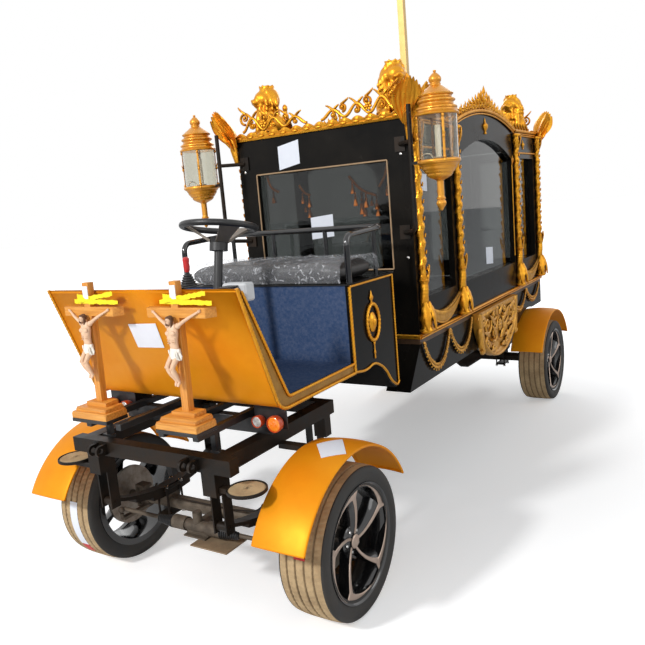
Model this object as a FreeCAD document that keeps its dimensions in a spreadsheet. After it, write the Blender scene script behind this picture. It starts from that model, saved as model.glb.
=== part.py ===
import FreeCAD, Part
import math
import os
import Sketcher
from FreeCAD import Placement, Rotation, Vector
from types import SimpleNamespace

# Motor hearse with an open driver's tub and a glazed hearse body.
# Millimetres; front is -Y, the vehicle's left is +X, Z is up.
# Sizes along Y are measured from the front axle; every node's placement
# then moves it so that the origin lies on the ground below the middle.

# Driving dimensions
SIZES = {
    # wheels and track
    "tyre_radius": 300, "tyre_width": 205, "wheel_x": 615.5, "wheelbase": 3064,
    "flange_radius": 234, "seat_radius": 214, "barrel_wall": 9, "rim_width": 196,
    "spoke_wide": 40, "spoke_thick": 26, "spoke_set": 22, "hub_radius": 52,
    "disc_radius": 140, "disc_thick": 14, "disc_x": 40, "cap_radius": 28,
    "fit_gap": 0.3, "run_gap": 6,
    # steering and front axle
    "kingpin_x": 470, "kingpin_radius": 11, "spindle_radius": 20, "boss_radius": 24,
    "boss_high": 80, "lug_thick": 14, "yoke_wall": 10, "steer_arm": 165,
    "steer_arm_in": 15, "arm_thick": 14, "axle_radius": 32, "axle_rise": 10,
    "rack_forward": 150, "rack_z": 306, "rack_bar_radius": 9, "rack_tube_radius": 24,
    "rack_tube_half": 60, "bellows_radius": 30, "bellows_long": 72, "ball_radius": 15,
    # springs
    "spring_x": 310, "spring_wide": 50, "leaf_thick": 10, "eye_reach": 330,
    "eye_z": 445, "eye_radius": 18, "eye_pin_radius": 8, "hanger_wide": 50,
    "hanger_plate": 6,
    # chassis
    "rail_x": 355, "rail_wide": 60, "rail_high": 60, "rail_top": 737,
    "beam_front": 387, "beam_half": 420, "subframe_rear": 391, "post_long": 90,
    "loft_x": 250, "loft_high": 50, "cross_wide": 50, "rail_short": 40,
    "drawbar_x": 245, "drawbar_gap": 34, "drawbar_plate": 12, "drawbar_reach": 53,
    "drawbar_bore": 11, "drawbar_z": 707, "drawbar_round": 22,
    # foot steps
    "step_x": 462, "step_y": 355, "step_z": 634, "step_half_x": 76,
    "step_half_y": 75, "step_thick": 14,
    # mudguards
    "guard_radius": 452, "guard_wall": 6, "guard_back": 26, "guard_centre_z": 245,
    "guard_end_z": 458, "guard_in": 502, "guard_out": 728, "guard_lip": 12,
    # rear axle, motor and battery
    "diff_radius": 103, "diff_wide": 270, "motor_radius": 84, "motor_long": 240,
    "battery_to_axle": 664, "battery_wide": 480, "battery_high": 120,
    "battery_from": 1450, "tray_wall": 6,
    # tub
    "tub_half": 494, "floor_top": 900, "floor_thick": 34, "floor_front": 98,
    "dash_top_y": 340, "dash_top_z": 1346, "dash_foot_y": 158, "dash_foot_z": 860,
    "dash_wall": 26, "dash_shell": 40, "seat_front": 416, "seat_rear": 845,
    "seat_top": 1254, "seat_wall": 20, "side_wall": 12, "arch_y": 599, "arch_z": 858,
    "tail_y": 819, "tail_z": 691, "apron_drop": 10, "rope_radius": 9,
    "cushion_high": 92, "cushion_deep": 362,
    "rail_tube": 14, "back_rail_y": 804, "back_rail_z": 1478, "arm_bend_z": 1462,
    "arm_foot_y": 462, "rail_in": 20,
    # driver's controls
    "wheel_centre_y": 192, "wheel_centre_z": 1543, "wheel_rim_radius": 172,
    "wheel_tube": 14, "wheel_tilt": 11, "wheel_dish": 96, "column_radius": 19,
    "column_foot_y": 66, "lever_x": 218, "lever_y": 270, "lever_high": 105,
    "pod_side": 46, "pod_y": 250, "pod_wide": 110, "pod_high": 66, "pod_deep": 55,
    # hearse body
    "body_half": 527, "body_front": 1050, "rear_overhang": 356, "body_wall": 34,
    "skirt_nose": 895, "skirt_bottom": 636, "skirt_rear_z": 688, "deck_top": 880, "deck_thick": 30,
    "wall_top": 1985, "sill_z": 1080, "pane_top": 1808, "pane_spring": 1795,
    "pane_rise": 122, "pane_half": 528, "narrow_edge": 63,
    "front_pane_half": 412, "front_pane_top": 1797, "front_pane_sill": 1240,
    "glass_thick": 6, "gable_edge": 38, "gable_rise": 92, "roof_wall": 24,
    "roof_rise": 95, "rail_bead_high": 28, "rail_bead_out": 16, "cornice_high": 34,
    "cornice_out": 22, "column_edge": 54, "corner_in": 53, "column_r": 23,
    "column_x": 541, "door_gap": 5, "door_wall": 34, "hinge_radius": 9,
    # carved work
    "crest_high": 150, "crest_thick": 16, "crest_in": 34, "lion_x": 395, "lion_in": 120,
    "lion_high": 239, "leaf_high": 262, "leaf_root": 60, "leaf_out": 116, "leaf_thick": 16,
    "swag_radius": 15, "relief_thick": 62, "relief_clear": 47, "relief_deep": 338,
    "relief_shift": 35, "relief_gap": 18,
    "oval_y": 612, "oval_z": 1052, "oval_half_y": 90, "oval_half_z": 86,
    # lanterns
    "lantern_x": 729, "lantern_y": 940, "lantern_glass_r": 91,
    "lantern_glass_foot": 1764, "lantern_glass_high": 194, "lantern_eave_r": 104,
    "lantern_top": 2160, "lantern_foot": 1525, "lantern_wall": 4, "candle_r": 13,
    "post_x": 587, "post_radius": 11, "post_foot": 1440, "post_top": 2030,
    "post_arm_z": 1862,
    # crosses at the front and on the roof
    "cross_x": 232, "cross_y": 352, "cross_shelf": 810, "cross_base_high": 90,
    "cross_base_wide": 208, "cross_base_deep": 116, "cross_top": 1380,
    "cross_bar_z": 1266, "cross_bar_half": 162, "cross_wood": 34,
    "cross_wood_thick": 14, "figure_high": 275, "roof_cross_side": 40,
    "roof_cross_top": 3150, "roof_cross_head": 190, "roof_cross_bar_half": 175,
    # lamps under the dash
    "lamp_y": 118, "lamp_z": 800, "lamp_side": 44, "lamp_apart": 84,
    "lamp_radius": 33, "lamp_deep": 46,
}

doc = FreeCAD.newDocument("hearse")
sheet = doc.addObject("Spreadsheet::Sheet", "Dims")


class Size:
    """A length that carries its value and the sheet formula that gives it."""

    def __init__(self, number, text):
        self.number = float(number)
        self.text = text

    def __float__(self):
        return self.number

    def __add__(self, other):
        return joined(self, "+", other, self.number + float(other))

    def __radd__(self, other):
        return joined(other, "+", self, float(other) + self.number)

    def __sub__(self, other):
        return joined(self, "-", other, self.number - float(other))

    def __rsub__(self, other):
        return joined(other, "-", self, float(other) - self.number)

    def __mul__(self, other):
        return joined(self, "*", other, self.number * float(other))

    def __rmul__(self, other):
        return joined(other, "*", self, float(other) * self.number)

    def __truediv__(self, other):
        return joined(self, "/", other, self.number / float(other))

    def __neg__(self):
        return joined(0, "-", self, -self.number)


def words(size):
    return size.text if isinstance(size, Size) else f"{float(size):g}"


def joined(left, sign, right, number):
    return Size(number, f"({words(left)} {sign} {words(right)})")


def root(size):
    return Size(math.sqrt(float(size)), f"sqrt({words(size)})")


for row, (alias, number) in enumerate(SIZES.items(), start=1):
    sheet.set(f"A{row}", alias)
    sheet.set(f"B{row}", str(number))
    sheet.setAlias(f"B{row}", alias)
doc.recompute()
d = SimpleNamespace(**{alias: Size(number, f"Dims.{alias}") for alias, number in SIZES.items()})

# Places that follow from the driving dimensions
d.body_rear = d.wheelbase + d.rear_overhang
d.rail_rear = d.body_rear - d.rail_short
d.battery_long = d.wheelbase - d.battery_to_axle - d.battery_from
d.corner_off = (d.body_rear - d.body_front) / 2 - d.corner_in
d.column_off = d.pane_half + d.column_edge
d.narrow_off = (d.column_off + d.corner_off) / 2
d.narrow_half = (d.corner_off - d.column_off) / 2 - d.narrow_edge
d.gable_half = d.pane_half + d.gable_edge
d.lion_off = d.corner_off - d.lion_in
d.pod_x = d.tub_half - d.pod_side
d.lamp_out_x = d.tub_half - d.lamp_side
d.lamp_in_x = d.lamp_out_x - d.lamp_apart
d.roof_cross_bar_z = d.roof_cross_top - d.roof_cross_head
d.guard_end_up = d.guard_end_z - d.guard_centre_z
d.guard_reach = root(d.guard_radius * d.guard_radius - d.guard_end_up * d.guard_end_up)

nodes = []


def tie(obj, path, size):
    """Set one property, bound to its sheet formula where it has one."""
    if isinstance(size, Size):
        obj.setExpression(path, size.text)
    else:
        obj.setExpression(path, f"{float(size):g}")


def place(obj, x, y, z, rotation=None):
    obj.Placement = Placement(Vector(float(x), float(y), float(z)), rotation or Rotation())
    for axis, size in (("x", x), ("y", y), ("z", z)):
        if isinstance(size, Size):
            tie(obj, f"Placement.Base.{axis}", size)
    return obj


def block(x0, x1, y0, y1, z0, z1):
    """A box between two corners."""
    obj = doc.addObject("Part::Box", "Block")
    tie(obj, "Length", x1 - x0)
    tie(obj, "Width", y1 - y0)
    tie(obj, "Height", z1 - z0)
    return place(obj, x0, y0, z0)


TURNS = {
    "x": Rotation(Vector(0, 1, 0), 90),
    "y": Rotation(Vector(1, 0, 0), -90),
    "z": Rotation(),
}


def rod(axis, radius, length, x, y, z):
    """A round bar from a start point along one axis."""
    obj = doc.addObject("Part::Cylinder", "Rod")
    tie(obj, "Radius", radius)
    tie(obj, "Height", length)
    return place(obj, x, y, z, TURNS[axis])


def cone(axis, radius1, radius2, length, x, y, z):
    obj = doc.addObject("Part::Cone", "Cone")
    tie(obj, "Radius1", radius1)
    tie(obj, "Radius2", radius2)
    tie(obj, "Height", length)
    return place(obj, x, y, z, TURNS[axis])


def ball(radius, x, y, z):
    obj = doc.addObject("Part::Sphere", "Ball")
    tie(obj, "Radius", radius)
    return place(obj, x, y, z)


def ring(axis, radius1, radius2, x, y, z):
    obj = doc.addObject("Part::Torus", "Ring")
    tie(obj, "Radius1", radius1)
    tie(obj, "Radius2", radius2)
    return place(obj, x, y, z, TURNS[axis])


def fuse(*parts):
    if len(parts) == 1:
        return parts[0]
    obj = doc.addObject("Part::MultiFuse", "Fused")
    obj.Shapes = list(parts)
    return obj


def cut(base, *tools):
    obj = doc.addObject("Part::Cut", "Cut")
    obj.Base = base
    obj.Tool = tools[0] if len(tools) == 1 else fuse(*tools)
    return obj


def group(*parts):
    obj = doc.addObject("Part::Compound", "Group")
    obj.Links = list(parts)
    return obj


def mirrored(part, normal="x"):
    """The same piece on the vehicle's other side."""
    obj = doc.addObject("Part::Mirroring", "Mirrored")
    obj.Source = part
    obj.Normal = Vector(*[1 if axis == normal else 0 for axis in "xyz"])
    return obj


def both(part):
    return group(part, mirrored(part))


def outline(body, role, points, name="Outline", offset=0):
    """Closed sketch on an origin plane; each corner is tied in both directions.

    A point is (across, up) or (across, up, radius): with a radius, the edge
    that ends there is an arc, bulging to the left of its travel if positive.
    """
    sketch = body.newObject("Sketcher::SketchObject", name)
    plane = [f for f in body.Origin.OriginFeatures if f.Role == role][0]
    sketch.AttachmentSupport = (plane, "")
    sketch.MapMode = "FlatFace"
    if isinstance(offset, Size) or offset:
        tie(sketch, "AttachmentOffset.Base.z", offset)
    count = len(points)
    for i in range(count):
        here, there = points[i - 1], points[i]
        a = Vector(float(here[0]), float(here[1]), 0)
        b = Vector(float(there[0]), float(there[1]), 0)
        if len(there) == 3:
            radius = abs(float(there[2]))
            side = 1 if float(there[2]) > 0 else -1
            half = (b - a).Length / 2
            rise = radius - math.sqrt(max(radius * radius - half * half, 0))
            along = (b - a).normalize()
            top = (a + b) * 0.5 + Vector(-along.y, along.x, 0) * rise * side
            sketch.addGeometry(Part.Arc(a, top, b))
        else:
            sketch.addGeometry(Part.LineSegment(a, b))
    for i in range(count):
        tail, head = 2, 1
        here, there = points[i - 1], points[i]
        if len(there) == 3 and float(there[2]) > 0:
            tail = 1
        after = points[(i + 1) % count]
        if len(after) == 3 and float(after[2]) > 0:
            head = 2
        following = (i + 1) % count
        sketch.addConstraint(Sketcher.Constraint("Coincident", i, tail, following, head))
        for kind, size, label in (("DistanceX", there[0], "across"), ("DistanceY", there[1], "up")):
            sketch.addConstraint(Sketcher.Constraint(kind, -1, 1, i, tail, float(size)))
            if isinstance(size, Size):
                key = f"{label}{i}"
                sketch.renameConstraint(sketch.ConstraintCount - 1, key)
                sketch.setExpression(f"Constraints.{key}", size.text)
        if len(there) == 3:
            size = there[2] if float(there[2]) > 0 else -there[2]
            sketch.addConstraint(Sketcher.Constraint("Radius", i, float(size)))
            if isinstance(size, Size):
                key = f"bend{i}"
                sketch.renameConstraint(sketch.ConstraintCount - 1, key)
                sketch.setExpression(f"Constraints.{key}", size.text)
    return sketch


def new_body(name="Body"):
    return doc.addObject("PartDesign::Body", name)


def pad(body, sketch, length, both_ways=False, back=False):
    feature = body.newObject("PartDesign::Pad", "Pad")
    feature.Profile = sketch
    tie(feature, "Length", length)
    feature.Midplane = both_ways
    feature.Reversed = back
    return feature


def pocket(body, sketch, length, back=False):
    feature = body.newObject("PartDesign::Pocket", "Pocket")
    feature.Profile = sketch
    tie(feature, "Length", length)
    feature.Midplane = True
    feature.Reversed = back
    return feature


def plate(role, points, thick, offset=0, holes=()):
    """A plate padded from an outline on an origin plane, with cut-outs."""
    body = new_body()
    pad(body, outline(body, role, points, offset=offset), thick)
    for hole in holes:
        pocket(body, outline(body, role, hole, name="Hole", offset=offset), thick * 4)
    return body


def turned(points, axis="V_Axis", role="XZ_Plane"):
    """A solid of revolution from an outline of (radius, height) points."""
    body = new_body()
    sketch = outline(body, role, points)
    feature = body.newObject("PartDesign::Revolution", "Turned")
    feature.Profile = sketch
    feature.ReferenceAxis = (sketch, [axis])
    feature.Angle = 360
    return body


def solid(shape, name="Form"):
    obj = doc.addObject("Part::Feature", name)
    obj.Shape = shape
    return obj


def tube(points, radius, bend):
    """A round bar through points with rounded corners, as one solid."""
    spots = [Vector(*[float(c) for c in p]) for p in points]
    edges = []
    start = spots[0]
    for before, corner, after in zip(spots, spots[1:], spots[2:]):
        to_corner = (corner - before).normalize()
        from_corner = (after - corner).normalize()
        turn = to_corner.getAngle(from_corner)
        cut_back = float(bend) * math.tan(turn / 2)
        a = corner - to_corner * cut_back
        b = corner + from_corner * cut_back
        inward = (from_corner - to_corner).normalize()
        centre = corner + inward * (float(bend) / math.cos(turn / 2))
        middle = centre - inward * float(bend)
        edges.append(Part.LineSegment(start, a).toShape())
        edges.append(Part.Arc(a, middle, b).toShape())
        start = b
    edges.append(Part.LineSegment(start, spots[-1]).toShape())
    path = Part.Wire(edges)
    ringed = Part.Circle(spots[0], (spots[1] - spots[0]).normalize(), float(radius)).toShape()
    return path.makePipeShell([Part.Wire([ringed])], True, True)


reach_front = d.beam_front + d.drawbar_reach
reach_rear = d.body_rear + d.leaf_out
middle_y = (reach_rear - reach_front) / 2


def keep(name, obj, y=0, x=0, z=0, rotation=None):
    """Name a finished piece and place it in the vehicle's own frame."""
    if obj.TypeId in ("Part::Box", "Part::Cylinder", "Part::Fillet", "Part::Feature"):
        obj = group(obj)
    obj.Label = name
    place(obj, x, y - middle_y, z, rotation)
    nodes.append(obj)
    return obj


def keep_pair(name, piece):
    """One piece for the left side and its mirror image for the right."""
    keep(f"{name}_left", group(piece))
    keep(f"{name}_right", mirrored(piece))


# Wheels

def tyre(name, side, y):
    """Low, wide road tyre seated between the rim's flanges."""
    half = d.tyre_width / 2
    bead = d.rim_width / 2 - d.barrel_wall
    low = d.seat_radius + d.fit_gap
    flank = [
        (bead, low), (bead, d.flange_radius + 2), (half, d.flange_radius + 26),
        (half - 6, d.tyre_radius - 16), (half - 30, d.tyre_radius),
    ]
    section = flank + [(-across, high) for across, high in reversed(flank)]
    return keep(name, turned(section, "H_Axis"), y, d.wheel_x * side, d.tyre_radius)


def rim(name, side, y):
    """Alloy wheel: barrel, dished face with cut windows, hub and brake disc."""
    half = d.rim_width / 2
    seat = half - d.barrel_wall
    bore = d.seat_radius - d.barrel_wall
    face = half - d.spoke_set
    back = face - d.spoke_thick
    drum = -d.disc_x
    spindle = d.spindle_radius + d.fit_gap
    section = [
        (-half, bore), (-half, d.flange_radius), (-seat, d.flange_radius),
        (-seat, d.seat_radius), (seat, d.seat_radius), (seat, d.flange_radius),
        (half, d.flange_radius), (half, bore + 4), (face + 6, bore - 8),
        (face - 6, d.hub_radius), (face - 4, d.cap_radius), (face + 2, d.cap_radius),
        (face + 2, 0), (back, 0), (back, spindle), (drum - d.disc_thick, spindle),
        (drum - d.disc_thick, d.disc_radius), (drum, d.disc_radius), (drum, d.hub_radius),
        (back - 8, d.hub_radius), (back, bore - 14), (back - 12, bore),
    ]
    body = turned(section, "H_Axis")
    count = 5
    turn = math.pi / count
    sine, cosine = math.sin(turn), math.cos(turn)
    w = d.spoke_wide / 2
    near = d.hub_radius + 26
    far = bore - 24
    low = (near * sine - w * cosine, near * cosine + w * sine)
    high = (far * sine - w * cosine, far * cosine + w * sine)
    window = [(-low[0], low[1]), (low[0], low[1]), high, (-high[0], high[1], -far)]
    sketch = outline(body, "YZ_Plane", window, "Window", offset=0)
    feature = body.newObject("PartDesign::Pocket", "Windows")
    feature.Profile = sketch
    feature.Reversed = True
    tie(feature, "Length", d.rim_width)
    pattern = body.newObject("PartDesign::PolarPattern", "Spokes")
    pattern.Originals = [feature]
    pattern.Axis = ([f for f in body.Origin.OriginFeatures if f.Role == "X_Axis"][0], [""])
    pattern.Angle = 360
    pattern.Occurrences = count
    body.Tip = pattern
    spin = Rotation() if side > 0 else Rotation(Vector(0, 0, 1), 180)
    return keep(name, body, y, d.wheel_x * side, d.tyre_radius, spin)


def knuckle(name, side):
    """Steering knuckle: forked lugs on the kingpin, spindle and steering arm."""
    pin = d.kingpin_x
    out = d.wheel_x - d.rim_width / 2 - d.run_gap
    low = d.tyre_radius + d.axle_rise - d.boss_high / 2
    high = low + d.boss_high
    gap = d.fit_gap
    web_in = pin + d.boss_radius + 3
    lug = d.lug_thick
    wide = d.boss_radius
    end = d.wheel_x + d.rim_width / 2 - d.spoke_set - d.spoke_thick - 3
    arm_x = pin - d.steer_arm_in
    parts = fuse(
        block(pin - wide, web_in + d.yoke_wall, -wide, wide, high + gap, high + gap + lug),
        block(pin - wide, web_in + d.yoke_wall, -wide, wide, low - gap - lug, low - gap),
        block(web_in, web_in + d.yoke_wall, -wide, wide, low - gap - lug, high + gap + lug),
        rod("z", d.kingpin_radius, d.boss_high + 2 * gap + lug, pin, 0, low - gap - lug / 2),
        rod("x", d.spindle_radius + 8, out - web_in + 2, web_in, 0, d.tyre_radius),
        rod("x", d.spindle_radius, end - web_in - 2, web_in + 2, 0, d.tyre_radius),
        block(arm_x - 12, arm_x + 12, -d.steer_arm, wide / 2, low - gap - lug, low - gap),
        rod("z", 9, d.rack_z - low + gap - d.ball_radius - 1, arm_x, -d.steer_arm, low - gap - 2),
    )
    return keep(name, parts if side > 0 else mirrored(parts))


for axle, y in (("front", 0), ("rear", d.wheelbase)):
    for side_name, side in (("left", 1), ("right", -1)):
        tyre(f"tyre_{axle}_{side_name}", side, y)
        rim(f"rim_{axle}_{side_name}", side, y)
knuckle("knuckle_left", 1)
knuckle("knuckle_right", -1)


# Axles, springs and steering gear

def front_axle():
    """Tube axle with an upright kingpin boss and two spring pads."""
    z = d.tyre_radius + d.axle_rise
    inner = d.kingpin_x - 2 * d.boss_radius
    boss = cut(
        rod("z", d.boss_radius, d.boss_high, d.kingpin_x, 0, z - d.boss_high / 2),
        rod("z", d.kingpin_radius + d.fit_gap, d.boss_high * 2, d.kingpin_x, 0, z - d.boss_high),
    )
    tube_bar = rod("x", d.axle_radius, inner * 2, -inner, 0, z)
    neck = rod("x", d.boss_radius - 4, 2 * d.boss_radius - d.kingpin_radius - 4, inner - 1, 0, z)
    wide = d.spring_wide / 2
    pad_block = block(d.spring_x - wide, d.spring_x + wide, -40, 40, z, z + d.axle_radius + 6)
    side = fuse(boss, neck, pad_block)
    return keep("front_axle", fuse(tube_bar, side, mirrored(side)))


def leaf_arc(half, z_mid, z_end, thick):
    """Section of one leaf: a band between two arcs, high at both ends."""
    low = Part.Arc(Vector(0, -half, z_end), Vector(0, 0, z_mid), Vector(0, half, z_end))
    high = Part.Arc(
        Vector(0, -half, z_end + thick), Vector(0, 0, z_mid + thick), Vector(0, half, z_end + thick)
    )
    ends = [
        Part.LineSegment(high.StartPoint, low.StartPoint),
        Part.LineSegment(low.EndPoint, high.EndPoint),
    ]
    edges = [low.toShape(), ends[1].toShape(), high.toShape(), ends[0].toShape()]
    return Part.Face(Part.Wire(Part.__sortEdges__(edges)))


def spring(y):
    """Leaf pack on the axle's pad: three leaves, rolled eyes at both ends."""
    thick = float(d.leaf_thick)
    wide = float(d.spring_wide)
    base = float(d.tyre_radius + d.axle_rise + d.axle_radius + 6 + d.fit_gap)
    reach = float(d.eye_reach)
    eye_z = float(d.eye_z)
    top = base + 2 * thick
    rise = eye_z - top
    shapes = []
    for number, share in enumerate((1.0, 0.66, 0.36)):
        half = reach * share
        z_mid = top - number * thick
        z_end = z_mid + rise * share * share
        shapes.append(leaf_arc(half, z_mid, z_end, thick).extrude(Vector(wide, 0, 0)))
    for end in (-1, 1):
        eye = Part.makeCylinder(float(d.eye_radius), wide, Vector(0, end * reach, eye_z), Vector(1, 0, 0))
        shapes.append(eye)
    pack = shapes[0].multiFuse(shapes[1:])
    for end in (-1, 1):
        bore = float(d.eye_pin_radius + d.fit_gap)
        pack = pack.cut(Part.makeCylinder(bore, wide, Vector(0, end * reach, eye_z), Vector(1, 0, 0)))
    pack.translate(Vector(float(d.spring_x) - wide / 2, float(y), 0))
    return solid(pack.removeSplitter())


def rear_axle():
    """Driven axle: tube, differential, motor block and spring pads."""
    z = d.tyre_radius + d.axle_rise
    y = d.wheelbase
    reach = d.wheel_x - d.rim_width / 2 - d.run_gap
    wide = d.spring_wide / 2
    end = d.wheel_x + d.rim_width / 2 - d.spoke_set - d.spoke_thick - 3
    side = fuse(
        rod("x", d.spindle_radius, end - reach + 8, reach - 8, y, d.tyre_radius),
        block(d.spring_x - wide, d.spring_x + wide, y - 40, y + 40, z, z + d.axle_radius + 6),
    )
    flank = cone("x", d.diff_radius, d.axle_radius, d.diff_wide * 0.4, d.diff_wide * 0.1, y, z)
    centre = fuse(
        rod("x", d.axle_radius, 2 * reach, -reach, y, z),
        rod("x", d.diff_radius, d.diff_wide * 0.2, -d.diff_wide * 0.1, y, z),
        flank,
        mirrored(flank),
        rod("y", d.motor_radius, d.motor_long, 0, y + d.diff_radius * 0.8, z),
    )
    return keep("rear_axle", fuse(side, mirrored(side), centre))


front_axle()
rear_axle()
keep("leaf_springs", group(both(spring(0)), both(spring(d.wheelbase))))


def rack_housing():
    """Steering gear: tube, two bellows and the sloping guard plate."""
    y = -d.rack_forward
    half = d.rack_tube_half
    bore = d.rack_bar_radius + d.fit_gap
    body = fuse(
        rod("x", d.rack_tube_radius, half * 2, -half, y, d.rack_z),
        rod("x", d.bellows_radius, d.bellows_long, half, y, d.rack_z),
        rod("x", d.bellows_radius, d.bellows_long, -half - d.bellows_long, y, d.rack_z),
        rod("z", d.rack_tube_radius - 4, 66, 0, y, d.rack_z),
        block(-half, half, y - 34, 8 - d.axle_radius, d.rack_z - 40, d.rack_z - 34),
        block(-half, half, y - 12, y + 12, d.rack_z - 36, d.rack_z - 10),
        block(-30, 30, y, -d.axle_radius, d.rack_z - 8, d.rack_z + 12),
    )
    return keep("rack_housing", cut(body, rod("x", bore, 600, -300, y, d.rack_z)))


def tie_rods():
    """Rack bar with both tie rods and their ball ends."""
    end = d.kingpin_x - d.steer_arm_in
    y = -d.rack_forward
    ball_y = -d.steer_arm
    bar = rod("x", d.rack_bar_radius, end * 2, -end, y, d.rack_z)
    side = ball(d.ball_radius, end, ball_y, d.rack_z)
    return keep("tie_rods", fuse(bar, side, mirrored(side)))


rack_housing()
tie_rods()


# Chassis

def chassis_frame():
    """Front subframe and rear ladder frame, joined by raised rails under the tub."""
    low = d.rail_top - d.rail_high
    half = d.rail_wide / 2
    front = -d.beam_front
    subframe_end = d.subframe_rear - d.cross_wide
    ladder_front = d.seat_rear + 45
    inner, outer = d.rail_x - half, d.rail_x + half
    loft = d.loft_x - half
    loft_top = d.floor_top - d.floor_thick - d.fit_gap
    side = [
        block(inner, outer, front, d.subframe_rear, low, d.rail_top),
        block(inner, outer, ladder_front, d.rail_rear, low, d.rail_top),
        block(loft, loft + d.rail_wide, subframe_end, ladder_front + d.cross_wide, loft_top - d.loft_high, loft_top),
        block(loft, loft + d.rail_wide, subframe_end, d.subframe_rear, d.rail_top - 1, loft_top),
        block(loft, loft + d.rail_wide, ladder_front, ladder_front + d.cross_wide, d.rail_top - 1, loft_top),
    ]
    parts = [block(-d.beam_half, d.beam_half, front, front + d.cross_wide, low, d.rail_top)]
    for beam in side:
        parts += [beam, mirrored(beam)]
    crossings = [subframe_end, ladder_front]
    crossings += [d.battery_from + d.battery_long * share for share in (0.08, 0.88)]
    crossings += [d.wheelbase - d.eye_reach - d.cross_wide, d.wheelbase + d.eye_reach - d.cross_wide / 2]
    for y in crossings:
        parts.append(block(-outer, outer, y, y + d.cross_wide, low, d.rail_top))
    pin = d.eye_pin_radius
    plates = d.spring_wide / 2 + 1
    wall = d.hanger_plate
    for axle in (0, d.wheelbase):
        for end in (-1, 1):
            y = axle + end * d.eye_reach
            for x in (d.spring_x - plates - wall, d.spring_x + plates):
                cheek = block(x, x + wall, y - 24, y + 24, d.eye_z - 24, low + 2)
                parts += [cheek, mirrored(cheek)]
            bar = rod("x", pin, d.spring_wide + 2 * wall + 10, d.spring_x - plates - wall - 3, y, d.eye_z)
            parts += [bar, mirrored(bar)]
            if end < 0 and axle == 0:
                post = block(d.spring_x - plates - wall, d.spring_x + plates + wall, front, y + 24,
                             low - d.post_long, low + 1)
                parts += [post, mirrored(post)]
            else:
                post = block(inner, outer, y - 24, y + 24, low - d.post_long, low + 1)
                parts += [post, mirrored(post)]
                bridge = block(d.spring_x - plates - wall, d.rail_x, y - 24, y + 24, low, low + 12)
                parts += [bridge, mirrored(bridge)]
    thick = d.drawbar_plate
    for x in (d.drawbar_x - d.drawbar_gap / 2 - thick, d.drawbar_x + d.drawbar_gap / 2):
        reach = d.drawbar_reach - d.drawbar_round
        lug = cut(
            fuse(
                block(x, x + thick, front - reach, front + 4, d.drawbar_z - d.drawbar_round,
                      d.drawbar_z + d.drawbar_round),
                rod("x", d.drawbar_round, thick, x, front - reach, d.drawbar_z),
            ),
            rod("x", d.drawbar_bore, thick * 3, x - thick, front - reach, d.drawbar_z),
        )
        parts += [lug, mirrored(lug)]
    return keep("chassis_frame", fuse(*parts))


chassis_frame()


def foot_steps():
    """Oval tread plates on arms from the front beam's corners."""
    oval = Part.Ellipse(Vector(), float(d.step_half_x), float(d.step_half_y)).toShape()
    disc = Part.Face(Part.Wire([oval])).extrude(Vector(0, 0, float(d.step_thick)))
    disc.translate(Vector(float(d.step_x), -float(d.step_y), float(d.step_z - d.step_thick)))
    cheek = d.spring_x + d.spring_wide / 2 + d.hanger_plate + 1 + d.fit_gap
    low = d.step_z - d.step_thick
    arm = block(cheek, d.step_x, -d.step_y - 16, -d.step_y + 16, low - 20, low + 2)
    return keep("foot_steps", both(fuse(solid(disc), arm)))


foot_steps()


def battery_box():
    """Battery pack between the rails, under the hearse deck."""
    half = d.battery_wide / 2
    top = d.rail_top - d.rail_high - d.fit_gap
    y = d.battery_from
    tray = block(-half, half, y, y + d.battery_long, top - d.battery_high, top)
    return keep("battery_box", tray)


battery_box()


def mudguard(axle):
    """Arched guard over one wheel, hung from the chassis by a bracket."""
    end_up = d.guard_end_up
    r_out = d.guard_radius
    r_in = d.guard_radius - d.guard_wall
    reach_out = d.guard_reach
    reach_in = root(r_in * r_in - end_up * end_up)
    body = new_body()
    points = [
        (-reach_out, end_up), (reach_out, end_up, r_out), (reach_in, end_up),
        (-reach_in, end_up, -r_in),
    ]
    pad(body, outline(body, "YZ_Plane", points), d.guard_out - d.guard_in)
    place(body, d.guard_in, axle - d.guard_back, d.guard_centre_z)
    rail = d.rail_x + d.rail_wide / 2 + d.fit_gap
    middle = axle - d.guard_back
    bar = block(rail, d.guard_in + 40, middle - 20, middle + 20, d.rail_top - d.rail_high + 5,
                d.guard_centre_z + d.guard_radius - 2)
    return both(fuse(body, bar))


keep("mudguards", group(mudguard(0), mudguard(d.wheelbase)))


# Driver's tub

def dash_panel():
    """Leaning front shell of the tub, gold-orange, with a return at each edge."""
    top_y, top_z = -d.dash_top_y, d.dash_top_z
    foot_y, foot_z = -d.dash_foot_y, d.dash_foot_z
    shell = d.dash_shell
    back_y, back_z = foot_y + shell + 20, d.floor_top - 6
    profile = [
        (foot_y, foot_z), (back_y, foot_z), (back_y, back_z),
        (top_y + d.dash_wall, top_z - 4), (top_y + d.dash_wall, top_z), (top_y, top_z),
    ]
    body = new_body()
    pad(body, outline(body, "YZ_Plane", profile), d.tub_half * 2, both_ways=True)
    return keep("dash_panel", body)


def cab_floor():
    """Floor of the tub, laid on the raised rails."""
    half = d.tub_half - d.side_wall - d.fit_gap
    front = -d.floor_front + d.fit_gap
    low = d.floor_top - d.floor_thick
    plank = block(-half, half, front, d.seat_front, low, d.floor_top)
    post = block(d.rail_x - 25, d.rail_x + 25, front + 30, front + 90, d.rail_top + d.fit_gap, low + 2)
    return keep("cab_floor", fuse(plank, post, mirrored(post)))


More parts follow.
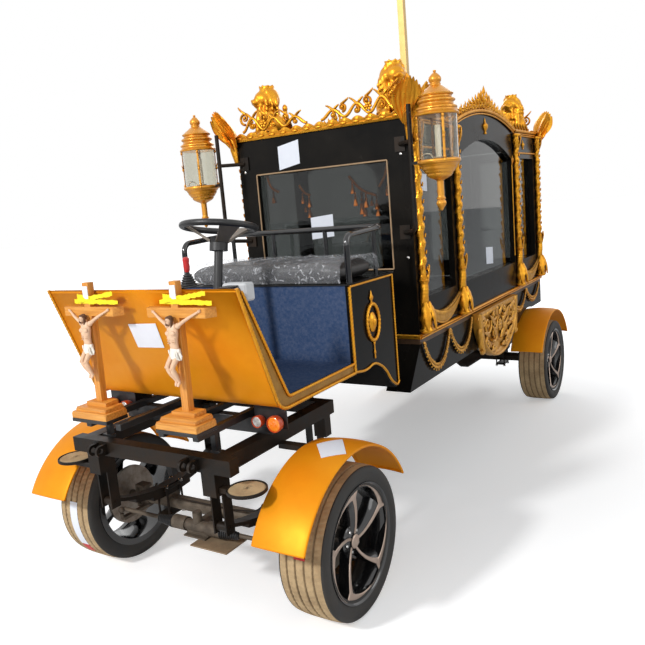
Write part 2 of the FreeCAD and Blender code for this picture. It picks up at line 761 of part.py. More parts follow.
def seat_box():
    """Hollow bench box on the raised rails, with an apron down its back."""
    half = d.tub_half - d.side_wall - d.fit_gap
    wall = d.seat_wall
    low = d.floor_top - d.floor_thick
    front = d.seat_front + d.fit_gap
    outer = block(-half, half, front, d.seat_rear, low, d.seat_top)
    inner = block(-half + wall, half - wall, front + wall, d.seat_rear - wall, low - 5, d.seat_top - wall)
    apron = block(-half, half, d.seat_rear - wall, d.seat_rear, d.tail_z - d.apron_drop, low + 2)
    slot = block(d.loft_x - d.rail_wide / 2 - 1, d.loft_x + d.rail_wide / 2 + 1, d.seat_rear - 2 * wall,
                 d.seat_rear + wall, low - d.loft_high - 2, low)
    return keep("seat_box", cut(fuse(cut(outer, inner), apron), slot, mirrored(slot)))


def side_panels():
    """Tub sides from the dash to the seat's back, arched below the seat."""
    top_z = d.seat_top
    rear_y = d.tail_y + 26
    points = [
        (d.seat_front - 8, d.floor_top - d.floor_thick), (d.arch_y - 80, d.arch_z - 14),
        (d.arch_y, d.arch_z), (d.arch_y + 80, d.arch_z - 30),
        (d.tail_y - 60, d.tail_z + 40), (d.tail_y, d.tail_z), (rear_y, d.tail_z + 20),
        (rear_y, top_z), (d.seat_front - 8, top_z),
    ]
    body = new_body()
    pad(body, outline(body, "YZ_Plane", points), d.side_wall)
    place(body, d.tub_half - d.side_wall, 0, 0)
    sill = block(d.tub_half - d.side_wall, d.tub_half, -d.floor_front + d.fit_gap, d.seat_front - 7,
                 d.floor_top - d.floor_thick, d.floor_top)
    return keep("side_panels", both(fuse(body, sill)))


def tub_mouldings():
    """Carved rope edging along the tub's cut-out, and the oval on each side."""
    x = d.tub_half + d.rope_radius + d.fit_gap
    r = d.rope_radius
    front = d.seat_front - 8
    spots = [
        (x, -d.dash_top_y + d.dash_wall + 4, d.dash_top_z - 12), (x, -d.floor_front, d.floor_top + 2),
        (x, front, d.floor_top + 2), (x, front, d.seat_top + r),
        (x, d.tail_y, d.seat_top + r),
    ]
    rope = solid(tube(spots, r, 26))
    oval = Part.Ellipse(Vector(), float(d.oval_half_y), float(d.oval_half_z)).toShape()
    face = Part.Face(Part.Wire([oval]))
    medal = face.extrude(Vector(0, 0, float(r) * 2))
    medal.rotate(Vector(), Vector(0, 0, 1), 90)
    medal.rotate(Vector(), Vector(0, 1, 0), 90)
    medal.translate(Vector(float(d.tub_half + d.fit_gap), float(d.oval_y), float(d.oval_z)))
    stem = block(d.tub_half + d.fit_gap, d.tub_half + r, d.oval_y - 12, d.oval_y + 12,
                 d.oval_z - 165, d.oval_z + 140)
    return keep("tub_mouldings", both(group(rope, fuse(solid(medal), stem))))


def seat_cushion():
    """Bench cushion with softly rounded ends."""
    half = d.tub_half - d.rail_in - d.rail_tube - 6
    low = d.seat_top + d.fit_gap
    front = d.seat_front + 8
    bench = block(-half, half, front, front + d.cushion_deep, low, low + d.cushion_high)
    soft = doc.addObject("Part::Fillet", "Soft")
    soft.Base = bench
    doc.recompute()
    soft.Edges = [(i + 1, 28, 28) for i in range(12)]
    return keep("seat_cushion", soft)


def seat_rail():
    """Tubular arm and back rail around the bench, on three short posts."""
    x = d.tub_half - d.rail_in
    r = d.rail_tube
    foot = d.seat_top + d.fit_gap
    z = d.back_rail_z
    spots = [
        (x, d.arm_foot_y, foot), (x, d.arm_foot_y, d.arm_bend_z), (x, d.back_rail_y, z),
        (-x, d.back_rail_y, z), (-x, d.arm_foot_y, d.arm_bend_z), (-x, d.arm_foot_y, foot),
    ]
    parts = [solid(tube(spots, r, 46))]
    for post_x in (-x + 45, -x / 3, x / 3, x - 45):
        parts.append(rod("z", r - 3, z - foot, post_x, d.back_rail_y, foot))
    return keep("seat_rail", fuse(*parts))


dash_panel()
cab_floor()
seat_box()
side_panels()
tub_mouldings()
seat_cushion()
seat_rail()


# Driver's controls

def steering_column():
    """Column tube from the floor to the steering wheel's boss."""
    lean = math.radians(SIZES["wheel_tilt"])
    foot_z = d.floor_top + 6
    long = (d.wheel_centre_z - foot_z) / math.cos(lean) - d.wheel_dish - 8
    column = doc.addObject("Part::Cylinder", "Column")
    tie(column, "Radius", d.column_radius)
    tie(column, "Height", long - d.fit_gap)
    foot_y = d.wheel_centre_y - (d.wheel_centre_z - foot_z) * math.tan(lean)
    place(column, 0, foot_y, foot_z, Rotation(Vector(1, 0, 0), -SIZES["wheel_tilt"]))
    flange = rod("z", d.column_radius * 2, 10, 0, foot_y, d.floor_top + d.fit_gap)
    return keep("steering_column", fuse(column, flange))


def steering_wheel():
    """Dished wheel: rim, three spokes and a boss on the column's end."""
    dish = d.wheel_dish
    r = d.wheel_rim_radius - d.wheel_tube
    rim_ring = ring("z", r, d.wheel_tube, 0, 0, 0)
    parts = [rim_ring, rod("z", 40, 34, 0, 0, -dish - 8), cone("z", 34, 46, 40, 0, 0, -dish + 10)]
    slope = math.atan2(float(dish) - 20, float(r) - 30)
    lift = Rotation(Vector(0, 1, 0), -math.degrees(slope))
    for turn in (90, 210, 330):
        spoke = solid(Part.makeBox(float(r) / math.cos(slope) - 22, 38, 9, Vector(20, -19, -4.5)))
        spoke.Placement = Placement(Vector(0, 0, 12 - float(dish)), Rotation(Vector(0, 0, 1), turn) * lift)
        parts.append(spoke)
    return keep("steering_wheel", fuse(*parts), d.wheel_centre_y, 0, d.wheel_centre_z,
                Rotation(Vector(1, 0, 0), -SIZES["wheel_tilt"]))


def gear_lever():
    """Upright hand lever in a stepped boot on a bracket behind the dash."""
    z = d.dash_top_z + d.fit_gap
    x, y = d.lever_x, -d.lever_y
    shelf = block(x - 40, x + 40, -d.dash_top_y + 4, y + 40, z, z + 6)
    boot = cone("z", 31, 20, 34, x, y, z + 5)
    stick = rod("z", 6, d.lever_high, x, y, z + 4)
    grip = rod("z", 13, 60, x, y, z + d.lever_high - 56)
    return fuse(shelf, boot, stick, grip)


def instrument_pod():
    """Small screen housing on a tab over the dash's top edge."""
    x, y = d.pod_x - 16, -d.pod_y
    z = d.dash_top_z - 56
    half = d.pod_wide / 2
    house = block(x - half, x + half, y - d.pod_deep / 2, y + d.pod_deep / 2, z, z + d.pod_high)
    soft = doc.addObject("Part::Fillet", "Rounded")
    soft.Base = house
    doc.recompute()
    soft.Edges = [(i + 1, 9, 9) for i in range(12)]
    top = d.dash_top_z + d.fit_gap
    tab = block(x - 24, x + 24, -d.dash_top_y + 4, y, top, top + 4)
    return fuse(soft, tab)


steering_column()
steering_wheel()
keep("driver_controls", group(gear_lever(), instrument_pod()))


# Lamps and crosses

def front_lamps():
    """Round lamps in pairs on a plate under the dash."""
    z, y = d.lamp_z, -d.lamp_y
    side = fuse(
        block(d.lamp_in_x - 36, d.lamp_out_x + 36, y + 10, y + 16, z - 30, d.dash_foot_z - d.fit_gap),
        rod("y", d.lamp_radius, d.lamp_deep, d.lamp_in_x, y - d.lamp_deep + 12, z),
        rod("y", d.lamp_radius, d.lamp_deep, d.lamp_out_x, y - d.lamp_deep + 12, z),
    )
    return keep("front_lamps", both(side))


def crucifixes():
    """Two wooden crosses with figures on stepped bases before the dash."""
    x, y = d.cross_x, -d.cross_y
    z = d.cross_shelf
    wide, deep = d.cross_base_wide / 2, d.cross_base_deep / 2
    parts = [block(x - wide - 8, x + wide + 8, y - deep - 8, y + deep + 8, z - 8, z)]
    for foot_x in (x - wide + 20, x + wide - 50):
        parts.append(block(foot_x, foot_x + 30, -d.beam_front + 6, -d.beam_front + 36,
                           d.rail_top + d.fit_gap, z - 4))
    step = d.cross_base_high / 3
    for number in range(3):
        inset = 22 * number
        parts.append(block(x - wide + inset, x + wide - inset, y - deep + inset / 2, y + deep - inset / 2,
                           z - 1 + step * number, z + step * (number + 1)))
    wood = d.cross_wood / 2
    thick = d.cross_wood_thick / 2
    parts.append(block(x - wood, x + wood, y - thick, y + thick, z + d.cross_base_high - 1, d.cross_top))
    parts.append(block(x - d.cross_bar_half, x + d.cross_bar_half, y - thick, y + thick,
                       d.cross_bar_z - wood, d.cross_bar_z + wood))
    figure = d.figure_high
    front = y - thick - figure * 0.026
    reach = d.cross_bar_half * 0.74
    chest = front - figure * 0.006
    parts.append(rod("z", figure * 0.037, figure * 0.43, x, chest, d.cross_bar_z - figure * 0.54))
    parts.append(rod("z", figure * 0.026, figure * 0.47, x, front, d.cross_bar_z - figure))
    parts.append(ball(figure * 0.048, x, front - figure * 0.017, d.cross_bar_z - figure * 0.05))
    parts.append(rod("x", figure * 0.02, reach * 2, x - reach, front, d.cross_bar_z - figure * 0.13))
    return keep("crucifixes", both(fuse(*parts)))


front_lamps()
crucifixes()


# Hearse body

body_middle = (d.body_front + d.body_rear) / 2
body_side = d.body_half
inner_half = d.body_half - d.body_wall - d.fit_gap
hinge_y = d.body_rear + d.hinge_radius + 1


def skirt():
    """Lower panels round the body, leaning forward in front, cut for the rear wheels."""
    wall = d.body_wall
    top = d.deck_top - d.deck_thick - d.fit_gap
    low = d.skirt_bottom
    front, rear = d.body_front, d.body_rear
    outer = new_body()
    points = [(d.skirt_nose, low), (rear, low), (rear, top), (front, top)]
    pad(outer, outline(outer, "YZ_Plane", points), body_side * 2, both_ways=True)
    inner = new_body()
    lean = wall * 1.4
    points = [
        (d.skirt_nose + lean, low - 10), (rear - wall, low - 10), (rear - wall, top + 10),
        (front + lean, top + 10),
    ]
    pad(inner, outline(inner, "YZ_Plane", points), (body_side - wall) * 2, both_ways=True)
    arch = rod("x", d.guard_radius + d.run_gap, body_side * 4, -body_side * 2, d.wheelbase - d.guard_back,
               d.guard_centre_z)
    tail = block(-body_side * 2, body_side * 2, d.wheelbase, d.body_rear + 10, d.skirt_bottom - 20, d.skirt_rear_z)
    rails = block(-d.rail_x - d.rail_wide / 2 - d.run_gap, d.rail_x + d.rail_wide / 2 + d.run_gap,
                  d.skirt_nose - 10, rear + 10, low - 10, d.rail_top + d.run_gap)
    return keep("skirt", cut(outer, inner, arch, tail, rails))


def hearse_deck():
    """Load deck on bearers across the frame."""
    low = d.deck_top - d.deck_thick
    slab = block(-body_side, body_side, d.body_front, d.body_rear, low, d.deck_top)
    parts = [slab]
    for share in (0.08, 0.36, 0.62, 0.94):
        y = d.body_front + (d.body_rear - d.body_front) * share
        parts.append(block(-d.beam_half, d.beam_half, y - 25, y + 25, d.rail_top + d.fit_gap, low + 2))
    return keep("hearse_deck", fuse(*parts))


def front_wall():
    """Front wall behind the driver, with its wide window."""
    low = d.deck_top + d.fit_gap
    half = inner_half
    points = [(-half, low), (half, low), (half, d.wall_top), (-half, d.wall_top)]
    p = d.front_pane_half
    pane = [(-p, d.front_pane_sill), (p, d.front_pane_sill), (p, d.front_pane_top), (-p, d.front_pane_top)]
    return keep("front_wall", plate("XZ_Plane", points, d.body_wall, offset=-d.body_front - d.body_wall, holes=[pane]))


def rear_frame():
    """Frame round the rear doors, with its hinge knuckles."""
    low = d.deck_top + d.fit_gap
    half = inner_half
    points = [(-half, low), (half, low), (half, d.wall_top), (-half, d.wall_top)]
    p = d.front_pane_half + 40
    gap = [(-p, low + 30), (p, low + 30), (p, d.wall_top - 95), (-p, d.wall_top - 95)]
    frame = plate("XZ_Plane", points, d.body_wall, offset=-d.body_rear, holes=[gap])
    parts = [frame]
    r = d.hinge_radius
    y = hinge_y
    for z in hinge_heights():
        for end in (z - 60, z + 21):
            parts.append(rod("z", r, 39, p, y, end))
            parts.append(block(p + 2, p + 36, d.body_rear - 1, d.body_rear + 5, end, end + 39))
        parts.append(rod("z", r / 2, 110, p, y, z - 55))
    side = fuse(*parts[1:])
    return keep("rear_frame", fuse(frame, side, mirrored(side)))


def hinge_heights():
    low = d.deck_top + 30
    high = d.wall_top - 95
    return [low + (high - low) * share for share in (0.14, 0.5, 0.86)]


def rear_door():
    """One leaf of the rear doors with its window and hinge leaves."""
    low = d.deck_top + d.fit_gap + 30 + d.door_gap
    high = d.wall_top - 95 - d.door_gap
    edge = d.front_pane_half + 40 - d.door_gap
    points = [(d.door_gap / 2, low), (edge, low), (edge, high), (d.door_gap / 2, high)]
    pane = [(74, d.sill_z - 30), (edge - 66, d.sill_z - 30), (edge - 66, high - 78), (74, high - 78)]
    leaf = plate("XZ_Plane", points, d.door_wall, offset=-d.body_rear, holes=[pane])
    parts = [leaf]
    r = d.hinge_radius
    axis_x = d.front_pane_half + 40
    for z in hinge_heights():
        knuckle_ring = rod("z", r, 40, axis_x, hinge_y, z - 20)
        strap = block(edge - 40, axis_x - 2, d.body_rear - 1, d.body_rear + 5, z - 20, z + 20)
        bore = rod("z", r / 2 + d.fit_gap, 60, axis_x, hinge_y, z - 30)
        parts.append(cut(fuse(knuckle_ring, strap), bore))
    handle = fuse(rod("y", 8, 44, 40, d.body_rear - 1, d.sill_z + 200),
                  rod("x", 9, 90, 34, d.body_rear + 38, d.sill_z + 200))
    parts.append(handle)
    return fuse(*parts)


def side_wall():
    """Glazed side: two narrow windows, a wide arched one, gable above."""
    low = d.deck_top + d.fit_gap
    c = body_middle
    g = d.gable_half
    top = d.wall_top
    bend = (g * g + d.gable_rise * d.gable_rise) / (d.gable_rise * 2)
    points = [
        (d.body_front, low), (d.body_rear, low), (d.body_rear, top), (c + g, top),
        (c - g, top, -bend), (d.body_front, top),
    ]
    p = d.pane_half
    arc = (p * p + d.pane_rise * d.pane_rise) / (d.pane_rise * 2)
    wide = [(c - p, d.sill_z), (c + p, d.sill_z), (c + p, d.pane_spring), (c - p, d.pane_spring, -arc)]
    holes = [wide]
    n = d.narrow_half
    for end in (-1, 1):
        m = c + end * d.narrow_off
        holes.append([(m - n, d.sill_z), (m + n, d.sill_z), (m + n, d.pane_top), (m - n, d.pane_top)])
    body = plate("YZ_Plane", points, d.body_wall, offset=body_side - d.body_wall, holes=holes)
    return body


def panes():
    """Window glass of both sides, seated on the inner face of each wall."""
    x = body_side - d.body_wall - d.fit_gap - d.glass_thick
    c = body_middle
    lap = 10
    parts = []
    p = d.pane_half + lap
    rise = d.pane_rise
    arc = (p * p + rise * rise) / (rise * 2)
    body = new_body()
    top = d.pane_spring + lap
    points = [(c - p, d.sill_z - lap), (c + p, d.sill_z - lap), (c + p, top), (c - p, top, -arc)]
    pad(body, outline(body, "YZ_Plane", points), d.glass_thick)
    place(body, x, 0, 0)
    parts.append(body)
    n = d.narrow_half + lap
    for end in (-1, 1):
        m = c + end * d.narrow_off
        parts.append(block(x, x + d.glass_thick, m - n, m + n, d.sill_z - lap, d.pane_top + lap))
    return both(group(*parts))


def front_glass():
    lap = 10
    y = d.body_front + d.body_wall + d.fit_gap
    p = d.front_pane_half + lap
    return block(-p, p, y, y + d.glass_thick, d.front_pane_sill - lap, d.front_pane_top + lap)


def door_glass():
    lap = 10
    y = d.body_rear - d.door_wall - d.fit_gap - d.glass_thick
    edge = d.front_pane_half + 40 - d.door_gap
    high = d.wall_top - 95 - d.door_gap
    return block(74 - lap, edge - 66 + lap, y, y + d.glass_thick, d.sill_z - 30 - lap, high - 78 + lap)


def hearse_roof():
    """Flat roof with a cross vault under the side gables."""
    z = d.wall_top + d.fit_gap
    wall = d.roof_wall
    slab = block(-body_side, body_side, d.body_front, d.body_rear, z, z + wall)
    g = d.gable_half
    c = body_middle
    rise = d.gable_rise
    bend = (g * g + rise * rise) / (rise * 2)
    outer = new_body()
    grow = wall
    pad(outer, outline(outer, "YZ_Plane", [(c - g, z), (c + g, z), (c + g, z + grow), (c - g, z + grow, -bend)]),
        body_side * 2, both_ways=True)
    inner = new_body()
    pad(inner, outline(inner, "YZ_Plane", [(c - g, z - 1), (c + g, z - 1), (c + g, z), (c - g, z, -bend)]),
        body_side * 2 + 10, both_ways=True)
    return keep("hearse_roof", cut(fuse(slab, outer), inner))


skirt()
hearse_deck()
front_wall()
rear_frame()
keep_pair("rear_door", rear_door())
keep("side_walls", both(side_wall()))
keep("body_glass", group(panes(), front_glass()))
keep_pair("door_glass", door_glass())
hearse_roof()


# Gilded and carved work

def body_rail():
    """Gilt rail round the body at deck height."""
    out = d.rail_bead_out
    z = d.deck_top - 4
    gap = d.fit_gap
    outer = block(-body_side - out, body_side + out, d.body_front - out, d.body_rear + out, z, z + d.rail_bead_high)
    inner = block(-body_side - gap, body_side + gap, d.body_front - gap, d.body_rear + gap, z - 5, z + 60)
    return keep("body_rail", cut(outer, inner))


def cornice():
    """Gilt band round the eaves, arched over each side."""
    out = d.cornice_out
    gap = d.fit_gap
    z = d.wall_top
    high = d.cornice_high
    c = body_middle
    parts = []
    for y0, y1 in ((d.body_front - out, d.body_front - gap), (d.body_rear + gap, d.body_rear + out)):
        parts.append(block(-body_side - out, body_side + out, y0, y1, z, z + high))
    g = d.gable_half
    rise = d.gable_rise
    bend = (g * g + rise * rise) / (rise * 2)
    side = []
    arch = new_body()
    low, top = z + 6, z + high + 6
    shape = [(c - g, low), (c + g, low, bend), (c + g, top), (c - g, top, -bend)]
    pad(arch, outline(arch, "YZ_Plane", shape), out - gap)
    place(arch, body_side + gap, 0, 0)
    side.append(arch)
    side.append(block(body_side + gap, body_side + out, d.body_front - out + 2, c - g + 4, z, z + high + 4))
    side.append(block(body_side + gap, body_side + out, c + g - 4, d.body_rear + out - 2, z, z + high + 4))
    near = fuse(*side)
    return keep("cornice", fuse(*(parts + [near, mirrored(near)])))


def columns():
    """Four engaged columns a side: flared foot, band, slim shaft and capital."""
    r = d.column_r
    x = d.column_x
    low = d.deck_top + d.rail_bead_high - 4 + d.fit_gap
    top = d.wall_top - 8
    band = low + 265
    c = body_middle
    parts = []
    wall = block(x - r * 3, body_side + d.fit_gap, d.body_front - 60, d.body_rear + 60, low - 10, top + 10)
    for y in (c - d.corner_off, c - d.column_off, c + d.column_off, c + d.corner_off):
        shaft = turned([
            (0, low), (r + 12, low), (r + 14, low + 14), (r + 5, low + 60), (r + 1, low + 170),
            (r + 4, band - 16), (r + 11, band), (r + 4, band + 16), (r - 3, band + 40),
            (r - 1, band + 260), (r, top - 110), (r + 6, top - 96), (r + 2, top - 84),
            (r + 16, top - 22), (r + 19, top - 8), (r + 19, top), (0, top),
        ])
        place(shaft, x, y, 0)
        foot = rod("z", r + 4, 34, x + 20, y, low)
        parts.append(cut(fuse(shaft, foot), wall))
    return group(*parts)


def festoon(y0, y1, z, drop, radius):
    """A hanging garland between two points on the skirt: one arc of a ring."""
    a, b = float(y0), float(y1)
    half = (b - a) / 2
    bend = (half * half + float(drop) ** 2) / (2 * float(drop))
    x = float(body_side + d.fit_gap) + float(radius)
    centre = Vector(x, (a + b) / 2, float(z) - float(drop) + bend)
    start = Vector(x, a, float(z))
    turn = 2 * math.degrees(math.atan2(half, bend - float(drop)))
    tangent = Vector(1, 0, 0).cross(start - centre)
    disc = Part.Face(Part.Wire([Part.Circle(start, tangent, float(radius)).toShape()]))
    return solid(disc.revolve(centre, Vector(1, 0, 0), turn))


def skirt_carvings():
    """Garlands on the skirt and the half-round relief between them."""
    r = d.swag_radius
    z = d.deck_top - 4 - d.fit_gap - r - 4
    c = body_middle - d.relief_shift
    relief_half = d.wheelbase - d.guard_back - d.guard_reach - d.relief_clear - c
    inner = c - relief_half - d.relief_gap
    front = d.body_front + 24
    step = (inner - front) / 2
    parts = [festoon(front, front + step - 12, z, 166, r), festoon(front + step + 12, inner, z, 158, r)]
    far = c + relief_half + d.relief_gap
    parts.append(festoon(far, far + step - 12, z, 128, r))
    parts.append(festoon(far + step + 12, far + step * 2, z, 108, r))
    wide, deep = float(relief_half), float(d.relief_deep)
    oval = Part.Ellipse(Vector(), max(wide, deep), min(wide, deep))
    begin = math.pi
    if deep > wide:
        oval.rotate(Placement(Vector(), Rotation(Vector(0, 0, 1), 90)))
        begin = math.pi / 2
    bow = Part.ArcOfEllipse(oval, begin, begin + math.pi)
    edge = Part.LineSegment(bow.EndPoint, bow.StartPoint)
    shield = Part.Face(Part.Wire([bow.toShape(), edge.toShape()])).extrude(Vector(0, 0, float(d.relief_thick)))
    shield.rotate(Vector(), Vector(1, 1, 1), 120)
    shield.translate(Vector(float(body_side + d.fit_gap), float(c), float(d.deck_top - 6 - d.fit_gap)))
    parts.append(solid(shield))
    return group(*parts)


def roof_crest():
    """Openwork cresting: front and rear rising to the corners, sides peaked."""
    z = d.wall_top + d.cornice_high
    thick = d.crest_thick
    half = body_side - 20
    high = d.crest_high
    points = [
        (-half, z), (half, z), (half, z + high * 0.7), (half * 0.66, z + high * 0.72),
        (half * 0.4, z + high * 0.35), (0, z + 8), (-half * 0.4, z + high * 0.35),
        (-half * 0.66, z + high * 0.72), (-half, z + high * 0.7),
    ]
    front = plate("XZ_Plane", points, thick, offset=-d.body_front - thick + d.cornice_out)
    rear = plate("XZ_Plane", points, thick, offset=-d.body_rear - d.cornice_out + 1)
    g = d.gable_half
    c = body_middle
    rise = d.gable_rise
    bend = (g * g + rise * rise) / (rise * 2)
    low = d.wall_top + d.roof_wall + 2 * d.fit_gap
    peak = [
        (c - g, low), (c + g, low, bend), (c + g, low + 26), (c + g * 0.6, low + rise + 20),
        (c + g * 0.3, low + rise + 70), (c, low + rise + high), (c - g * 0.3, low + rise + 70),
        (c - g * 0.6, low + rise + 20), (c - g, low + 26),
    ]
    side = plate("YZ_Plane", peak, thick, offset=body_side - d.crest_in)
    return keep("roof_crest", group(front, rear, side, mirrored(side)))


def lions():
    """Four seated crowned lions on the roof's corners."""
    z = d.wall_top + d.roof_wall + 2 * d.fit_gap
    x = d.lion_x
    high = d.lion_high
    parts = []
    for end in (-1, 1):
        y = body_middle + end * d.lion_off
        wide, long = high * 0.315, high * 0.405
        lion = fuse(
            block(x - wide, x + wide, y - long, y + long, z, z + high * 0.27),
            ball(high * 0.324, x, y, z + high * 0.495),
            ball(high * 0.28, x, y, z + high * 0.856),
            rod("z", high * 0.153, high * 0.135, x, y, z + high * 1.08),
        )
        parts += [lion, mirrored(lion)]
    return keep("lions", group(*parts))


def corner_leaves():
    """An acanthus leaf springing from each upper corner of the body."""
    low = d.wall_top - d.leaf_root
    out = d.leaf_out
    thick = float(d.leaf_thick)
    high = float(d.leaf_high)
    away = float(d.cornice_out + d.fit_gap * 0.7)
    reach = (float(out) - away) * math.sqrt(2) - thick / 2
    lower = [(0, 0), (0, 94), (26, 130), (reach * 0.45, high * 0.8), (reach * 0.62, high)]
    upper = [(reach * 0.9, high * 0.96), (reach, high * 0.72), (reach * 0.72, high * 0.45), (26, 60), (12, 0)]
    spots = [Vector(a, 0, b) for a, b in lower + upper]
    face = Part.Face(Part.makePolygon(spots + [spots[0]]))
    leaf = face.extrude(Vector(0, thick, 0))
    leaf.translate(Vector(0, -thick / 2, 0))
    parts = []
    for side in (-1, 1):
        for end in (-1, 1):
            y = float(d.body_rear) if end > 0 else float(d.body_front)
            piece = leaf.copy()
            piece.rotate(Vector(), Vector(0, 0, 1), math.degrees(math.atan2(end, side)))
            piece.translate(Vector(side * (float(body_side) + away), y + end * away, float(low)))
            parts.append(solid(piece))
    return keep("corner_leaves", group(*parts))


def roof_cross():
    """Plain gilt cross standing on the roof's middle."""
    half = d.roof_cross_side / 2
    c = body_middle
    ridge = d.wall_top + d.gable_rise + d.roof_wall
    foot = block(-half * 3, half * 3, c - half * 3, c + half * 3, ridge + 2 * d.fit_gap, ridge + 24)
    post = block(-half, half, c - half, c + half, ridge + 4, d.roof_cross_top)
    bar = d.roof_cross_bar_half
    arm = block(-bar, bar, c - half, c + half, d.roof_cross_bar_z - half, d.roof_cross_bar_z + half)
    return keep("roof_cross", fuse(foot, post, arm))


body_rail()
cornice()
keep("columns", both(columns()))
keep("skirt_carvings", both(skirt_carvings()))
roof_crest()
lions()
corner_leaves()
roof_cross()


# Lanterns

def lanterns():
    """Two carriage lanterns: bowl and stem, four glazing bars, tiered cap."""
    glass = d.lantern_glass_r
    foot = d.lantern_glass_foot
    eave = foot + d.lantern_glass_high
    rim_r = d.lantern_eave_r
    tip = d.lantern_foot
    lower = [
        (0, tip), (rim_r * 0.25, tip + 46), (rim_r * 0.15, tip + 62), (rim_r * 0.15, foot - 104),
        (rim_r * 0.27, foot - 96), (rim_r * 0.6, foot - 84), (rim_r * 0.82, foot - 52),
        (rim_r * 0.92, foot - 26), (rim_r, foot - 18), (rim_r, foot), (0, foot),
    ]
    upper = [
        (0, eave), (rim_r, eave), (rim_r, eave + 12), (rim_r * 0.84, eave + 30), (rim_r * 0.87, eave + 50),
        (rim_r * 0.79, eave + 70), (rim_r * 0.75, eave + 90), (rim_r * 0.4, eave + 128),
        (rim_r * 0.23, eave + 142), (rim_r * 0.29, eave + 160), (rim_r * 0.12, eave + 180), (0, d.lantern_top),
    ]
    bowl = turned(lower)
    cap = turned(upper)
    parts = [bowl, cap, rod("z", d.candle_r, d.lantern_glass_high - 30, 0, 0, foot - 2)]
    for turn in (45, 135, 225, 315):
        corner = Vector(float(glass) + 2, -6, float(foot) - 2)
        bar = solid(Part.makeBox(5, 12, float(d.lantern_glass_high) + 4, corner))
        bar.Placement = Placement(Vector(), Rotation(Vector(0, 0, 1), turn))
        parts.append(bar)
    whole = fuse(*parts)
    left = place(whole, d.lantern_x, d.lantern_y, 0)
    return keep("lanterns", both(left))


def lantern_glass():
    """Glass cylinder of each lantern."""
    foot = d.lantern_glass_foot + d.fit_gap
    high = d.lantern_glass_high - 2 * d.fit_gap
    shell = cut(
        rod("z", d.lantern_glass_r, high, d.lantern_x, d.lantern_y, foot),
        rod("z", d.lantern_glass_r - d.lantern_wall, high * 2, d.lantern_x, d.lantern_y, foot - high / 2),
    )
    return keep("lantern_glass", both(shell))


def lantern_brackets():
    """Bent post and arm that hold each lantern off the front wall."""
    r = d.post_radius
    x, y = d.post_x, d.lantern_y + 5
    wall_y = d.body_front - d.fit_gap
    end_y = wall_y - 9
    spots = [(x, y, d.post_top), (x, y, d.post_foot), (x - 100, end_y, d.post_foot - 12)]
    post = solid(tube(spots, r, 40))
    start = Vector(float(x), float(y), float(d.post_arm_z))
    along = Vector(float(x) - 100, float(end_y), float(d.post_arm_z)) - start
    arm = solid(Part.makeCylinder(float(r) - 1, along.Length, start, along))
    flanges = [
        block(x - 130, x - 74, wall_y - 8, wall_y, d.post_foot - 46, d.post_foot + 24),
        block(x - 130, x - 74, wall_y - 8, wall_y, d.post_arm_z - 36, d.post_arm_z + 36),
    ]
    rim_x = d.lantern_x - d.lantern_eave_r - d.fit_gap
    strap = block(x, rim_x, y - 10, y + 10, d.lantern_glass_foot - 14, d.lantern_glass_foot)
    return keep("lantern_brackets", both(fuse(post, arm, strap, *flanges)))


lanterns()
lantern_glass()
lantern_brackets()


# Export

doc.recompute()
faults = [obj.Name + " " + obj.Label for obj in doc.Objects if "Invalid" in obj.State or "Error" in obj.State]
for node in nodes:
    if node.Shape.isNull() or not node.Shape.isValid():
        faults.append("shape " + node.Label)
if faults:
    raise RuntimeError("; ".join(faults))
os.makedirs("parts", exist_ok=True)
for node in nodes:
    node.Shape.exportStep(f"parts/{node.Label}.step")
    box = node.Shape.BoundBox
    print(f"{node.Label:24s} solids {len(node.Shape.Solids)} x {box.XMin:.0f} {box.XMax:.0f}"
          f" y {box.YMin:.0f} {box.YMax:.0f} z {box.ZMin:.0f} {box.ZMax:.0f}")
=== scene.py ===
import math

import bmesh
import bpy
import numpy as np
from mathutils import Matrix, Vector


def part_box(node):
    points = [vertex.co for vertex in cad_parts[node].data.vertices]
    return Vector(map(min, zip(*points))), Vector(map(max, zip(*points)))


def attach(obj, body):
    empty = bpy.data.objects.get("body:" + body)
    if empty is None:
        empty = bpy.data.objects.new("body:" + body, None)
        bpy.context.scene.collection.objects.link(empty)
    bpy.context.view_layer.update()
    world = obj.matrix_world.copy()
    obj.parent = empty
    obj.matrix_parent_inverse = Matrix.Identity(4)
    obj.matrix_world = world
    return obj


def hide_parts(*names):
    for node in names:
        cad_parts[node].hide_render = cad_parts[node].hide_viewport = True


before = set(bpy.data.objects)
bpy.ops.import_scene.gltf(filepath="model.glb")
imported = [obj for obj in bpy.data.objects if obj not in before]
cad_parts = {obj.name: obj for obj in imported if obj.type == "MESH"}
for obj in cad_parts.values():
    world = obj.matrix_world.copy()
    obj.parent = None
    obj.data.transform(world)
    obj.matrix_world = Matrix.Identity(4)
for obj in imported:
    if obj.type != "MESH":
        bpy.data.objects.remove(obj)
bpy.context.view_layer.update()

view = bpy.context.scene
view.view_settings.view_transform = "Standard"


# The view: the photograph's place and lens, found from the wheels and the body.
# Distances along the vehicle are counted from the front axle, as everywhere below.
axle_low, axle_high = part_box("tyre_front_left")
AXLE_Y = (axle_low.y + axle_high.y) / 2
AXLE_Z = (axle_low.z + axle_high.z) / 2

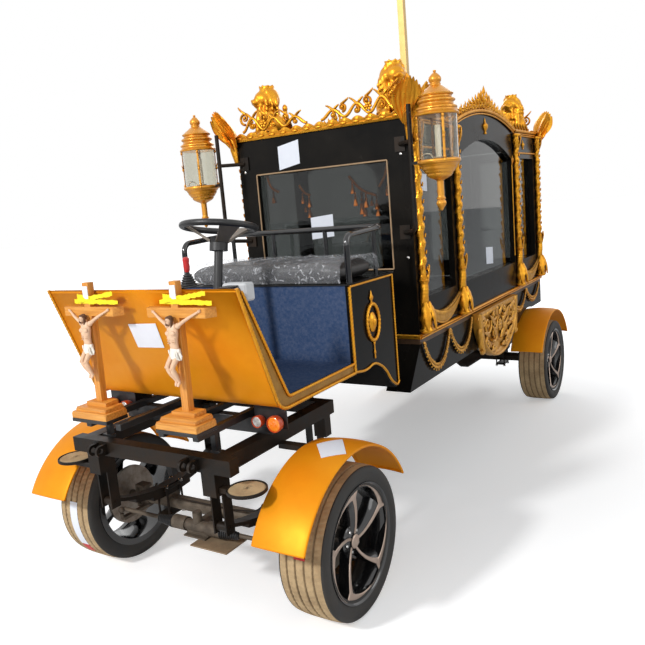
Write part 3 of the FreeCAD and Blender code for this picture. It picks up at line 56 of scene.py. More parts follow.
eye = Vector((1.9775, AXLE_Y - 2.1396, 1.6022))
ahead = Vector((-0.53007, 0.831, -0.16869))
rightward = Vector((0.84775, 0.52375, -0.08374))
upward = rightward.cross(ahead)
camera = bpy.data.objects.new("camera", bpy.data.cameras.new("camera"))
view.collection.objects.link(camera)
camera.matrix_world = Matrix((
    (rightward.x, upward.x, -ahead.x, eye.x),
    (rightward.y, upward.y, -ahead.y, eye.y),
    (rightward.z, upward.z, -ahead.z, eye.z),
    (0, 0, 0, 1),
))
camera.data.sensor_width = 36.0
camera.data.lens = 38.42
camera.data.clip_end = 60
view.camera = camera


# The stage: a pale floor that brightens with distance, a white surround and four
# lamps, the strongest before the vehicle, where the sun stands in the picture.
def fed(made, inputs):
    """Gives a node its inputs: each a plain value, or the other node's socket that feeds it."""
    for name, value in inputs.items():
        if isinstance(value, bpy.types.NodeSocket):
            made.id_data.links.new(value, made.inputs[name])
        else:
            made.inputs[name].default_value = value
    return made


def node(tree, kind, inputs=None, **settings):
    """A new shader node of a kind, with its settings and then its inputs."""
    made = tree.nodes.new("ShaderNode" + kind)
    for name, value in settings.items():
        setattr(made, name, value)
    return fed(made, inputs or {})


def new_material(name):
    """A fresh material with its node tree and its shader."""
    material = bpy.data.materials.new(name)
    material.use_nodes = True
    return material, material.node_tree, material.node_tree.nodes["Principled BSDF"]


def soft_lamp(name, spot, aim, width, watts):
    lamp = bpy.data.objects.new(name, bpy.data.lights.new(name, "AREA"))
    view.collection.objects.link(lamp)
    lamp.data.shape = "DISK"
    lamp.data.size = width
    lamp.data.energy = watts
    lamp.location = spot
    lamp.rotation_euler = (Vector(aim) - Vector(spot)).to_track_quat("-Z", "Y").to_euler()


soft_lamp("sun", (-1.6, -7.6, 4.9), (0.1, -0.2, 1.0), 0.8, 400)
soft_lamp("front_fill", (3.4, -6.0, 3.2), (0.0, -0.6, 0.8), 2.8, 40)
soft_lamp("side_fill", (5.4, 0.6, 3.4), (0.3, 0.6, 1.0), 3.0, 45)
soft_lamp("rear_fill", (-2.0, 5.4, 4.4), (0.0, 0.6, 1.2), 3.0, 60)

surround = bpy.data.worlds.new("surround")
view.world = surround
surround.use_nodes = True
sky = surround.node_tree
sky.nodes.clear()
rays = node(sky, "LightPath").outputs
seen_through = node(sky, "Math", {0: rays["Is Glossy Ray"], 1: rays["Is Transmission Ray"]}, operation="MAXIMUM")
seen = node(sky, "Math", {0: rays["Is Camera Ray"], 1: seen_through.outputs[0]}, operation="MAXIMUM")
light_level = node(sky, "Background", {"Color": (0.92, 0.96, 1.0, 1), "Strength": 0.38})
seen_level = node(sky, "Background", {"Color": (1, 1, 1, 1), "Strength": 1.0})
sky_mix = node(sky, "MixShader", {"Fac": seen.outputs[0], 1: light_level.outputs[0], 2: seen_level.outputs[0]})
node(sky, "OutputWorld", {"Surface": sky_mix.outputs[0]})

FLOOR_HALF = 60.0
FADE_START, FADE_END = 0.8, 4.6
NEAR_GLOW = 0.3
floor_mesh = bpy.data.meshes.new("floor")
floor_mesh.from_pydata(
    [(-FLOOR_HALF, -FLOOR_HALF, 0), (FLOOR_HALF, -FLOOR_HALF, 0),
     (FLOOR_HALF, FLOOR_HALF, 0), (-FLOOR_HALF, FLOOR_HALF, 0)], [], [(0, 1, 2, 3)])
floor = bpy.data.objects.new("floor", floor_mesh)
view.collection.objects.link(floor)
floor_finish, ground, floor_shader = new_material("pale_floor")
place = node(ground, "TexCoord")
away = node(ground, "VectorMath", {0: place.outputs["Object"]}, operation="LENGTH")
brighten = node(ground, "MapRange", {
    "Value": away.outputs["Value"], "From Min": FADE_START, "From Max": FADE_END, "To Min": NEAR_GLOW,
}, interpolation_type="SMOOTHSTEP")
sight = node(ground, "LightPath").outputs
direct = node(ground, "Math", {0: sight["Is Camera Ray"], 1: sight["Is Transmission Ray"]}, operation="MAXIMUM")
shown = node(ground, "Math", {0: brighten.outputs["Result"], 1: direct.outputs[0]}, operation="MULTIPLY")
fed(floor_shader, {"Base Color": (0.93, 0.93, 0.93, 1), "Roughness": 0.9, "Specular IOR Level": 0.1,
                   "Emission Color": (1, 1, 1, 1), "Emission Strength": shown.outputs[0]})
floor_mesh.materials.append(floor_finish)


# Tyres: low road tyres of black rubber, dusty brown on the tread, moulded with
# four grooves and slanting sipes. Each is seated on its rim and turns with it.
def sheet_faces(rows, cols, round_rows=False, round_cols=False):
    """Quads of a grid of rows x cols points; a round direction joins its last line to its first."""
    i = np.arange(rows if round_rows else rows - 1)[:, None]
    j = np.arange(cols if round_cols else cols - 1)[None, :]
    up, across = (i + 1) % rows, (j + 1) % cols
    quads = np.stack([i * cols + j, i * cols + across, up * cols + across, up * cols + j], -1)
    return quads.reshape(-1, 4)


def surface(points, round_rows=False, round_cols=False):
    """A grid of points (rows, cols, 3) as one shape: its vertices and its faces."""
    rows, cols = points.shape[:2]
    return points.reshape(-1, 3), [sheet_faces(rows, cols, round_rows, round_cols)]


def joined(*shapes):
    """Several shapes as one; each one's face numbers move past the vertices before it."""
    count, vertices, faces = 0, [], []
    for points, groups in shapes:
        faces += [group + count for group in groups]
        vertices.append(points)
        count += len(points)
    return np.concatenate(vertices), faces


def turned_about(axis, angle):
    """Matrix that turns row vectors by an angle about x, y or z, the right-hand way."""
    c, s = math.cos(angle), math.sin(angle)
    a, b = [(1, 2), (2, 0), (0, 1)]["xyz".index(axis)]
    matrix = np.eye(3)
    matrix[a, a] = matrix[b, b] = c
    matrix[a, b], matrix[b, a] = s, -s
    return matrix


def set_in(shape, matrix=None, at=(0, 0, 0)):
    """The shape turned by a matrix and then moved."""
    points, faces = shape
    if matrix is not None:
        points = points @ matrix
    return points + np.asarray(at, float), faces


def lathe(profile, steps, axis="z"):
    """A profile of (radius, height) turned about an axis: (r cos t, r sin t, h), ends closed by fans."""
    profile = np.asarray(profile, float)
    t = np.linspace(0, 2 * np.pi, steps, endpoint=False)
    r, h = profile[:, 0][:, None], profile[:, 1][:, None]
    points = np.stack([r * np.cos(t), r * np.sin(t), h + 0 * t], -1)
    if axis == "x":
        points = points[..., [2, 0, 1]]
    if axis == "y":
        points = points[..., [1, 2, 0]]
    return surface(points, round_cols=True)


def piece(name, shapes, finishes, body, nodes=(), crease=40, repair=True):
    """One mesh object of shapes or lists of shapes, with a finish for each, riding on a body of the frame."""
    if not isinstance(finishes, (list, tuple)):
        finishes, shapes = [finishes], [shapes]
    shapes = [joined(*shape) if isinstance(shape, list) else shape for shape in shapes]
    mesh = bpy.data.meshes.new(name)
    vertices, groups = joined(*shapes)
    marks = [np.full(sum(len(group) for group in shape[1]), number) for number, shape in enumerate(shapes)]
    sizes = np.concatenate([np.full(len(group), group.shape[1]) for group in groups])
    corners = np.concatenate([group.ravel() for group in groups])
    mesh.vertices.add(len(vertices))
    mesh.vertices.foreach_set("co", np.asarray(vertices, np.float32).ravel())
    mesh.loops.add(len(corners))
    mesh.loops.foreach_set("vertex_index", corners.astype(np.int32))
    mesh.polygons.add(len(sizes))
    mesh.polygons.foreach_set("loop_start", (np.cumsum(sizes) - sizes).astype(np.int32))
    mesh.polygons.foreach_set("material_index", np.concatenate(marks).astype(np.int32))
    mesh.update(calc_edges=True)
    for finish in finishes:
        mesh.materials.append(finish)
    if repair:
        build = bmesh.new()
        build.from_mesh(mesh)
        bmesh.ops.remove_doubles(build, verts=build.verts, dist=1e-6)
        bmesh.ops.dissolve_degenerate(build, edges=build.edges, dist=1e-7)
        bmesh.ops.recalc_face_normals(build, faces=build.faces)
        build.to_mesh(mesh)
        build.free()
    mesh.polygons.foreach_set("use_smooth", np.ones(len(mesh.polygons), bool))
    mesh.set_sharp_from_angle(angle=math.radians(crease))
    thing = bpy.data.objects.new(name, mesh)
    view.collection.objects.link(thing)
    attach(thing, body)
    if nodes:
        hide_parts(*nodes)
    return thing


def shader_group(name, inputs, outputs):
    """An empty shader node group with named sockets: (name, kind, value) each."""
    group = bpy.data.node_groups.new(name, "ShaderNodeTree")
    for label, kind, value in inputs:
        socket = group.interface.new_socket(label, in_out="INPUT", socket_type=kind)
        socket.default_value = value
    for label, kind in outputs:
        group.interface.new_socket(label, in_out="OUTPUT", socket_type=kind)
    return group, group.nodes.new("NodeGroupInput"), group.nodes.new("NodeGroupOutput")


def mottle_group():
    """Cloudy variation: a noise in Object space mixes one colour into another and shifts roughness."""
    group, given, result = shader_group("mottle", [
        ("Colour", "NodeSocketColor", (0.5, 0.5, 0.5, 1)), ("Other Colour", "NodeSocketColor", (0.2, 0.2, 0.2, 1)),
        ("Scale", "NodeSocketFloat", 6.0), ("Amount", "NodeSocketFloat", 0.5),
        ("Roughness", "NodeSocketFloat", 0.5), ("Roughness Spread", "NodeSocketFloat", 0.1),
    ], [("Colour", "NodeSocketColor"), ("Roughness", "NodeSocketFloat"), ("Cloud", "NodeSocketFloat")])
    place = node(group, "TexCoord")
    cloud = node(group, "TexNoise", {"Vector": place.outputs["Object"], "Scale": given.outputs["Scale"],
                                     "Detail": 6, "Roughness": 0.62})
    spread = node(group, "MapRange",
                  {"Value": cloud.outputs["Fac"], "From Min": 0.36, "From Max": 0.68}).outputs["Result"]
    share = node(group, "Math", {0: spread, 1: given.outputs["Amount"]}, operation="MULTIPLY")
    mix = node(group, "Mix", {"Factor": share.outputs[0], "A": given.outputs["Colour"],
                              "B": given.outputs["Other Colour"]}, data_type="RGBA")
    shift = node(group, "Math", {0: spread, 1: given.outputs["Roughness Spread"],
                                 2: given.outputs["Roughness"]}, operation="MULTIPLY_ADD")
    fed(result, {"Colour": mix.outputs["Result"], "Roughness": shift.outputs[0], "Cloud": spread})
    return group


def painted_hollow_shade_group():
    """Paints shade by depth: where ambient occlusion finds hollows, the colour turns to the darker shade colour."""
    group, given, result = shader_group("painted_hollow_shade", [
        ("Colour", "NodeSocketColor", (0.8, 0.5, 0.1, 1)),
        ("Shade Colour", "NodeSocketColor", (0.2, 0.08, 0.01, 1)), ("Reach", "NodeSocketFloat", 0.03),
        ("Amount", "NodeSocketFloat", 0.8),
    ], [("Colour", "NodeSocketColor"), ("Hollow", "NodeSocketFloat")])
    hollow_shade = node(group, "AmbientOcclusion", {"Distance": given.outputs["Reach"]}, samples=8)
    depth = node(group, "MapRange", {"Value": hollow_shade.outputs["AO"], "From Min": 0.25, "From Max": 0.9,
                                     "To Min": 1.0, "To Max": 0.0})
    share = node(group, "Math", {0: depth.outputs["Result"], 1: given.outputs["Amount"]}, operation="MULTIPLY")
    mix = node(group, "Mix", {"Factor": share.outputs[0], "A": given.outputs["Colour"],
                              "B": given.outputs["Shade Colour"]}, data_type="RGBA")
    fed(result, {"Colour": mix.outputs["Result"], "Hollow": share.outputs[0]})
    return group


mottle = mottle_group()
# Painted shade for hollows, shared by the gilt, the tread and the figure finishes.
painted_hollow_shade = painted_hollow_shade_group()


def finish(name, colour, other=None, scale=6.0, amount=0.5, rough=0.4, spread=0.1, metal=0.0,
           coat=0.0, bump=0.0, grain=180.0, hollow_shade=None, reach=0.03, deep=0.8, specular=0.5):
    """A material: mottled colour, optional painted shade in hollows, a coat and a fine grain as bump."""
    material, tree, shader = new_material(name)
    cloud = node(tree, "Group", node_tree=mottle)
    fed(cloud, {"Colour": (*colour, 1), "Other Colour": (*(other or colour), 1), "Scale": scale,
                "Amount": amount, "Roughness": rough, "Roughness Spread": spread})
    tint = cloud.outputs["Colour"]
    if hollow_shade:
        tint = node(tree, "Group", {"Colour": tint, "Shade Colour": (*hollow_shade, 1), "Reach": reach, "Amount": deep},
                    node_tree=painted_hollow_shade).outputs["Colour"]
    fed(shader, {"Base Color": tint, "Roughness": cloud.outputs["Roughness"], "Metallic": metal,
                 "Specular IOR Level": specular, "Coat Weight": coat, "Coat Roughness": 0.06})
    if bump:
        place = node(tree, "TexCoord")
        noise = node(tree, "TexNoise", {"Vector": place.outputs["Object"], "Scale": grain, "Detail": 4})
        lift = node(tree, "Bump", {"Strength": 1.0, "Distance": bump, "Height": noise.outputs["Fac"]})
        fed(shader, {"Normal": lift.outputs["Normal"]})
    return material


rubber = finish("tyre_rubber", (0.018, 0.017, 0.016), (0.05, 0.043, 0.036), scale=9, amount=0.7,
                rough=0.62, spread=0.2, bump=0.0006, grain=240)
# Dusty brown tread, with painted shade: near black where ambient occlusion finds the grooves and sipes.
tread_dust_and_hollow_shade = finish("tread_dust_and_hollow_shade", (0.52, 0.37, 0.2), (0.3, 0.2, 0.105), scale=14, amount=0.8,
                    rough=0.85, bump=0.0012, grain=160, hollow_shade=(0.03, 0.022, 0.015),
                    reach=0.02, deep=0.9)
TYRE_RADIUS = AXLE_Z
TYRE_HALF = (axle_high.x - axle_low.x) / 2
GROOVES = (-0.056, -0.019, 0.019, 0.056)
SIPES = 84


def tyre_shapes(centre_x, centre_y, centre_z):
    """Tyre as radius over (across, round): a flank profile, less grooves and slanting sipes on the crown."""
    half, top = TYRE_HALF, TYRE_RADIUS
    flank = np.array([
        (0.87, 0.7145), (0.885, 0.74), (0.915, 0.79), (0.975, 0.845), (0.998, 0.885),
        (0.99, 0.925), (0.962, 0.957), (0.945, 0.962), (0.925, 0.975), (0.89, 0.984),
    ]) * (half, top)
    steps = (-0.0055, -0.0013, 0.0013, 0.0055)
    crown_x = np.sort(np.concatenate([np.add.outer(GROOVES, steps).ravel(), np.linspace(-0.088, 0.088, 21)]))[::-1]
    crown_x = crown_x[np.append(np.diff(crown_x) < -0.0012, True)]
    crown_r = top - 0.0048 * (crown_x / 0.088) ** 4
    t = np.linspace(0, 2 * np.pi, 5 * SIPES, endpoint=False)
    slant = t[None, :] * SIPES / (2 * np.pi) + np.abs(crown_x[:, None]) * 16
    sipe = np.clip(1 - np.abs((slant % 1) - 0.5) * 5, 0, 1)
    groove = sum(np.clip(1.3 - np.abs(crown_x - spot) / 0.0042, 0, 1) for spot in GROOVES)[:, None]
    inside = np.abs(crown_x[:, None]) < 0.084
    radius = crown_r[:, None] - 0.0065 * np.clip(groove, 0, 1) - 0.0028 * sipe * inside * (groove < 0.1)
    crown = np.stack([crown_x[:, None] + 0 * t, radius * np.cos(t), radius * np.sin(t)], -1)
    coarse = t[::6]
    sides = []
    for sign in (1, -1):
        r = flank[:, 1:]
        wall = np.stack([flank[:, :1] * sign + 0 * coarse, r * np.cos(coarse), r * np.sin(coarse)], -1)
        sides.append(surface(wall, round_cols=True))
        edge_x, edge_r = np.array([0.89 * half, 0.088])[:, None], np.array([0.984 * top, top - 0.0048])[:, None]
        edge = np.stack([edge_x * sign + 0 * t, edge_r * np.cos(t), edge_r * np.sin(t)], -1)
        sides.append(surface(edge, round_cols=True))
    spot = (centre_x, centre_y, centre_z)
    return [set_in(joined(*sides), at=spot), set_in(surface(crown, round_cols=True), at=spot)]


for axle in ("front", "rear"):
    for side in ("left", "right"):
        low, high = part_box(f"tyre_{axle}_{side}")
        middle = (low + high) / 2
        piece(f"tyre_{axle}_{side}_tread", tyre_shapes(*middle), [rubber, tread_dust_and_hollow_shade],
              f"wheel_{axle}_{side}", [f"tyre_{axle}_{side}"])


# Wheels: cast alloy, gloss black. Each of the five thin blades ends in a band that
# sweeps along the lip to the next; blades and bands have bare turned faces.
gloss_black = finish("wheel_black", (0.006, 0.006, 0.007), (0.02, 0.018, 0.016), scale=20, amount=0.4,
                     rough=0.12, spread=0.12, coat=0.8)
turned_face = finish("turned_face", (0.56, 0.43, 0.35), (0.4, 0.3, 0.24), scale=30,
                     rough=0.3, spread=0.14, metal=0.7, bump=0.0002, grain=600)
disc_steel = finish("brake_steel", (0.33, 0.29, 0.25), (0.16, 0.1, 0.06), scale=24, amount=0.6, spread=0.2,
                    metal=0.9)
bright_steel = finish("bright_steel", (0.75, 0.74, 0.72), (0.5, 0.5, 0.5), scale=40, amount=0.3,
                      rough=0.18, metal=1.0)
RIM_HALF = 0.098
LIP_RADIUS = 0.234
SPOKES = 5


def ribbon(left, right, top, deep, bevel=0.0025):
    """A flat bar between two edge lines in the wheel's plane: its bare face, and its sides below it."""
    left, right = np.asarray(left, float), np.asarray(right, float)
    top = np.broadcast_to(top, len(left)).astype(float)
    inset = (right - left) * np.minimum(0.12, bevel / np.linalg.norm(right - left, axis=1).clip(1e-4))[:, None]
    rows = [(left, top - bevel), (left + inset, top), (right - inset, top), (right, top - bevel)]
    face = np.stack([np.column_stack([x, line]) for line, x in rows], 1)
    low = [(left, top - bevel), (left - inset, top - deep), (right + inset, top - deep), (right, top - bevel)]
    sides = np.stack([np.column_stack([x, line]) for line, x in low], 1)
    return surface(face), surface(sides)


def polar(radius, angle):
    return np.stack([radius * np.cos(angle), radius * np.sin(angle)], -1)


def rim_shapes(flip, centre):
    """Turned barrel and hub; a blade's middle line is an angle over radius, its band a radius over angle."""
    barrel = [
        (0.205, -0.098), (LIP_RADIUS, -0.098), (LIP_RADIUS, -0.09), (0.2145, -0.089), (0.212, -0.05),
        (0.2145, 0.084), (0.2315, 0.09), (LIP_RADIUS + 0.0015, 0.0935), (LIP_RADIUS, RIM_HALF),
        (0.2318, RIM_HALF - 0.001), (0.2265, 0.0925), (0.214, 0.08), (0.206, 0.06), (0.203, -0.02), (0.205, -0.098),
    ]
    hub = [
        (0.028, 0.062), (0.0285, 0.054), (0.036, 0.05), (0.05, 0.046), (0.058, 0.04), (0.06, 0.02),
        (0.056, 0.0), (0.0, 0.0),
    ]
    cap = [(0.0, 0.066), (0.004, 0.066), (0.0045, 0.0668), (0.024, 0.0662), (0.0275, 0.0635), (0.028, 0.058),
           (0.0, 0.058)]
    black = [lathe(barrel, 96, "x"), lathe(hub, 60, "x")]
    bare = [lathe(cap, 40, "x")]
    bright = []
    for spoke in range(SPOKES):
        tip = math.radians(88) - spoke * 2 * math.pi / SPOKES
        s = np.linspace(0, 1, 16)
        r = 0.03 + 0.158 * s
        bend = np.interp(r, [0.03, 0.09, 0.15, 0.188], np.radians([-15, -5, 3, 7.5]))
        half = np.interp(r, [0.03, 0.09, 0.15, 0.188], [0.006, 0.0066, 0.0088, 0.013])
        height = 0.06 + 0.026 * s
        left, right = polar(r, tip + bend + half / r), polar(r, tip + bend - half / r)
        point_r = np.linspace(0.188, 0.2325, 7)
        point_left = tip + np.linspace(bend[-1] + half[-1] / r[-1], math.radians(1.2), 7)
        point_right = tip + np.linspace(bend[-1] - half[-1] / r[-1], math.radians(-0.8), 7)
        left = np.concatenate([left, polar(point_r, point_left)[1:]])
        right = np.concatenate([right, polar(point_r, point_right)[1:]])
        height = np.concatenate([height, np.linspace(0.086, 0.0915, 7)[1:]])
        face, sides = ribbon(left, right, height, 0.045)
        bare.append(face)
        black.append(sides)
        flank = np.stack([
            np.column_stack([height - 0.004, left]),
            np.column_stack([height - 0.012, left + (left - right) * 0.6]),
            np.column_stack([height - 0.034, left + (left - right) * 1.25]),
            np.column_stack([height - 0.062, left + (left - right) * 1.3]),
        ], 1)
        black.append(surface(flank[:16]))
        sweep = np.linspace(0, 1, 22)
        inner_r = 0.186 + 0.038 * sweep ** 0.75
        inner_t = math.radians(10.5) + (math.radians(71) - math.radians(10.5)) * sweep
        outer_t = math.radians(2.6) + (math.radians(72.6) - math.radians(2.6)) * sweep
        face, sides = ribbon(polar(np.full(22, 0.2328), tip + outer_t), polar(inner_r, tip + inner_t),
                             0.0865 + 0.005 * sweep, 0.03)
        bare.append(face)
        black.append(sides)
        bolt = tip + math.radians(24)
        head = lathe([(0.0, 0.014), (0.006, 0.014), (0.0085, 0.01), (0.0085, 0.0), (0.0, 0.0)], 6, "x")
        bright.append(set_in(head, at=(0.04, 0.044 * math.cos(bolt), 0.044 * math.sin(bolt))))
    disc = [(0.0, -0.04), (0.05, -0.04), (0.052, -0.032), (0.074, -0.032), (0.076, -0.04),
            (0.138, -0.04), (0.138, -0.054), (0.0, -0.054)]
    steel = [lathe(disc, 64, "x"), lathe([(0.0, 0.0), (0.05, 0.0), (0.05, -0.04), (0.0, -0.04)], 32, "x")]
    matrix = turned_about("z", math.pi) if flip else None
    return [set_in(joined(*shapes), matrix, centre) for shapes in (black, bare, steel, bright)]


for axle in ("front", "rear"):
    for side in ("left", "right"):
        low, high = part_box(f"tyre_{axle}_{side}")
        piece(f"rim_{axle}_{side}_cast", rim_shapes(side == "right", (low + high) / 2),
              [gloss_black, turned_face, disc_steel, bright_steel], f"wheel_{axle}_{side}",
              [f"rim_{axle}_{side}"], crease=30)


# Chassis: welded square tube, painted black, with a film of dust, and the springs painted
# the same; the front axle and steering gear are bare brown-grey steel, and the battery stands in a black tray.
frame_paint = finish("frame_paint", (0.0065, 0.0055, 0.0045), (0.034, 0.018, 0.008), scale=7, amount=0.7,
                     rough=0.36, spread=0.25, specular=0.2, bump=0.0004, grain=90)
dusty_steel = finish("dusty_steel", (0.16, 0.125, 0.09), (0.055, 0.042, 0.032), scale=12, amount=0.85,
                     rough=0.55, spread=0.25, metal=0.45, bump=0.0006, grain=120)
trim_black = finish("trim_black", (0.014, 0.014, 0.015), (0.03, 0.029, 0.028), scale=16,
                    rough=0.3, spread=0.15, bump=0.0003, grain=260)


def dressed(material, *names):
    """Gives parts of the frame's own a procedural finish."""
    for name in names:
        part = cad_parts[name]
        part.data.materials.clear()
        part.data.materials.append(material)
        for polygon in part.data.polygons:
            polygon.material_index = 0


dressed(frame_paint, "chassis_frame", "battery_box", "rear_axle", "lantern_brackets", "leaf_springs")
dressed(dusty_steel, "front_axle", "rack_housing", "tie_rods", "knuckle_left", "knuckle_right")
dressed(trim_black, "steering_column")


# Mudguards: pressed sheet in orange-gold lacquer with rolled edges. Each hangs on
# its bracket from the frame, with a dark screw near each lower corner.
gold_paint = finish("gold_paint", (0.86, 0.33, 0.008), (0.76, 0.23, 0.004), scale=2.6, amount=0.8,
                    rough=0.42, metal=0.3, specular=0.15)
screw_dark = finish("screw_dark", (0.03, 0.025, 0.02), (0.08, 0.06, 0.04), scale=80,
                    rough=0.45, metal=0.6)


def bounds_of(name):
    """The two corners of a frame piece's box."""
    low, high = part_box(name)
    return np.array(low), np.array(high)


GUARD_RADIUS = 0.452
GUARD_CENTRE_Z = 0.245
GUARD_END_Z = 0.458
GUARD_BACK = 0.026
GUARD_IN = 0.502
GUARD_OUT = 0.728
GUARD_LIP = 0.011
HANGER_X = (0.3855, 0.6)
HANGER_Z = (0.662, 0.682)
HANGER_HALF = 0.02


def guard_shapes(side, middle_y):
    """Section across the sheet, crowned a little, with a rolled lip at each edge, swept round an arc."""
    reach = math.acos((GUARD_END_Z - GUARD_CENTRE_Z) / GUARD_RADIUS)
    lip = GUARD_LIP / 2
    across = np.linspace(GUARD_IN + lip, GUARD_OUT - lip, 15)
    crown = 0.01 * (1 - ((across - (GUARD_IN + GUARD_OUT) / 2) / ((GUARD_OUT - GUARD_IN) / 2)) ** 2)
    top = np.stack([across, GUARD_RADIUS - 0.01 + crown], -1)
    turn = np.linspace(0, 1.5 * np.pi, 9)[1:]
    out_lip = np.stack([GUARD_OUT - lip + lip * np.sin(turn), top[-1, 1] - lip + lip * np.cos(turn)], -1)
    in_lip = np.stack([GUARD_IN + lip - lip * np.sin(turn), top[0, 1] - lip + lip * np.cos(turn)], -1)[::-1]
    under = np.stack([across[::-1], GUARD_RADIUS - 0.0145 + crown[::-1]], -1)
    loop = np.concatenate([in_lip, top, out_lip, under])
    t = np.linspace(-reach, reach, 61)
    body = np.stack([
        np.broadcast_to(loop[:, 0][:, None], (len(loop), 61)) * side,
        loop[:, 1][:, None] * np.sin(t) + middle_y,
        loop[:, 1][:, None] * np.cos(t) + GUARD_CENTRE_Z,
    ], -1)
    shapes = [surface(body, round_rows=True)]
    for end in (0, -1):
        rolled = np.concatenate([in_lip[-1:], top, out_lip[:1]])
        centre_r = rolled[:, 1] - lip
        cap_t = np.linspace(0, 2 * np.pi, 9)
        ring_y = centre_r[:, None] * math.sin(t[end]) + lip * np.sin(cap_t) + middle_y
        ring_z = centre_r[:, None] * math.cos(t[end]) + lip * np.cos(cap_t) + GUARD_CENTRE_Z
        ring_x = np.broadcast_to(rolled[:, 0][:, None], ring_y.shape) * side
        shapes.append(surface(np.stack([ring_x, ring_y, ring_z], -1)))
    screws = []
    for x in (GUARD_IN + 0.035, GUARD_OUT - 0.035):
        for sign in (-1, 1):
            angle = sign * (reach - 0.055)
            head = lathe([(0.0, 0.0035), (0.003, 0.003), (0.0045, 0.0), (0.0, -0.001)], 12)
            turn_in = turned_about("x", -angle)
            rise = GUARD_RADIUS - 0.0085
            screws.append(set_in(head, turn_in, (x * side, rise * math.sin(angle) + middle_y,
                                                 rise * math.cos(angle) + GUARD_CENTRE_Z)))
    return joined(*shapes), joined(*screws)


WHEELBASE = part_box("tyre_rear_left")[0].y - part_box("tyre_front_left")[0].y


def slab(low, high):
    """A box between two corners."""
    (x0, y0, z0), (x1, y1, z1) = low, high
    points = np.array([(x, y, z) for x in (x0, x1) for y in (y0, y1) for z in (z0, z1)], float)
    return points, [np.array([(0, 1, 3, 2), (4, 6, 7, 5), (0, 4, 5, 1), (2, 3, 7, 6), (0, 2, 6, 4), (1, 5, 7, 3)])]


sheets, screws, hangers = [], [], []
for axle_y in (AXLE_Y, AXLE_Y + WHEELBASE):
    for side in (1, -1):
        middle = axle_y - GUARD_BACK
        sheet_part, screw_part = guard_shapes(side, middle)
        sheets.append(sheet_part)
        screws.append(screw_part)
        ends = sorted(side * x for x in HANGER_X)
        hangers.append(slab((ends[0], middle - HANGER_HALF, HANGER_Z[0]),
                            (ends[1], middle + HANGER_HALF, HANGER_Z[1])))
piece("mudguard_sheets", [sheets, screws, hangers],
      [gold_paint, screw_dark, frame_paint], "chassis", ["mudguards"], crease=50)


# Tub: the driver's open shell. Its dash and floor edge are orange-gold lacquer, the
# sides black lacquer, and the inside is lined with short blue carpet glued down.
black_lacquer = finish("black_lacquer", (0.0065, 0.006, 0.0055), (0.016, 0.013, 0.01), scale=5, amount=0.6,
                       rough=0.16, spread=0.12, specular=0.1)
blue_carpet = finish("blue_carpet", (0.035, 0.068, 0.155), (0.085, 0.115, 0.2), scale=70, amount=0.9,
                     rough=0.95, spread=0.03, bump=0.002, grain=420, specular=0.1)
edge_gold = finish("edge_gold", (0.4, 0.2, 0.022), (0.25, 0.11, 0.01), scale=20, amount=0.6, spread=0.15, metal=0.5,
                   coat=0.2)
DASH_TOP = (-0.34, 1.346)
DASH_FOOT = (-0.158, 0.86)
DASH_BACK_TOP = (-0.316, 1.343)
DASH_BACK_FOOT = (-0.098, 0.9)
FLOOR_REAR = 0.408
FLOOR_LOW = 0.862
TUB_HALF = (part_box("dash_panel")[1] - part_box("dash_panel")[0]).x / 2


def rounded(corners, radii, steps=8):
    """A line through corners, each one cut by a curve of its radius: (1-t)^2 a + 2t(1-t) b + t^2 c."""
    corners = [np.asarray(c, float) for c in corners]
    line = [corners[0]]
    for before, corner, after, radius in zip(corners, corners[1:], corners[2:], radii):
        near, far = before - corner, after - corner
        reach = min(radius, 0.49 * np.linalg.norm(near), 0.49 * np.linalg.norm(far))
        start = corner + near / np.linalg.norm(near) * reach
        end = corner + far / np.linalg.norm(far) * reach
        for t in np.linspace(0, 1, steps):
            line.append((1 - t) ** 2 * start + 2 * t * (1 - t) * corner + t * t * end)
    line.append(corners[-1])
    return np.array(line)


def evenly(line, gap):
    """The same line with points at an even gap, found by its length."""
    length = np.concatenate([[0], np.cumsum(np.linalg.norm(np.diff(line, axis=0), axis=1))])
    marks = np.linspace(0, length[-1], max(2, int(round(length[-1] / gap)) + 1))
    return np.stack([np.interp(marks, length, line[:, axis]) for axis in range(line.shape[1])], -1), marks


def frames_along(line):
    """Unit directions along a line and two across it, carried from point to point without twisting."""
    ahead = np.gradient(line, axis=0)
    ahead /= np.linalg.norm(ahead, axis=1)[:, None]
    side = np.cross(ahead[0], (0.0, 0.0, 1.0))
    if np.linalg.norm(side) < 0.2:
        side = np.cross(ahead[0], (1.0, 0.0, 0.0))
    across = np.empty_like(line)
    for number, direction in enumerate(ahead):
        side = side - direction * (side @ direction)
        side /= np.linalg.norm(side)
        across[number] = side
    return ahead, across, np.cross(ahead, across)


def tube_along(line, radius, around=12, caps=True):
    """A tube round a line; the radius is a number, one per point, or a table over (point, angle)."""
    ahead, across, upright = frames_along(line)
    t = np.linspace(0, 2 * np.pi, around, endpoint=False)
    radius = np.asarray(radius, float)
    if radius.ndim < 2:
        radius = np.broadcast_to(radius.reshape(-1, 1), (len(line), around))
    points = line[:, None] + radius[..., None] * (
        np.cos(t)[:, None] * across[:, None] + np.sin(t)[:, None] * upright[:, None])
    shape = surface(points, round_cols=True)
    if not caps:
        return shape
    ends = []
    for row in (points[0], points[-1]):
        middle = row.mean(0)
        ends.append(surface(np.stack([row, row * 0 + middle]), round_cols=True))
    return joined(shape, *ends)


def rope_along(corners, radii, radius, pitch, around=9):
    """Carved rope: a tube whose two lobes turn once in two pitches, r (0.72 + 0.28 |cos(a - pi s / pitch)|^0.7)."""
    line, marks = evenly(rounded(corners, radii), pitch / 5)
    t = np.linspace(0, 2 * np.pi, around, endpoint=False)
    lobes = np.abs(np.cos(t[None, :] - np.pi * marks[:, None] / pitch)) ** 0.7
    return tube_along(line, radius * (0.72 + 0.28 * lobes), around)


def cal(x, y, z):
    """A point whose second distance is counted from the front axle."""
    return (x, y + AXLE_Y, z)
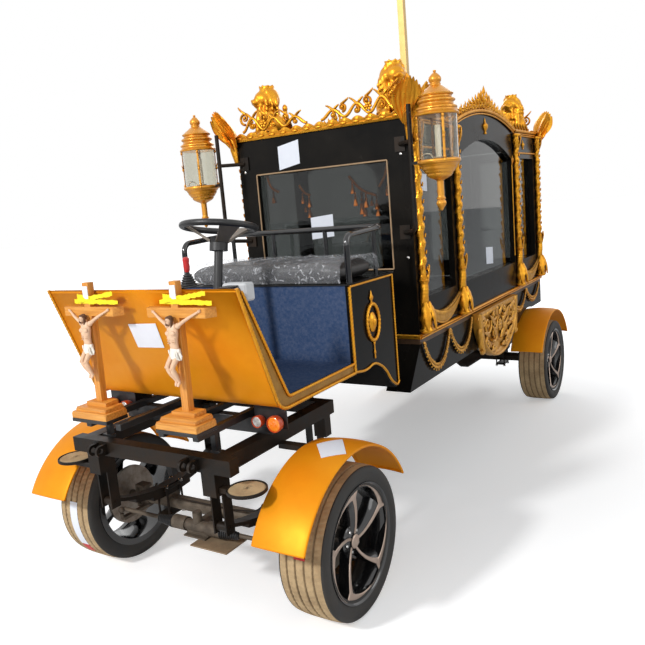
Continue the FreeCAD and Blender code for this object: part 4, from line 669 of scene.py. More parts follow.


# Gilt with painted shade: dark brown where ambient occlusion finds hollows in the carving.
gold_leaf = finish("gold_leaf", (0.82, 0.39, 0.03), (0.64, 0.23, 0.012), scale=26, amount=0.7,
                   rough=0.27, spread=0.2, metal=0.8, bump=0.0006, grain=130, hollow_shade=(0.16, 0.045, 0.004),
                   reach=0.022, deep=0.85, specular=0.3)
outer_line = rounded([DASH_TOP, DASH_FOOT, (FLOOR_REAR, FLOOR_LOW)], [0.055])
inner_line = rounded([DASH_BACK_TOP, DASH_BACK_FOOT, (FLOOR_REAR, DASH_BACK_FOOT[1])], [0.02])


def drawn_across(line, x0, x1, steps=2):
    """A line of (y, z) points drawn out into a sheet from one x to another."""
    x = np.linspace(x0, x1, steps)
    points = np.empty((len(line), steps, 3))
    points[..., 0] = x
    points[..., 1] = line[:, 0][:, None] + AXLE_Y
    points[..., 2] = line[:, 1][:, None]
    return surface(points)


cap_line = rounded([(DASH_TOP[0] + 0.004, DASH_TOP[1] - 0.012), (DASH_TOP[0] + 0.001, DASH_TOP[1] - 0.001),
                    DASH_BACK_TOP, (DASH_BACK_TOP[0] + 0.004, DASH_BACK_TOP[1] - 0.008)], [0.006, 0.004])
outer_face = drawn_across(outer_line, -TUB_HALF, TUB_HALF)
top_face = drawn_across(cap_line, -TUB_HALF, TUB_HALF)
inner_face = drawn_across(inner_line[:-1] + (0.0015, 0.0005), -TUB_HALF + 0.002, TUB_HALF - 0.002)
rear_close = drawn_across(np.array([outer_line[-1], inner_line[-1]]), -TUB_HALF, TUB_HALF)
outer_even = evenly(outer_line, 0.012)[0]
share = np.linspace(0, 1, len(outer_even))
inner_even = evenly(inner_line, 0.012)[0]
inner_share = np.linspace(0, 1, len(inner_even))
inner_even = np.stack([np.interp(share, inner_share, column) for column in inner_even.T], -1)
side_strips = []
for side in (-1, 1):
    rows = [(outer_even, 0.0), (outer_even * 0.8 + inner_even * 0.2, 0.0012),
            (outer_even * 0.2 + inner_even * 0.8, 0.0012), (inner_even, 0.0)]
    strip = np.stack([np.column_stack([np.full(len(row), side * (TUB_HALF + out)), row[:, 0] + AXLE_Y, row[:, 1]])
                      for row, out in rows], 1)
    side_strips.append(surface(strip))
piece("dash_shell", [[outer_face, top_face, rear_close], side_strips, inner_face],
      [gold_paint, edge_gold, blue_carpet], "chassis", ["dash_panel"], crease=35)


# Floor, bench box and sides: black lacquered board; the floor and the front of the
# bench are carpeted, and a thin black board is laid on the bench under the cushion.
SEAT_FRONT = 0.416
SEAT_TOP = 1.254
dressed(black_lacquer, "seat_box", "side_panels")
dressed(frame_paint, "cab_floor")
nap = [slab(cal(-0.481, -0.094, 0.9003), cal(0.481, SEAT_FRONT - 0.004, 0.904)),
       slab(cal(-0.481, SEAT_FRONT - 0.0043, 0.9003), cal(0.481, SEAT_FRONT - 0.0003, 1.2495))]
piece("carpet_lining", nap, blue_carpet, "chassis")
bench_board = slab(cal(-TUB_HALF + 0.001, SEAT_FRONT - 0.014, 1.25), cal(TUB_HALF - 0.001, 0.866, 1.2538))
piece("bench_board", bench_board, trim_black, "chassis")


# Gilt edging of the tub: carved rope glued along both edges of the shell and round the
# side panel, a plain bead under its arch, and an oval with finial and drop on each side.
ROPE = 0.0078
PANEL_REAR = 0.838
OVAL_Y, OVAL_Z = 0.609, 1.052
side_work = []
for side in (-1, 1):
    x = side * (TUB_HALF + 0.0035)

    def on_side(y, z, out=0.0):
        return cal(x + side * out, y, z)

    brow = SEAT_TOP - 0.012
    for spots, radii, share, pitch in (
            ([DASH_TOP, DASH_FOOT, (FLOOR_REAR + 0.004, FLOOR_LOW - 0.002)], [0.055], 1.0, 0.016),
            ([(DASH_BACK_TOP[0], DASH_BACK_TOP[1] - 0.01), DASH_BACK_FOOT,
              (SEAT_FRONT - 0.006, DASH_BACK_FOOT[1] + 0.001)], [0.02], 0.9, 0.015),
            ([(SEAT_FRONT, 0.866), (SEAT_FRONT, brow)], [], 1.05, 0.018),
            ([(SEAT_FRONT, brow), (PANEL_REAR - 0.004, brow)], [], 0.7, 0.014),
            ([(PANEL_REAR - 0.004, brow), (PANEL_REAR - 0.004, 0.72)], [], 0.7, 0.014)):
        side_work.append(rope_along([on_side(*spot) for spot in spots], radii, ROPE * share, pitch))
    arch = [on_side(FLOOR_REAR, FLOOR_LOW + 0.002), on_side(0.519, 0.846), on_side(0.599, 0.866),
            on_side(0.7, 0.815), on_side(0.759, 0.735), on_side(0.819, 0.697), on_side(PANEL_REAR, 0.716)]
    side_work.append(tube_along(evenly(rounded(arch, [0.04, 0.05, 0.05, 0.03, 0.015]), 0.012)[0], 0.0062, 10))
    oval_t = np.linspace(0, 2 * np.pi, 90)
    oval = np.stack([np.full(90, x + side * 0.002), OVAL_Y + 0.058 * np.cos(oval_t) + AXLE_Y,
                     OVAL_Z + 0.084 * np.sin(oval_t)], -1)
    beads = np.clip(1.0 + 0.16 * np.cos(oval_t * 28), 0.8, 1.2)
    side_work.append(tube_along(oval, 0.0085 * beads, 10, caps=False))
    boss = [(0.0, 0.02), (0.01, 0.018), (0.015, 0.011), (0.022, 0.012), (0.027, 0.006), (0.034, 0.004),
            (0.036, 0.0), (0.0, -0.004)]
    finial = [(0.0, 0.06), (0.004, 0.052), (0.009, 0.036), (0.016, 0.028), (0.017, 0.02), (0.01, 0.012),
              (0.006, 0.006), (0.013, 0.0), (0.012, -0.006), (0.0, -0.01)]
    drop = [(0.0, -0.08), (0.005, -0.076), (0.007, -0.066), (0.004, -0.058), (0.009, -0.05), (0.008, -0.042),
            (0.005, -0.036), (0.0048, -0.012), (0.009, -0.006), (0.01, 0.0), (0.0, 0.006)]
    for profile, steps, axis, stretch, out, z in (
            (boss, 40, "x", (side, 0.86, 1.3), 0.002, OVAL_Z), (finial, 16, "z", (0.35, 1, 1), 0.0045, 1.142),
            (drop, 14, "z", (0.5, 1, 1), 0.0045, 0.958)):
        side_work.append(set_in(lathe(profile, steps, axis), np.diag(stretch),
                                cal(side * (TUB_HALF + out), OVAL_Y, z)))
piece("tub_edging", side_work, gold_leaf, "chassis", ["tub_mouldings"], crease=60)


# Bench cushion: black vinyl over foam, swelled by simulated air pressure. A film of
# clear wrap still lies over it, creased and loose, and hangs over its front edge.
cushion_vinyl = finish("cushion_vinyl", (0.02, 0.019, 0.019), (0.045, 0.04, 0.036), scale=18, amount=0.6,
                       rough=0.34, spread=0.14, bump=0.0006, grain=320)
clear_wrap, wrap_tree, wrap_shader = new_material("clear_wrap")
wrap_place = node(wrap_tree, "TexCoord")
wrap_crease = node(wrap_tree, "TexNoise", {"Vector": wrap_place.outputs["Object"], "Scale": 34, "Detail": 5,
                                           "Distortion": 1.4}).outputs["Fac"]
wrap_lift = node(wrap_tree, "Bump", {"Distance": 0.01, "Height": wrap_crease})
wrap_edge = node(wrap_tree, "MapRange", {"Value": wrap_crease, "From Min": 0.55, "From Max": 0.72,
                                         "To Min": 0.12, "To Max": 0.62})
fed(wrap_shader, {"Base Color": (0.95, 0.96, 1.0, 1), "Roughness": 0.08, "Specular IOR Level": 1.0,
                  "Normal": wrap_lift.outputs["Normal"], "Alpha": wrap_edge.outputs["Result"]})
CUSHION_SWELL = 0.01
cushion_low, cushion_high = bounds_of("seat_cushion")


def pillow(low, high, waist, steps=(97, 41, 12)):
    """A box with rounded edges, a crowned top and a waist: sines and cosines raised to small powers."""
    middle, half = (low + high) / 2, (high - low) / 2
    u = np.linspace(0, 2 * np.pi, steps[0] * 2, endpoint=False)
    v = np.linspace(-np.pi / 2, np.pi / 2, steps[1])

    def bent(value, power):
        return np.sign(value) * np.abs(value) ** power

    ring_x, ring_y = bent(np.cos(u), 0.16), bent(np.sin(u), 0.22)
    flat, rise = bent(np.cos(v), 0.35), bent(np.sin(v), 0.55)
    x = flat[:, None] * ring_x
    y = flat[:, None] * ring_y
    z = rise[:, None] + 0 * x
    z = z * (1 - waist * np.abs(x) ** 6)
    y = y * (1 - 0.03 * np.cos(x * np.pi * 3.5))
    return surface(np.stack([x, y, z], -1) * half + middle, round_cols=True)


def puffed(thing, pressure, cap, voxel=0.006):
    """Swells a closed mesh as a pad: voxel remesh, cloth under air pressure, a cap on the travel."""
    remesh = thing.modifiers.new("even", "REMESH")
    remesh.mode = "VOXEL"
    remesh.voxel_size = voxel
    shape = thing.evaluated_get(bpy.context.evaluated_depsgraph_get())
    even = bpy.data.meshes.new_from_object(shape)
    thing.modifiers.remove(remesh)
    even.materials.clear()
    for material in thing.data.materials:
        even.materials.append(material)
    thing.data = even
    start = np.empty(len(even.vertices) * 3)
    even.vertices.foreach_get("co", start)
    cloth = thing.modifiers.new("air", "CLOTH")
    cloth.settings.use_pressure = True
    cloth.settings.uniform_pressure_force = pressure
    cloth.settings.effector_weights.gravity = 0
    cloth.settings.tension_stiffness = 30
    cloth.settings.compression_stiffness = 30
    cloth.settings.bending_stiffness = 4
    for number in range(1, 21):
        view.frame_set(number)
    shape = thing.evaluated_get(bpy.context.evaluated_depsgraph_get())
    swelled = np.empty(len(even.vertices) * 3)
    shape.data.vertices.foreach_get("co", swelled)
    thing.modifiers.remove(cloth)
    view.frame_set(1)
    travel = (swelled - start).reshape(-1, 3)
    far = np.linalg.norm(travel, axis=1)[:, None]
    travel *= np.minimum(1, cap / np.maximum(far, 1e-9))
    points = start.reshape(-1, 3) + travel
    points[:, 2] = np.maximum(points[:, 2], cushion_low[2] + 0.0005)
    even.vertices.foreach_set("co", points.ravel())
    even.update()


seat_pad = piece("seat_pad", pillow(cushion_low + (CUSHION_SWELL, CUSHION_SWELL, 0.0006),
                                    cushion_high - CUSHION_SWELL * np.array((1, 1, 0.8)), 0.1),
                 cushion_vinyl, "chassis", ["seat_cushion"], crease=180)
puffed(seat_pad, 4.0, CUSHION_SWELL * 0.9)


def crumpled(u, v, seed):
    """Soft creases as a sum of bent waves over (u, v), each of its own direction and phase."""
    total = 0
    dice = np.random.default_rng(seed)
    for number in range(9):
        angle, phase = dice.uniform(0, np.pi), dice.uniform(0, 2 * np.pi)
        pace = 18 + 16 * number
        wave = np.sin(pace * (u * np.cos(angle) + v * np.sin(angle)) + phase + 2.2 * np.sin(9 * u + phase))
        total = total + (1 - np.abs(wave)) ** 3 / (1 + 0.35 * number)
    return total


wrap_line = rounded([
    (cushion_low[1] - 0.004, cushion_low[2] + 0.004), (cushion_low[1] - 0.005, cushion_high[2] - 0.004),
    (cushion_low[1] + 0.1, cushion_high[2] + 0.002), (cushion_high[1] - 0.02, cushion_high[2] + 0.004),
    (cushion_high[1] + 0.002, cushion_low[2] + 0.02)], [0.035, 0.05, 0.02])
wrap_line = evenly(wrap_line, 0.008)[0]
wrap_x = np.linspace(cushion_low[0] - 0.004, cushion_high[0] + 0.004, 150)
lift = crumpled(wrap_x[None, :], np.arange(len(wrap_line))[:, None] * 0.008, 4)
lift = (lift - lift.min()) / (lift.max() - lift.min())
slope = np.gradient(wrap_line, axis=0)
slope /= np.linalg.norm(slope, axis=1)[:, None]
wrap_points = np.empty((len(wrap_line), 150, 3))
wrap_points[..., 0] = wrap_x
wrap_points[..., 1] = wrap_line[:, 0][:, None] - slope[:, 1][:, None] * lift * 0.01
wrap_points[..., 2] = wrap_line[:, 1][:, None] + slope[:, 0][:, None] * lift * 0.014
wrap_points[..., 0] *= 1 - 0.004 * lift
cushion_wrap = piece("cushion_wrap", surface(wrap_points), clear_wrap, "chassis", crease=25)


# Arm rail and steering wheel: the rail is bent tube, gloss black, and the wheel has a
# padded rim of dull black plastic. Both are the frame's own shapes.
dressed(gloss_black, "seat_rail")
dressed(trim_black, "steering_wheel")


# Wheel spokes: three broad pressed plates, satin grey, over the wheel's spokes; each
# climbs from the boss to the rim and widens on the way.
SPOKE_RISE = 0.594
spoke_work = []
for turn in (90, 210, 330):
    share = np.linspace(0, 1, 16)
    reach = 0.034 + 0.116 * share
    half = 0.026 + 0.018 * share + 0.012 * share ** 5
    middle = -0.084 + SPOKE_RISE * reach
    corners = ((-1, 0.0058), (-0.93, 0.0075), (0.93, 0.0075), (1, 0.0058), (1, -0.0055), (-1, -0.0055))
    plate = np.stack([np.stack([reach, half * across, middle + lift], -1) for across, lift in corners])
    ends = [surface(np.stack([plate[:3, k], plate[:2:-1, k]])) for k in (0, -1)]
    spoke_work.append(set_in(joined(surface(plate, round_rows=True), *ends), turned_about("z", math.radians(turn))))
spokes = set_in(joined(*spoke_work), turned_about("x", math.radians(-11)), cal(0, 0.192, 1.543))
spoke_grey = finish("spoke_grey", (0.24, 0.205, 0.17), (0.16, 0.135, 0.11), scale=16, rough=0.34, spread=0.12,
                    metal=0.35)
piece("wheel_spokes", spokes, spoke_grey, "steering_wheel", crease=30)


# Hearse body: boarded walls, roof and skirt in black lacquer over a boarded deck.
# The panes are tinted glass held in from inside, with a little dust on them.
dressed(black_lacquer, "skirt", "front_wall", "side_walls", "rear_frame", "rear_door_left", "rear_door_right",
        "hearse_roof")
deck_board = finish("deck_board", (0.1, 0.055, 0.028), (0.05, 0.026, 0.013), scale=12, amount=0.8,
                    bump=0.0005, grain=60)
dressed(deck_board, "hearse_deck")


def glass(name, tint, dust):
    """Clear pane: tinted transmission, with a film of dust that a noise lays on unevenly."""
    material, tree, shader = new_material(name)
    place = node(tree, "TexCoord")
    film = node(tree, "TexNoise", {"Vector": place.outputs["Object"], "Scale": 5, "Detail": 7})
    haze = node(tree, "MapRange", {"Value": film.outputs["Fac"], "From Min": 0.42, "From Max": 0.75,
                                   "To Min": 0.02, "To Max": dust})
    fed(shader, {"Base Color": (*tint, 1), "Transmission Weight": 1.0, "IOR": 1.45,
                 "Roughness": haze.outputs["Result"]})
    return material


dressed(glass("pane_glass", (0.19, 0.2, 0.195), 0.07), "body_glass", "door_glass_left", "door_glass_right")


# Gilt rail and cornice: a plain rounded rail at deck height, and a carved cornice
# with a scalloped edge at the front and rear, and a rope bead over the sides' arches.
wall_low, wall_high = bounds_of("side_walls")
BODY_HALF = wall_high[0]
BODY_FRONT = wall_low[1]
BODY_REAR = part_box("hearse_roof")[1].y
BODY_MIDDLE = (BODY_FRONT + BODY_REAR) / 2
WALL_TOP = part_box("front_wall")[1].z
rail_low, rail_high = bounds_of("body_rail")
RAIL_Z = (rail_low[2] + rail_high[2]) / 2
GABLE_HALF = 0.566
GABLE_RISE = wall_high[2] - WALL_TOP


def limb(line, wide, deep, aside, around=10):
    """An oval tube: middle line, half width towards aside and half depth across it, closed at both ends."""
    line = np.asarray(line, float)
    ahead = np.gradient(line, axis=0)
    ahead /= np.linalg.norm(ahead, axis=1)[:, None].clip(1e-9)
    across = np.broadcast_to(np.asarray(aside, float), line.shape)
    across = across - ahead * (across * ahead).sum(1)[:, None]
    across /= np.linalg.norm(across, axis=1)[:, None].clip(1e-9)
    upright = np.cross(ahead, across)
    t = np.linspace(0, 2 * np.pi, around, endpoint=False)
    wide = np.broadcast_to(wide, len(line))[:, None, None]
    deep = np.broadcast_to(deep, len(line))[:, None, None]
    points = line[:, None] + wide * np.cos(t)[:, None] * across[:, None] + deep * np.sin(t)[:, None] * upright[:,
        None]
    ends = [surface(np.stack([row, row * 0 + row.mean(0)]), round_cols=True) for row in (points[0], points[-1])]
    return joined(surface(points, round_cols=True), *ends)


def blob(radii, centre, rows=7, around=10):
    """An ellipsoid of three radii about a centre."""
    t = np.linspace(0, np.pi, rows)
    shape = lathe(np.stack([np.sin(t), np.cos(t)], -1), around)
    return shape[0] * radii + centre, shape[1]


rail_work = []
for side in (-1, 1):
    for z, radius in ((RAIL_Z + 0.006, 0.0085), (RAIL_Z - 0.008, 0.006)):
        line = np.array([(side * (BODY_HALF + 0.005), y, z) for y in np.linspace(rail_low[1] + 0.012,
            rail_high[1] - 0.012, 40)])
        rail_work.append(limb(line, radius, radius * 1.5, (0, 0, 1), 12))
for y in (rail_low[1] + 0.008, rail_high[1] - 0.008):
    line = np.array([(x, y, RAIL_Z) for x in np.linspace(-BODY_HALF - 0.008, BODY_HALF + 0.008, 20)])
    rail_work.append(limb(line, 0.012, 0.007, (0, 0, 1), 12))
piece("deck_rail", rail_work, gold_leaf, "chassis", ["body_rail"])


def arch_line(margin=0.0, steps=61):
    """The side wall's top edge as (y, z): level, a round gable of half width and rise, level again."""
    bend = (GABLE_HALF ** 2 + GABLE_RISE ** 2) / (2 * GABLE_RISE)
    y = np.linspace(-GABLE_HALF, GABLE_HALF, steps)
    z = np.sqrt(bend ** 2 - y ** 2) - (bend - GABLE_RISE)
    rise = np.stack([y + BODY_MIDDLE, WALL_TOP + z], -1)
    front = np.array([(BODY_FRONT - 0.012, WALL_TOP), (BODY_MIDDLE - GABLE_HALF - 0.02, WALL_TOP)])
    rear = np.array([(BODY_MIDDLE + GABLE_HALF + 0.02, WALL_TOP), (BODY_REAR + 0.012, WALL_TOP)])
    return np.concatenate([front, rise, rear]) + (0, margin)


cornice_work = []
for end in (-1, 1):
    y_wall = BODY_FRONT if end < 0 else BODY_REAR
    x = np.linspace(-BODY_HALF - 0.014, BODY_HALF + 0.014, 241)
    scallop = np.abs(np.sin(x * np.pi / 0.075))
    profile = []
    for out, z in ((0.002, 0.0), (0.015, 0.001), (0.02, 0.01), (0.014, 0.018)):
        profile.append(np.stack([x, np.full(241, y_wall + end * out), np.full(241, WALL_TOP - 0.002 + z)], -1))
    profile.append(np.stack([x, y_wall + end * (0.017 + 0.003 * scallop), WALL_TOP + 0.022 + 0.012 * scallop], -1))
    profile.append(np.stack([x, y_wall + end * (0.01 + 0.004 * scallop), WALL_TOP + 0.028 + 0.016 * scallop], -1))
    profile.append(np.stack([x, np.full(241, y_wall + end * 0.002), WALL_TOP + 0.026 + 0.014 * scallop], -1))
    cornice_work.append(surface(np.stack(profile), round_rows=True))
    for spot in np.arange(-BODY_HALF + 0.03, BODY_HALF, 0.075):
        cornice_work.append(blob((0.02, 0.007, 0.008), (spot, y_wall + end * 0.017, WALL_TOP + 0.016)))
for side in (-1, 1):
    for margin, radius, pitch in ((0.012, 0.0105, 0.024), (-0.006, 0.0055, 0.03)):
        line = arch_line(margin)
        route = np.column_stack([np.full(len(line), side * (BODY_HALF + 0.009)), line])
        cornice_work.append(rope_along(route[[0, 1]], [], radius, pitch, 10))
        cornice_work.append(rope_along(route[2:-2], [0.01] * (len(route) - 6), radius, pitch, 10))
        cornice_work.append(rope_along(route[[-2, -1]], [], radius, pitch, 10))
    for end in (-1, 1):
        for z, start, stop in ((-0.14, 0.625, 1.1), (-0.018, 0.625, 1.1)):
            line = np.array([(side * (BODY_HALF + 0.006), BODY_MIDDLE + end * y, WALL_TOP + z)
                             for y in np.linspace(start, stop, 12)])
            cornice_work.append(limb(line, 0.006, 0.006, (0, 0, 1), 8))
piece("cornice_carving", cornice_work, gold_leaf, "chassis", ["cornice"], crease=50)


# Columns: four a side, turned and carved in one with spiral leaves, gilt. Each is cut
# flat at the back and glued to the wall, standing on a leafed foot on the rail.
column_low, column_high = bounds_of("columns")
COLUMN_X = 0.541
COLUMN_R = 0.021
COLUMN_OFFS = (1.132, 0.582, -0.582, -1.132)
BAND_Z = 1.175


def column_shape(side, y):
    """Radius over (height, angle): shaft with a winding leaf ribbon, fuller below the band, moulded ends."""
    z = np.linspace(column_low[2] + 0.001, column_high[2] - 0.001, 190)
    t = np.linspace(0, 2 * np.pi, 20, endpoint=False)
    upper = (z > BAND_Z).astype(float)
    wind = t[None, :] - side * 2 * np.pi * z[:, None] / np.where(upper > 0, 0.085, 0.19)[:, None]
    ribbon_bump = np.clip(np.cos(wind), 0, 1) ** 0.6
    ragged = 0.55 + 0.45 * np.abs(np.sin(z * np.pi / 0.016))[:, None]
    base = COLUMN_R * (1 + 0.45 * (1 - upper) * np.clip((BAND_Z - z) / 0.18, 0, 1) ** 0.6)
    radius = base[:, None] * (0.84 + (0.42 * upper[:, None] + 0.25 * (1 - upper[:, None])) * ribbon_bump * ragged)
    for middle, grow, width in ((BAND_Z, 0.01, 0.01), (BAND_Z + 0.016, 0.005, 0.006),
                                (column_low[2] + 0.012, 0.016, 0.016), (column_low[2] + 0.075, 0.014, 0.035),
                                (column_high[2] - 0.012, 0.014, 0.012), (column_high[2] - 0.055, 0.008, 0.016)):
        radius = radius + grow * np.exp(-((z - middle) / width) ** 2)[:, None]
    x = COLUMN_X + radius * np.cos(t)
    points = np.stack([np.maximum(x, BODY_HALF + 0.0005) * side, y + radius * np.sin(t), z[:, None] + 0 * radius],
                      -1)
    ends = [surface(np.stack([row, row * 0 + row.mean(0)]), round_cols=True) for row in (points[0], points[-1])]
    return joined(surface(points, round_cols=True), *ends)


def leaf(root, tip, outward, width, curl=0.3, lobes=5, thick=0.004, steps=18, around=9):
    """A carved leaf that bows outward: half width w (sin(pi s^0.62)^0.75 + 0.12) (0.68 + 0.32 |cos(n pi s)|)."""
    root, tip, outward = (np.asarray(v, float) for v in (root, tip, outward))
    s = np.linspace(0.01, 0.995, steps)[:, None]
    span = tip - root
    size = np.linalg.norm(span)
    line = root + span * s + outward * size * curl * (np.sin(np.pi * s * 0.9) * 0.6 + 0.4 * s ** 3)
    half = width * (np.sin(np.pi * s[:,
                                     0] ** 0.62) ** 0.75 + 0.12) * (0.68 + 0.32 * np.abs(np.cos(lobes * np.pi * s[:,
                                         0])))
    half[-1] *= 0.3
    return limb(line, half, thick * (1.3 - 0.7 * s[:, 0]), np.cross(span, outward), around)


column_work = []
for side in (-1, 1):
    for off in COLUMN_OFFS:
        y = BODY_MIDDLE - off
        column_work.append(column_shape(side, y))
        foot_z = column_low[2]
        for turn in (-55, 0, 55):
            way = np.array([side * math.cos(math.radians(turn)), math.sin(math.radians(turn)), 0.0])
            for z, near, far, rise, width, curl, lobes, thick in (
                    (foot_z + 0.16, 0.022, 0.04, -0.145, 0.024, 0.2, 4, 0.007),
                    (BAND_Z - 0.015, 0.02, 0.032, 0.095, 0.012, 0.12, 3, 0.004),
                    (column_high[2] - 0.105, 0.018, 0.03, 0.088, 0.014, 0.2, 4, 0.004)):
                root = np.array([side * COLUMN_X, y, z])
                column_work.append(leaf(root + way * near, root + way * far + (0, 0, rise), way, width, curl, lobes,
                                        thick))
        for z in np.arange(BAND_Z + 0.05, column_high[2] - 0.12, 0.0425):
            turn = side * 2 * np.pi * z / 0.085
            way = np.array([abs(math.cos(turn)) * side, math.sin(turn), 0.0])
            root = np.array([side * COLUMN_X, y, z]) + way * 0.019
            column_work.append(leaf(root, root + way * 0.003 + (0, 0, 0.021), way, 0.0115, 0.26, 1, 0.005, 7, 7))
piece("gilt_columns", column_work, gold_leaf, "chassis", ["columns"], crease=60)


# Roof cresting: openwork scrolls cast in resin and gilt. At the front and rear a vine
# runs from the middle up to each corner; over each side stand palmettes on the arch.
def volute(centre, radius, start, turns, plane, wide=0.008, deep=0.008):
    """A curling scroll in a plane of two unit vectors: radius falls from r to 0.12 r as it turns, with an eye."""
    centre, (u, v) = np.asarray(centre, float), (np.asarray(plane[0], float), np.asarray(plane[1], float))
    s = np.linspace(0, 1, int(10 + 14 * abs(turns)))
    angle = start + turns * 2 * np.pi * s
    reach = radius * (1 - 0.88 * s ** 0.85)
    line = centre + (reach * np.cos(angle))[:, None] * u + (reach * np.sin(angle))[:, None] * v
    taper = 1 - 0.45 * s
    eye = blob((wide * 1.25,) * 3, line[-1], 5, 7)
    return joined(limb(line, deep * taper, wide * taper, np.cross(u, v), 6), eye)


def vine(end, side):
    """Running scroll from the middle to one corner: z = base + a(u) (1 + sin 2 pi n u) / 2, a curl in each bend."""
    y = (BODY_FRONT if end < 0 else BODY_REAR) + end * 0.004
    base, start, stop, waves = WALL_TOP + 0.05, 0.045, BODY_HALF - 0.055, 3
    plane = ((side, 0, 0), (0, 0, 1))
    u = np.linspace(0, 1, 120)
    high = 0.034 + 0.04 * u
    x = start + (stop - start) * u
    z = base + high * (1 + np.sin(2 * np.pi * waves * u - 0.5 * np.pi)) / 2
    stem = np.stack([side * x, np.full(120, y), z], -1)
    work = [limb(stem, 0.008, 0.0085 - 0.001 * np.cos(u * 40), (0, 1, 0), 8)]
    for number in range(waves):
        for phase, lifted in ((0.5, False), (1.0, True)):
            spot = (number + phase) / waves
            size = 0.034 + 0.04 * spot
            cx = start + (stop - start) * min(spot, 0.985)
            if lifted:
                work.append(volute((side * (cx - 0.012), y, base + size * 0.98), size * 0.46, -0.5 * np.pi, 1.45,
                                   plane))
                work.append(leaf((side * (cx - 0.02), y, base + size * 1.3),
                                 (side * (cx + 0.018), y, base + size * 1.85), (side, 0, 0.2), 0.01, 0.35, 3, 0.006,
                                 12, 8))
            else:
                work.append(volute((side * cx, y, base + size * 0.42), size * 0.34, 0.5 * np.pi, -1.35, plane))
                work.append(leaf((side * (cx + 0.004), y, base + size * 0.98),
                                 (side * (cx - 0.034), y, base + size * 1.42), (-side * 0.6, 0, 1), 0.01, 0.4, 3,
                                 0.006, 12, 8))
                work.append(leaf((side * (cx + 0.006), y, base + size * 0.98),
                                 (side * (cx + 0.036), y, base + size * 1.36), (side * 0.6, 0, 1), 0.009, 0.4, 3,
                                 0.006, 12, 8))
    for turn in np.linspace(0, 2 * np.pi, 7)[:-1]:
        bloom_x = side * (start + (stop - start) * 0.66)
        petal = blob((0.011, 0.006, 0.008), (0, 0, 0), 6, 8)
        spin = turned_about("y", -turn)
        work.append(set_in(set_in(petal, at=(0.014, 0, 0)), spin, (bloom_x, y + end * 0.009, base + 0.03)))
    work.append(blob((0.008, 0.008, 0.008), (side * (start + (stop - start) * 0.66), y + end * 0.012, base + 0.03)))
    return joined(*work)


def palmette(spot, rise, lean):
    """Bud between two pairs of curling leaves over a pair of scrolls, upright on the side's arch."""
    x, y, z = spot
    plane = ((0, 1, 0), (0, 0, 1))
    bud = lathe([(0.0, 1.0), (0.05, 0.93), (0.13, 0.8), (0.15, 0.72), (0.07, 0.62), (0.11, 0.55), (0.06, 0.42),
                 (0.09, 0.0)], 10)
    bud = (bud[0] * (rise * 0.45, rise * 0.9, rise), bud[1])
    work = [set_in(bud, turned_about("x", -lean), (x, y, z))]
    for sign in (-1, 1):
        work.append(leaf((x, y + sign * 0.006, z + rise * 0.18), (x, y + sign * rise * 0.42, z + rise * 0.66),
                         (0, sign, -0.1), rise * 0.13, 0.35, 3, 0.008, 11, 7))
        work.append(leaf((x, y + sign * 0.01, z + rise * 0.05), (x, y + sign * rise * 0.58, z + rise * 0.34),
                         (0, sign * 0.4, -1), rise * 0.11, 0.3, 3, 0.008, 11, 7))
        work.append(volute((x, y + sign * 0.032, z + 0.022), 0.02, (0.5 - sign * 0.5) * np.pi, -1.2 * sign, plane,
                           0.0065))
    return joined(*work)


crest_work = [vine(end, side) for end in (-1, 1) for side in (-1, 1)]
arch = arch_line(0.02, 121)
for side in (-1, 1):
    x = side * (BODY_HALF - 0.004)
    for off, rise in ((0, 0.15), (0.048, 0.122), (0.098, 0.106), (0.15, 0.092), (0.206, 0.08), (0.266, 0.072),
                      (0.33, 0.064), (0.398, 0.058), (0.468, 0.052), (0.54, 0.046)):
        for sign in ((-1, 1) if off else (1,)):
            y = BODY_MIDDLE + sign * off
            z = np.interp(y, arch[:, 0], arch[:, 1])
            crest_work.append(palmette((x, y, z), rise, sign * off * 0.55))
    for off in np.arange(0.61, 1.02, 0.07):
        for sign in (-1, 1):
            spot = (x, BODY_MIDDLE + sign * off, WALL_TOP + 0.03)
            crest_work.append(volute(spot, 0.022, (0.5 + sign * 0.5) * np.pi, 1.3 * sign, ((0, 1, 0), (0, 0, 1)),
                                     0.0065))
            crest_work.append(leaf(spot, (x, spot[1] - sign * 0.03, spot[2] + 0.042), (0, -sign, 0.2), 0.01, 0.4, 2,
                                   0.006, 10, 8))
piece("roof_cresting", crest_work, gold_leaf, "chassis", ["roof_crest"], crease=60)


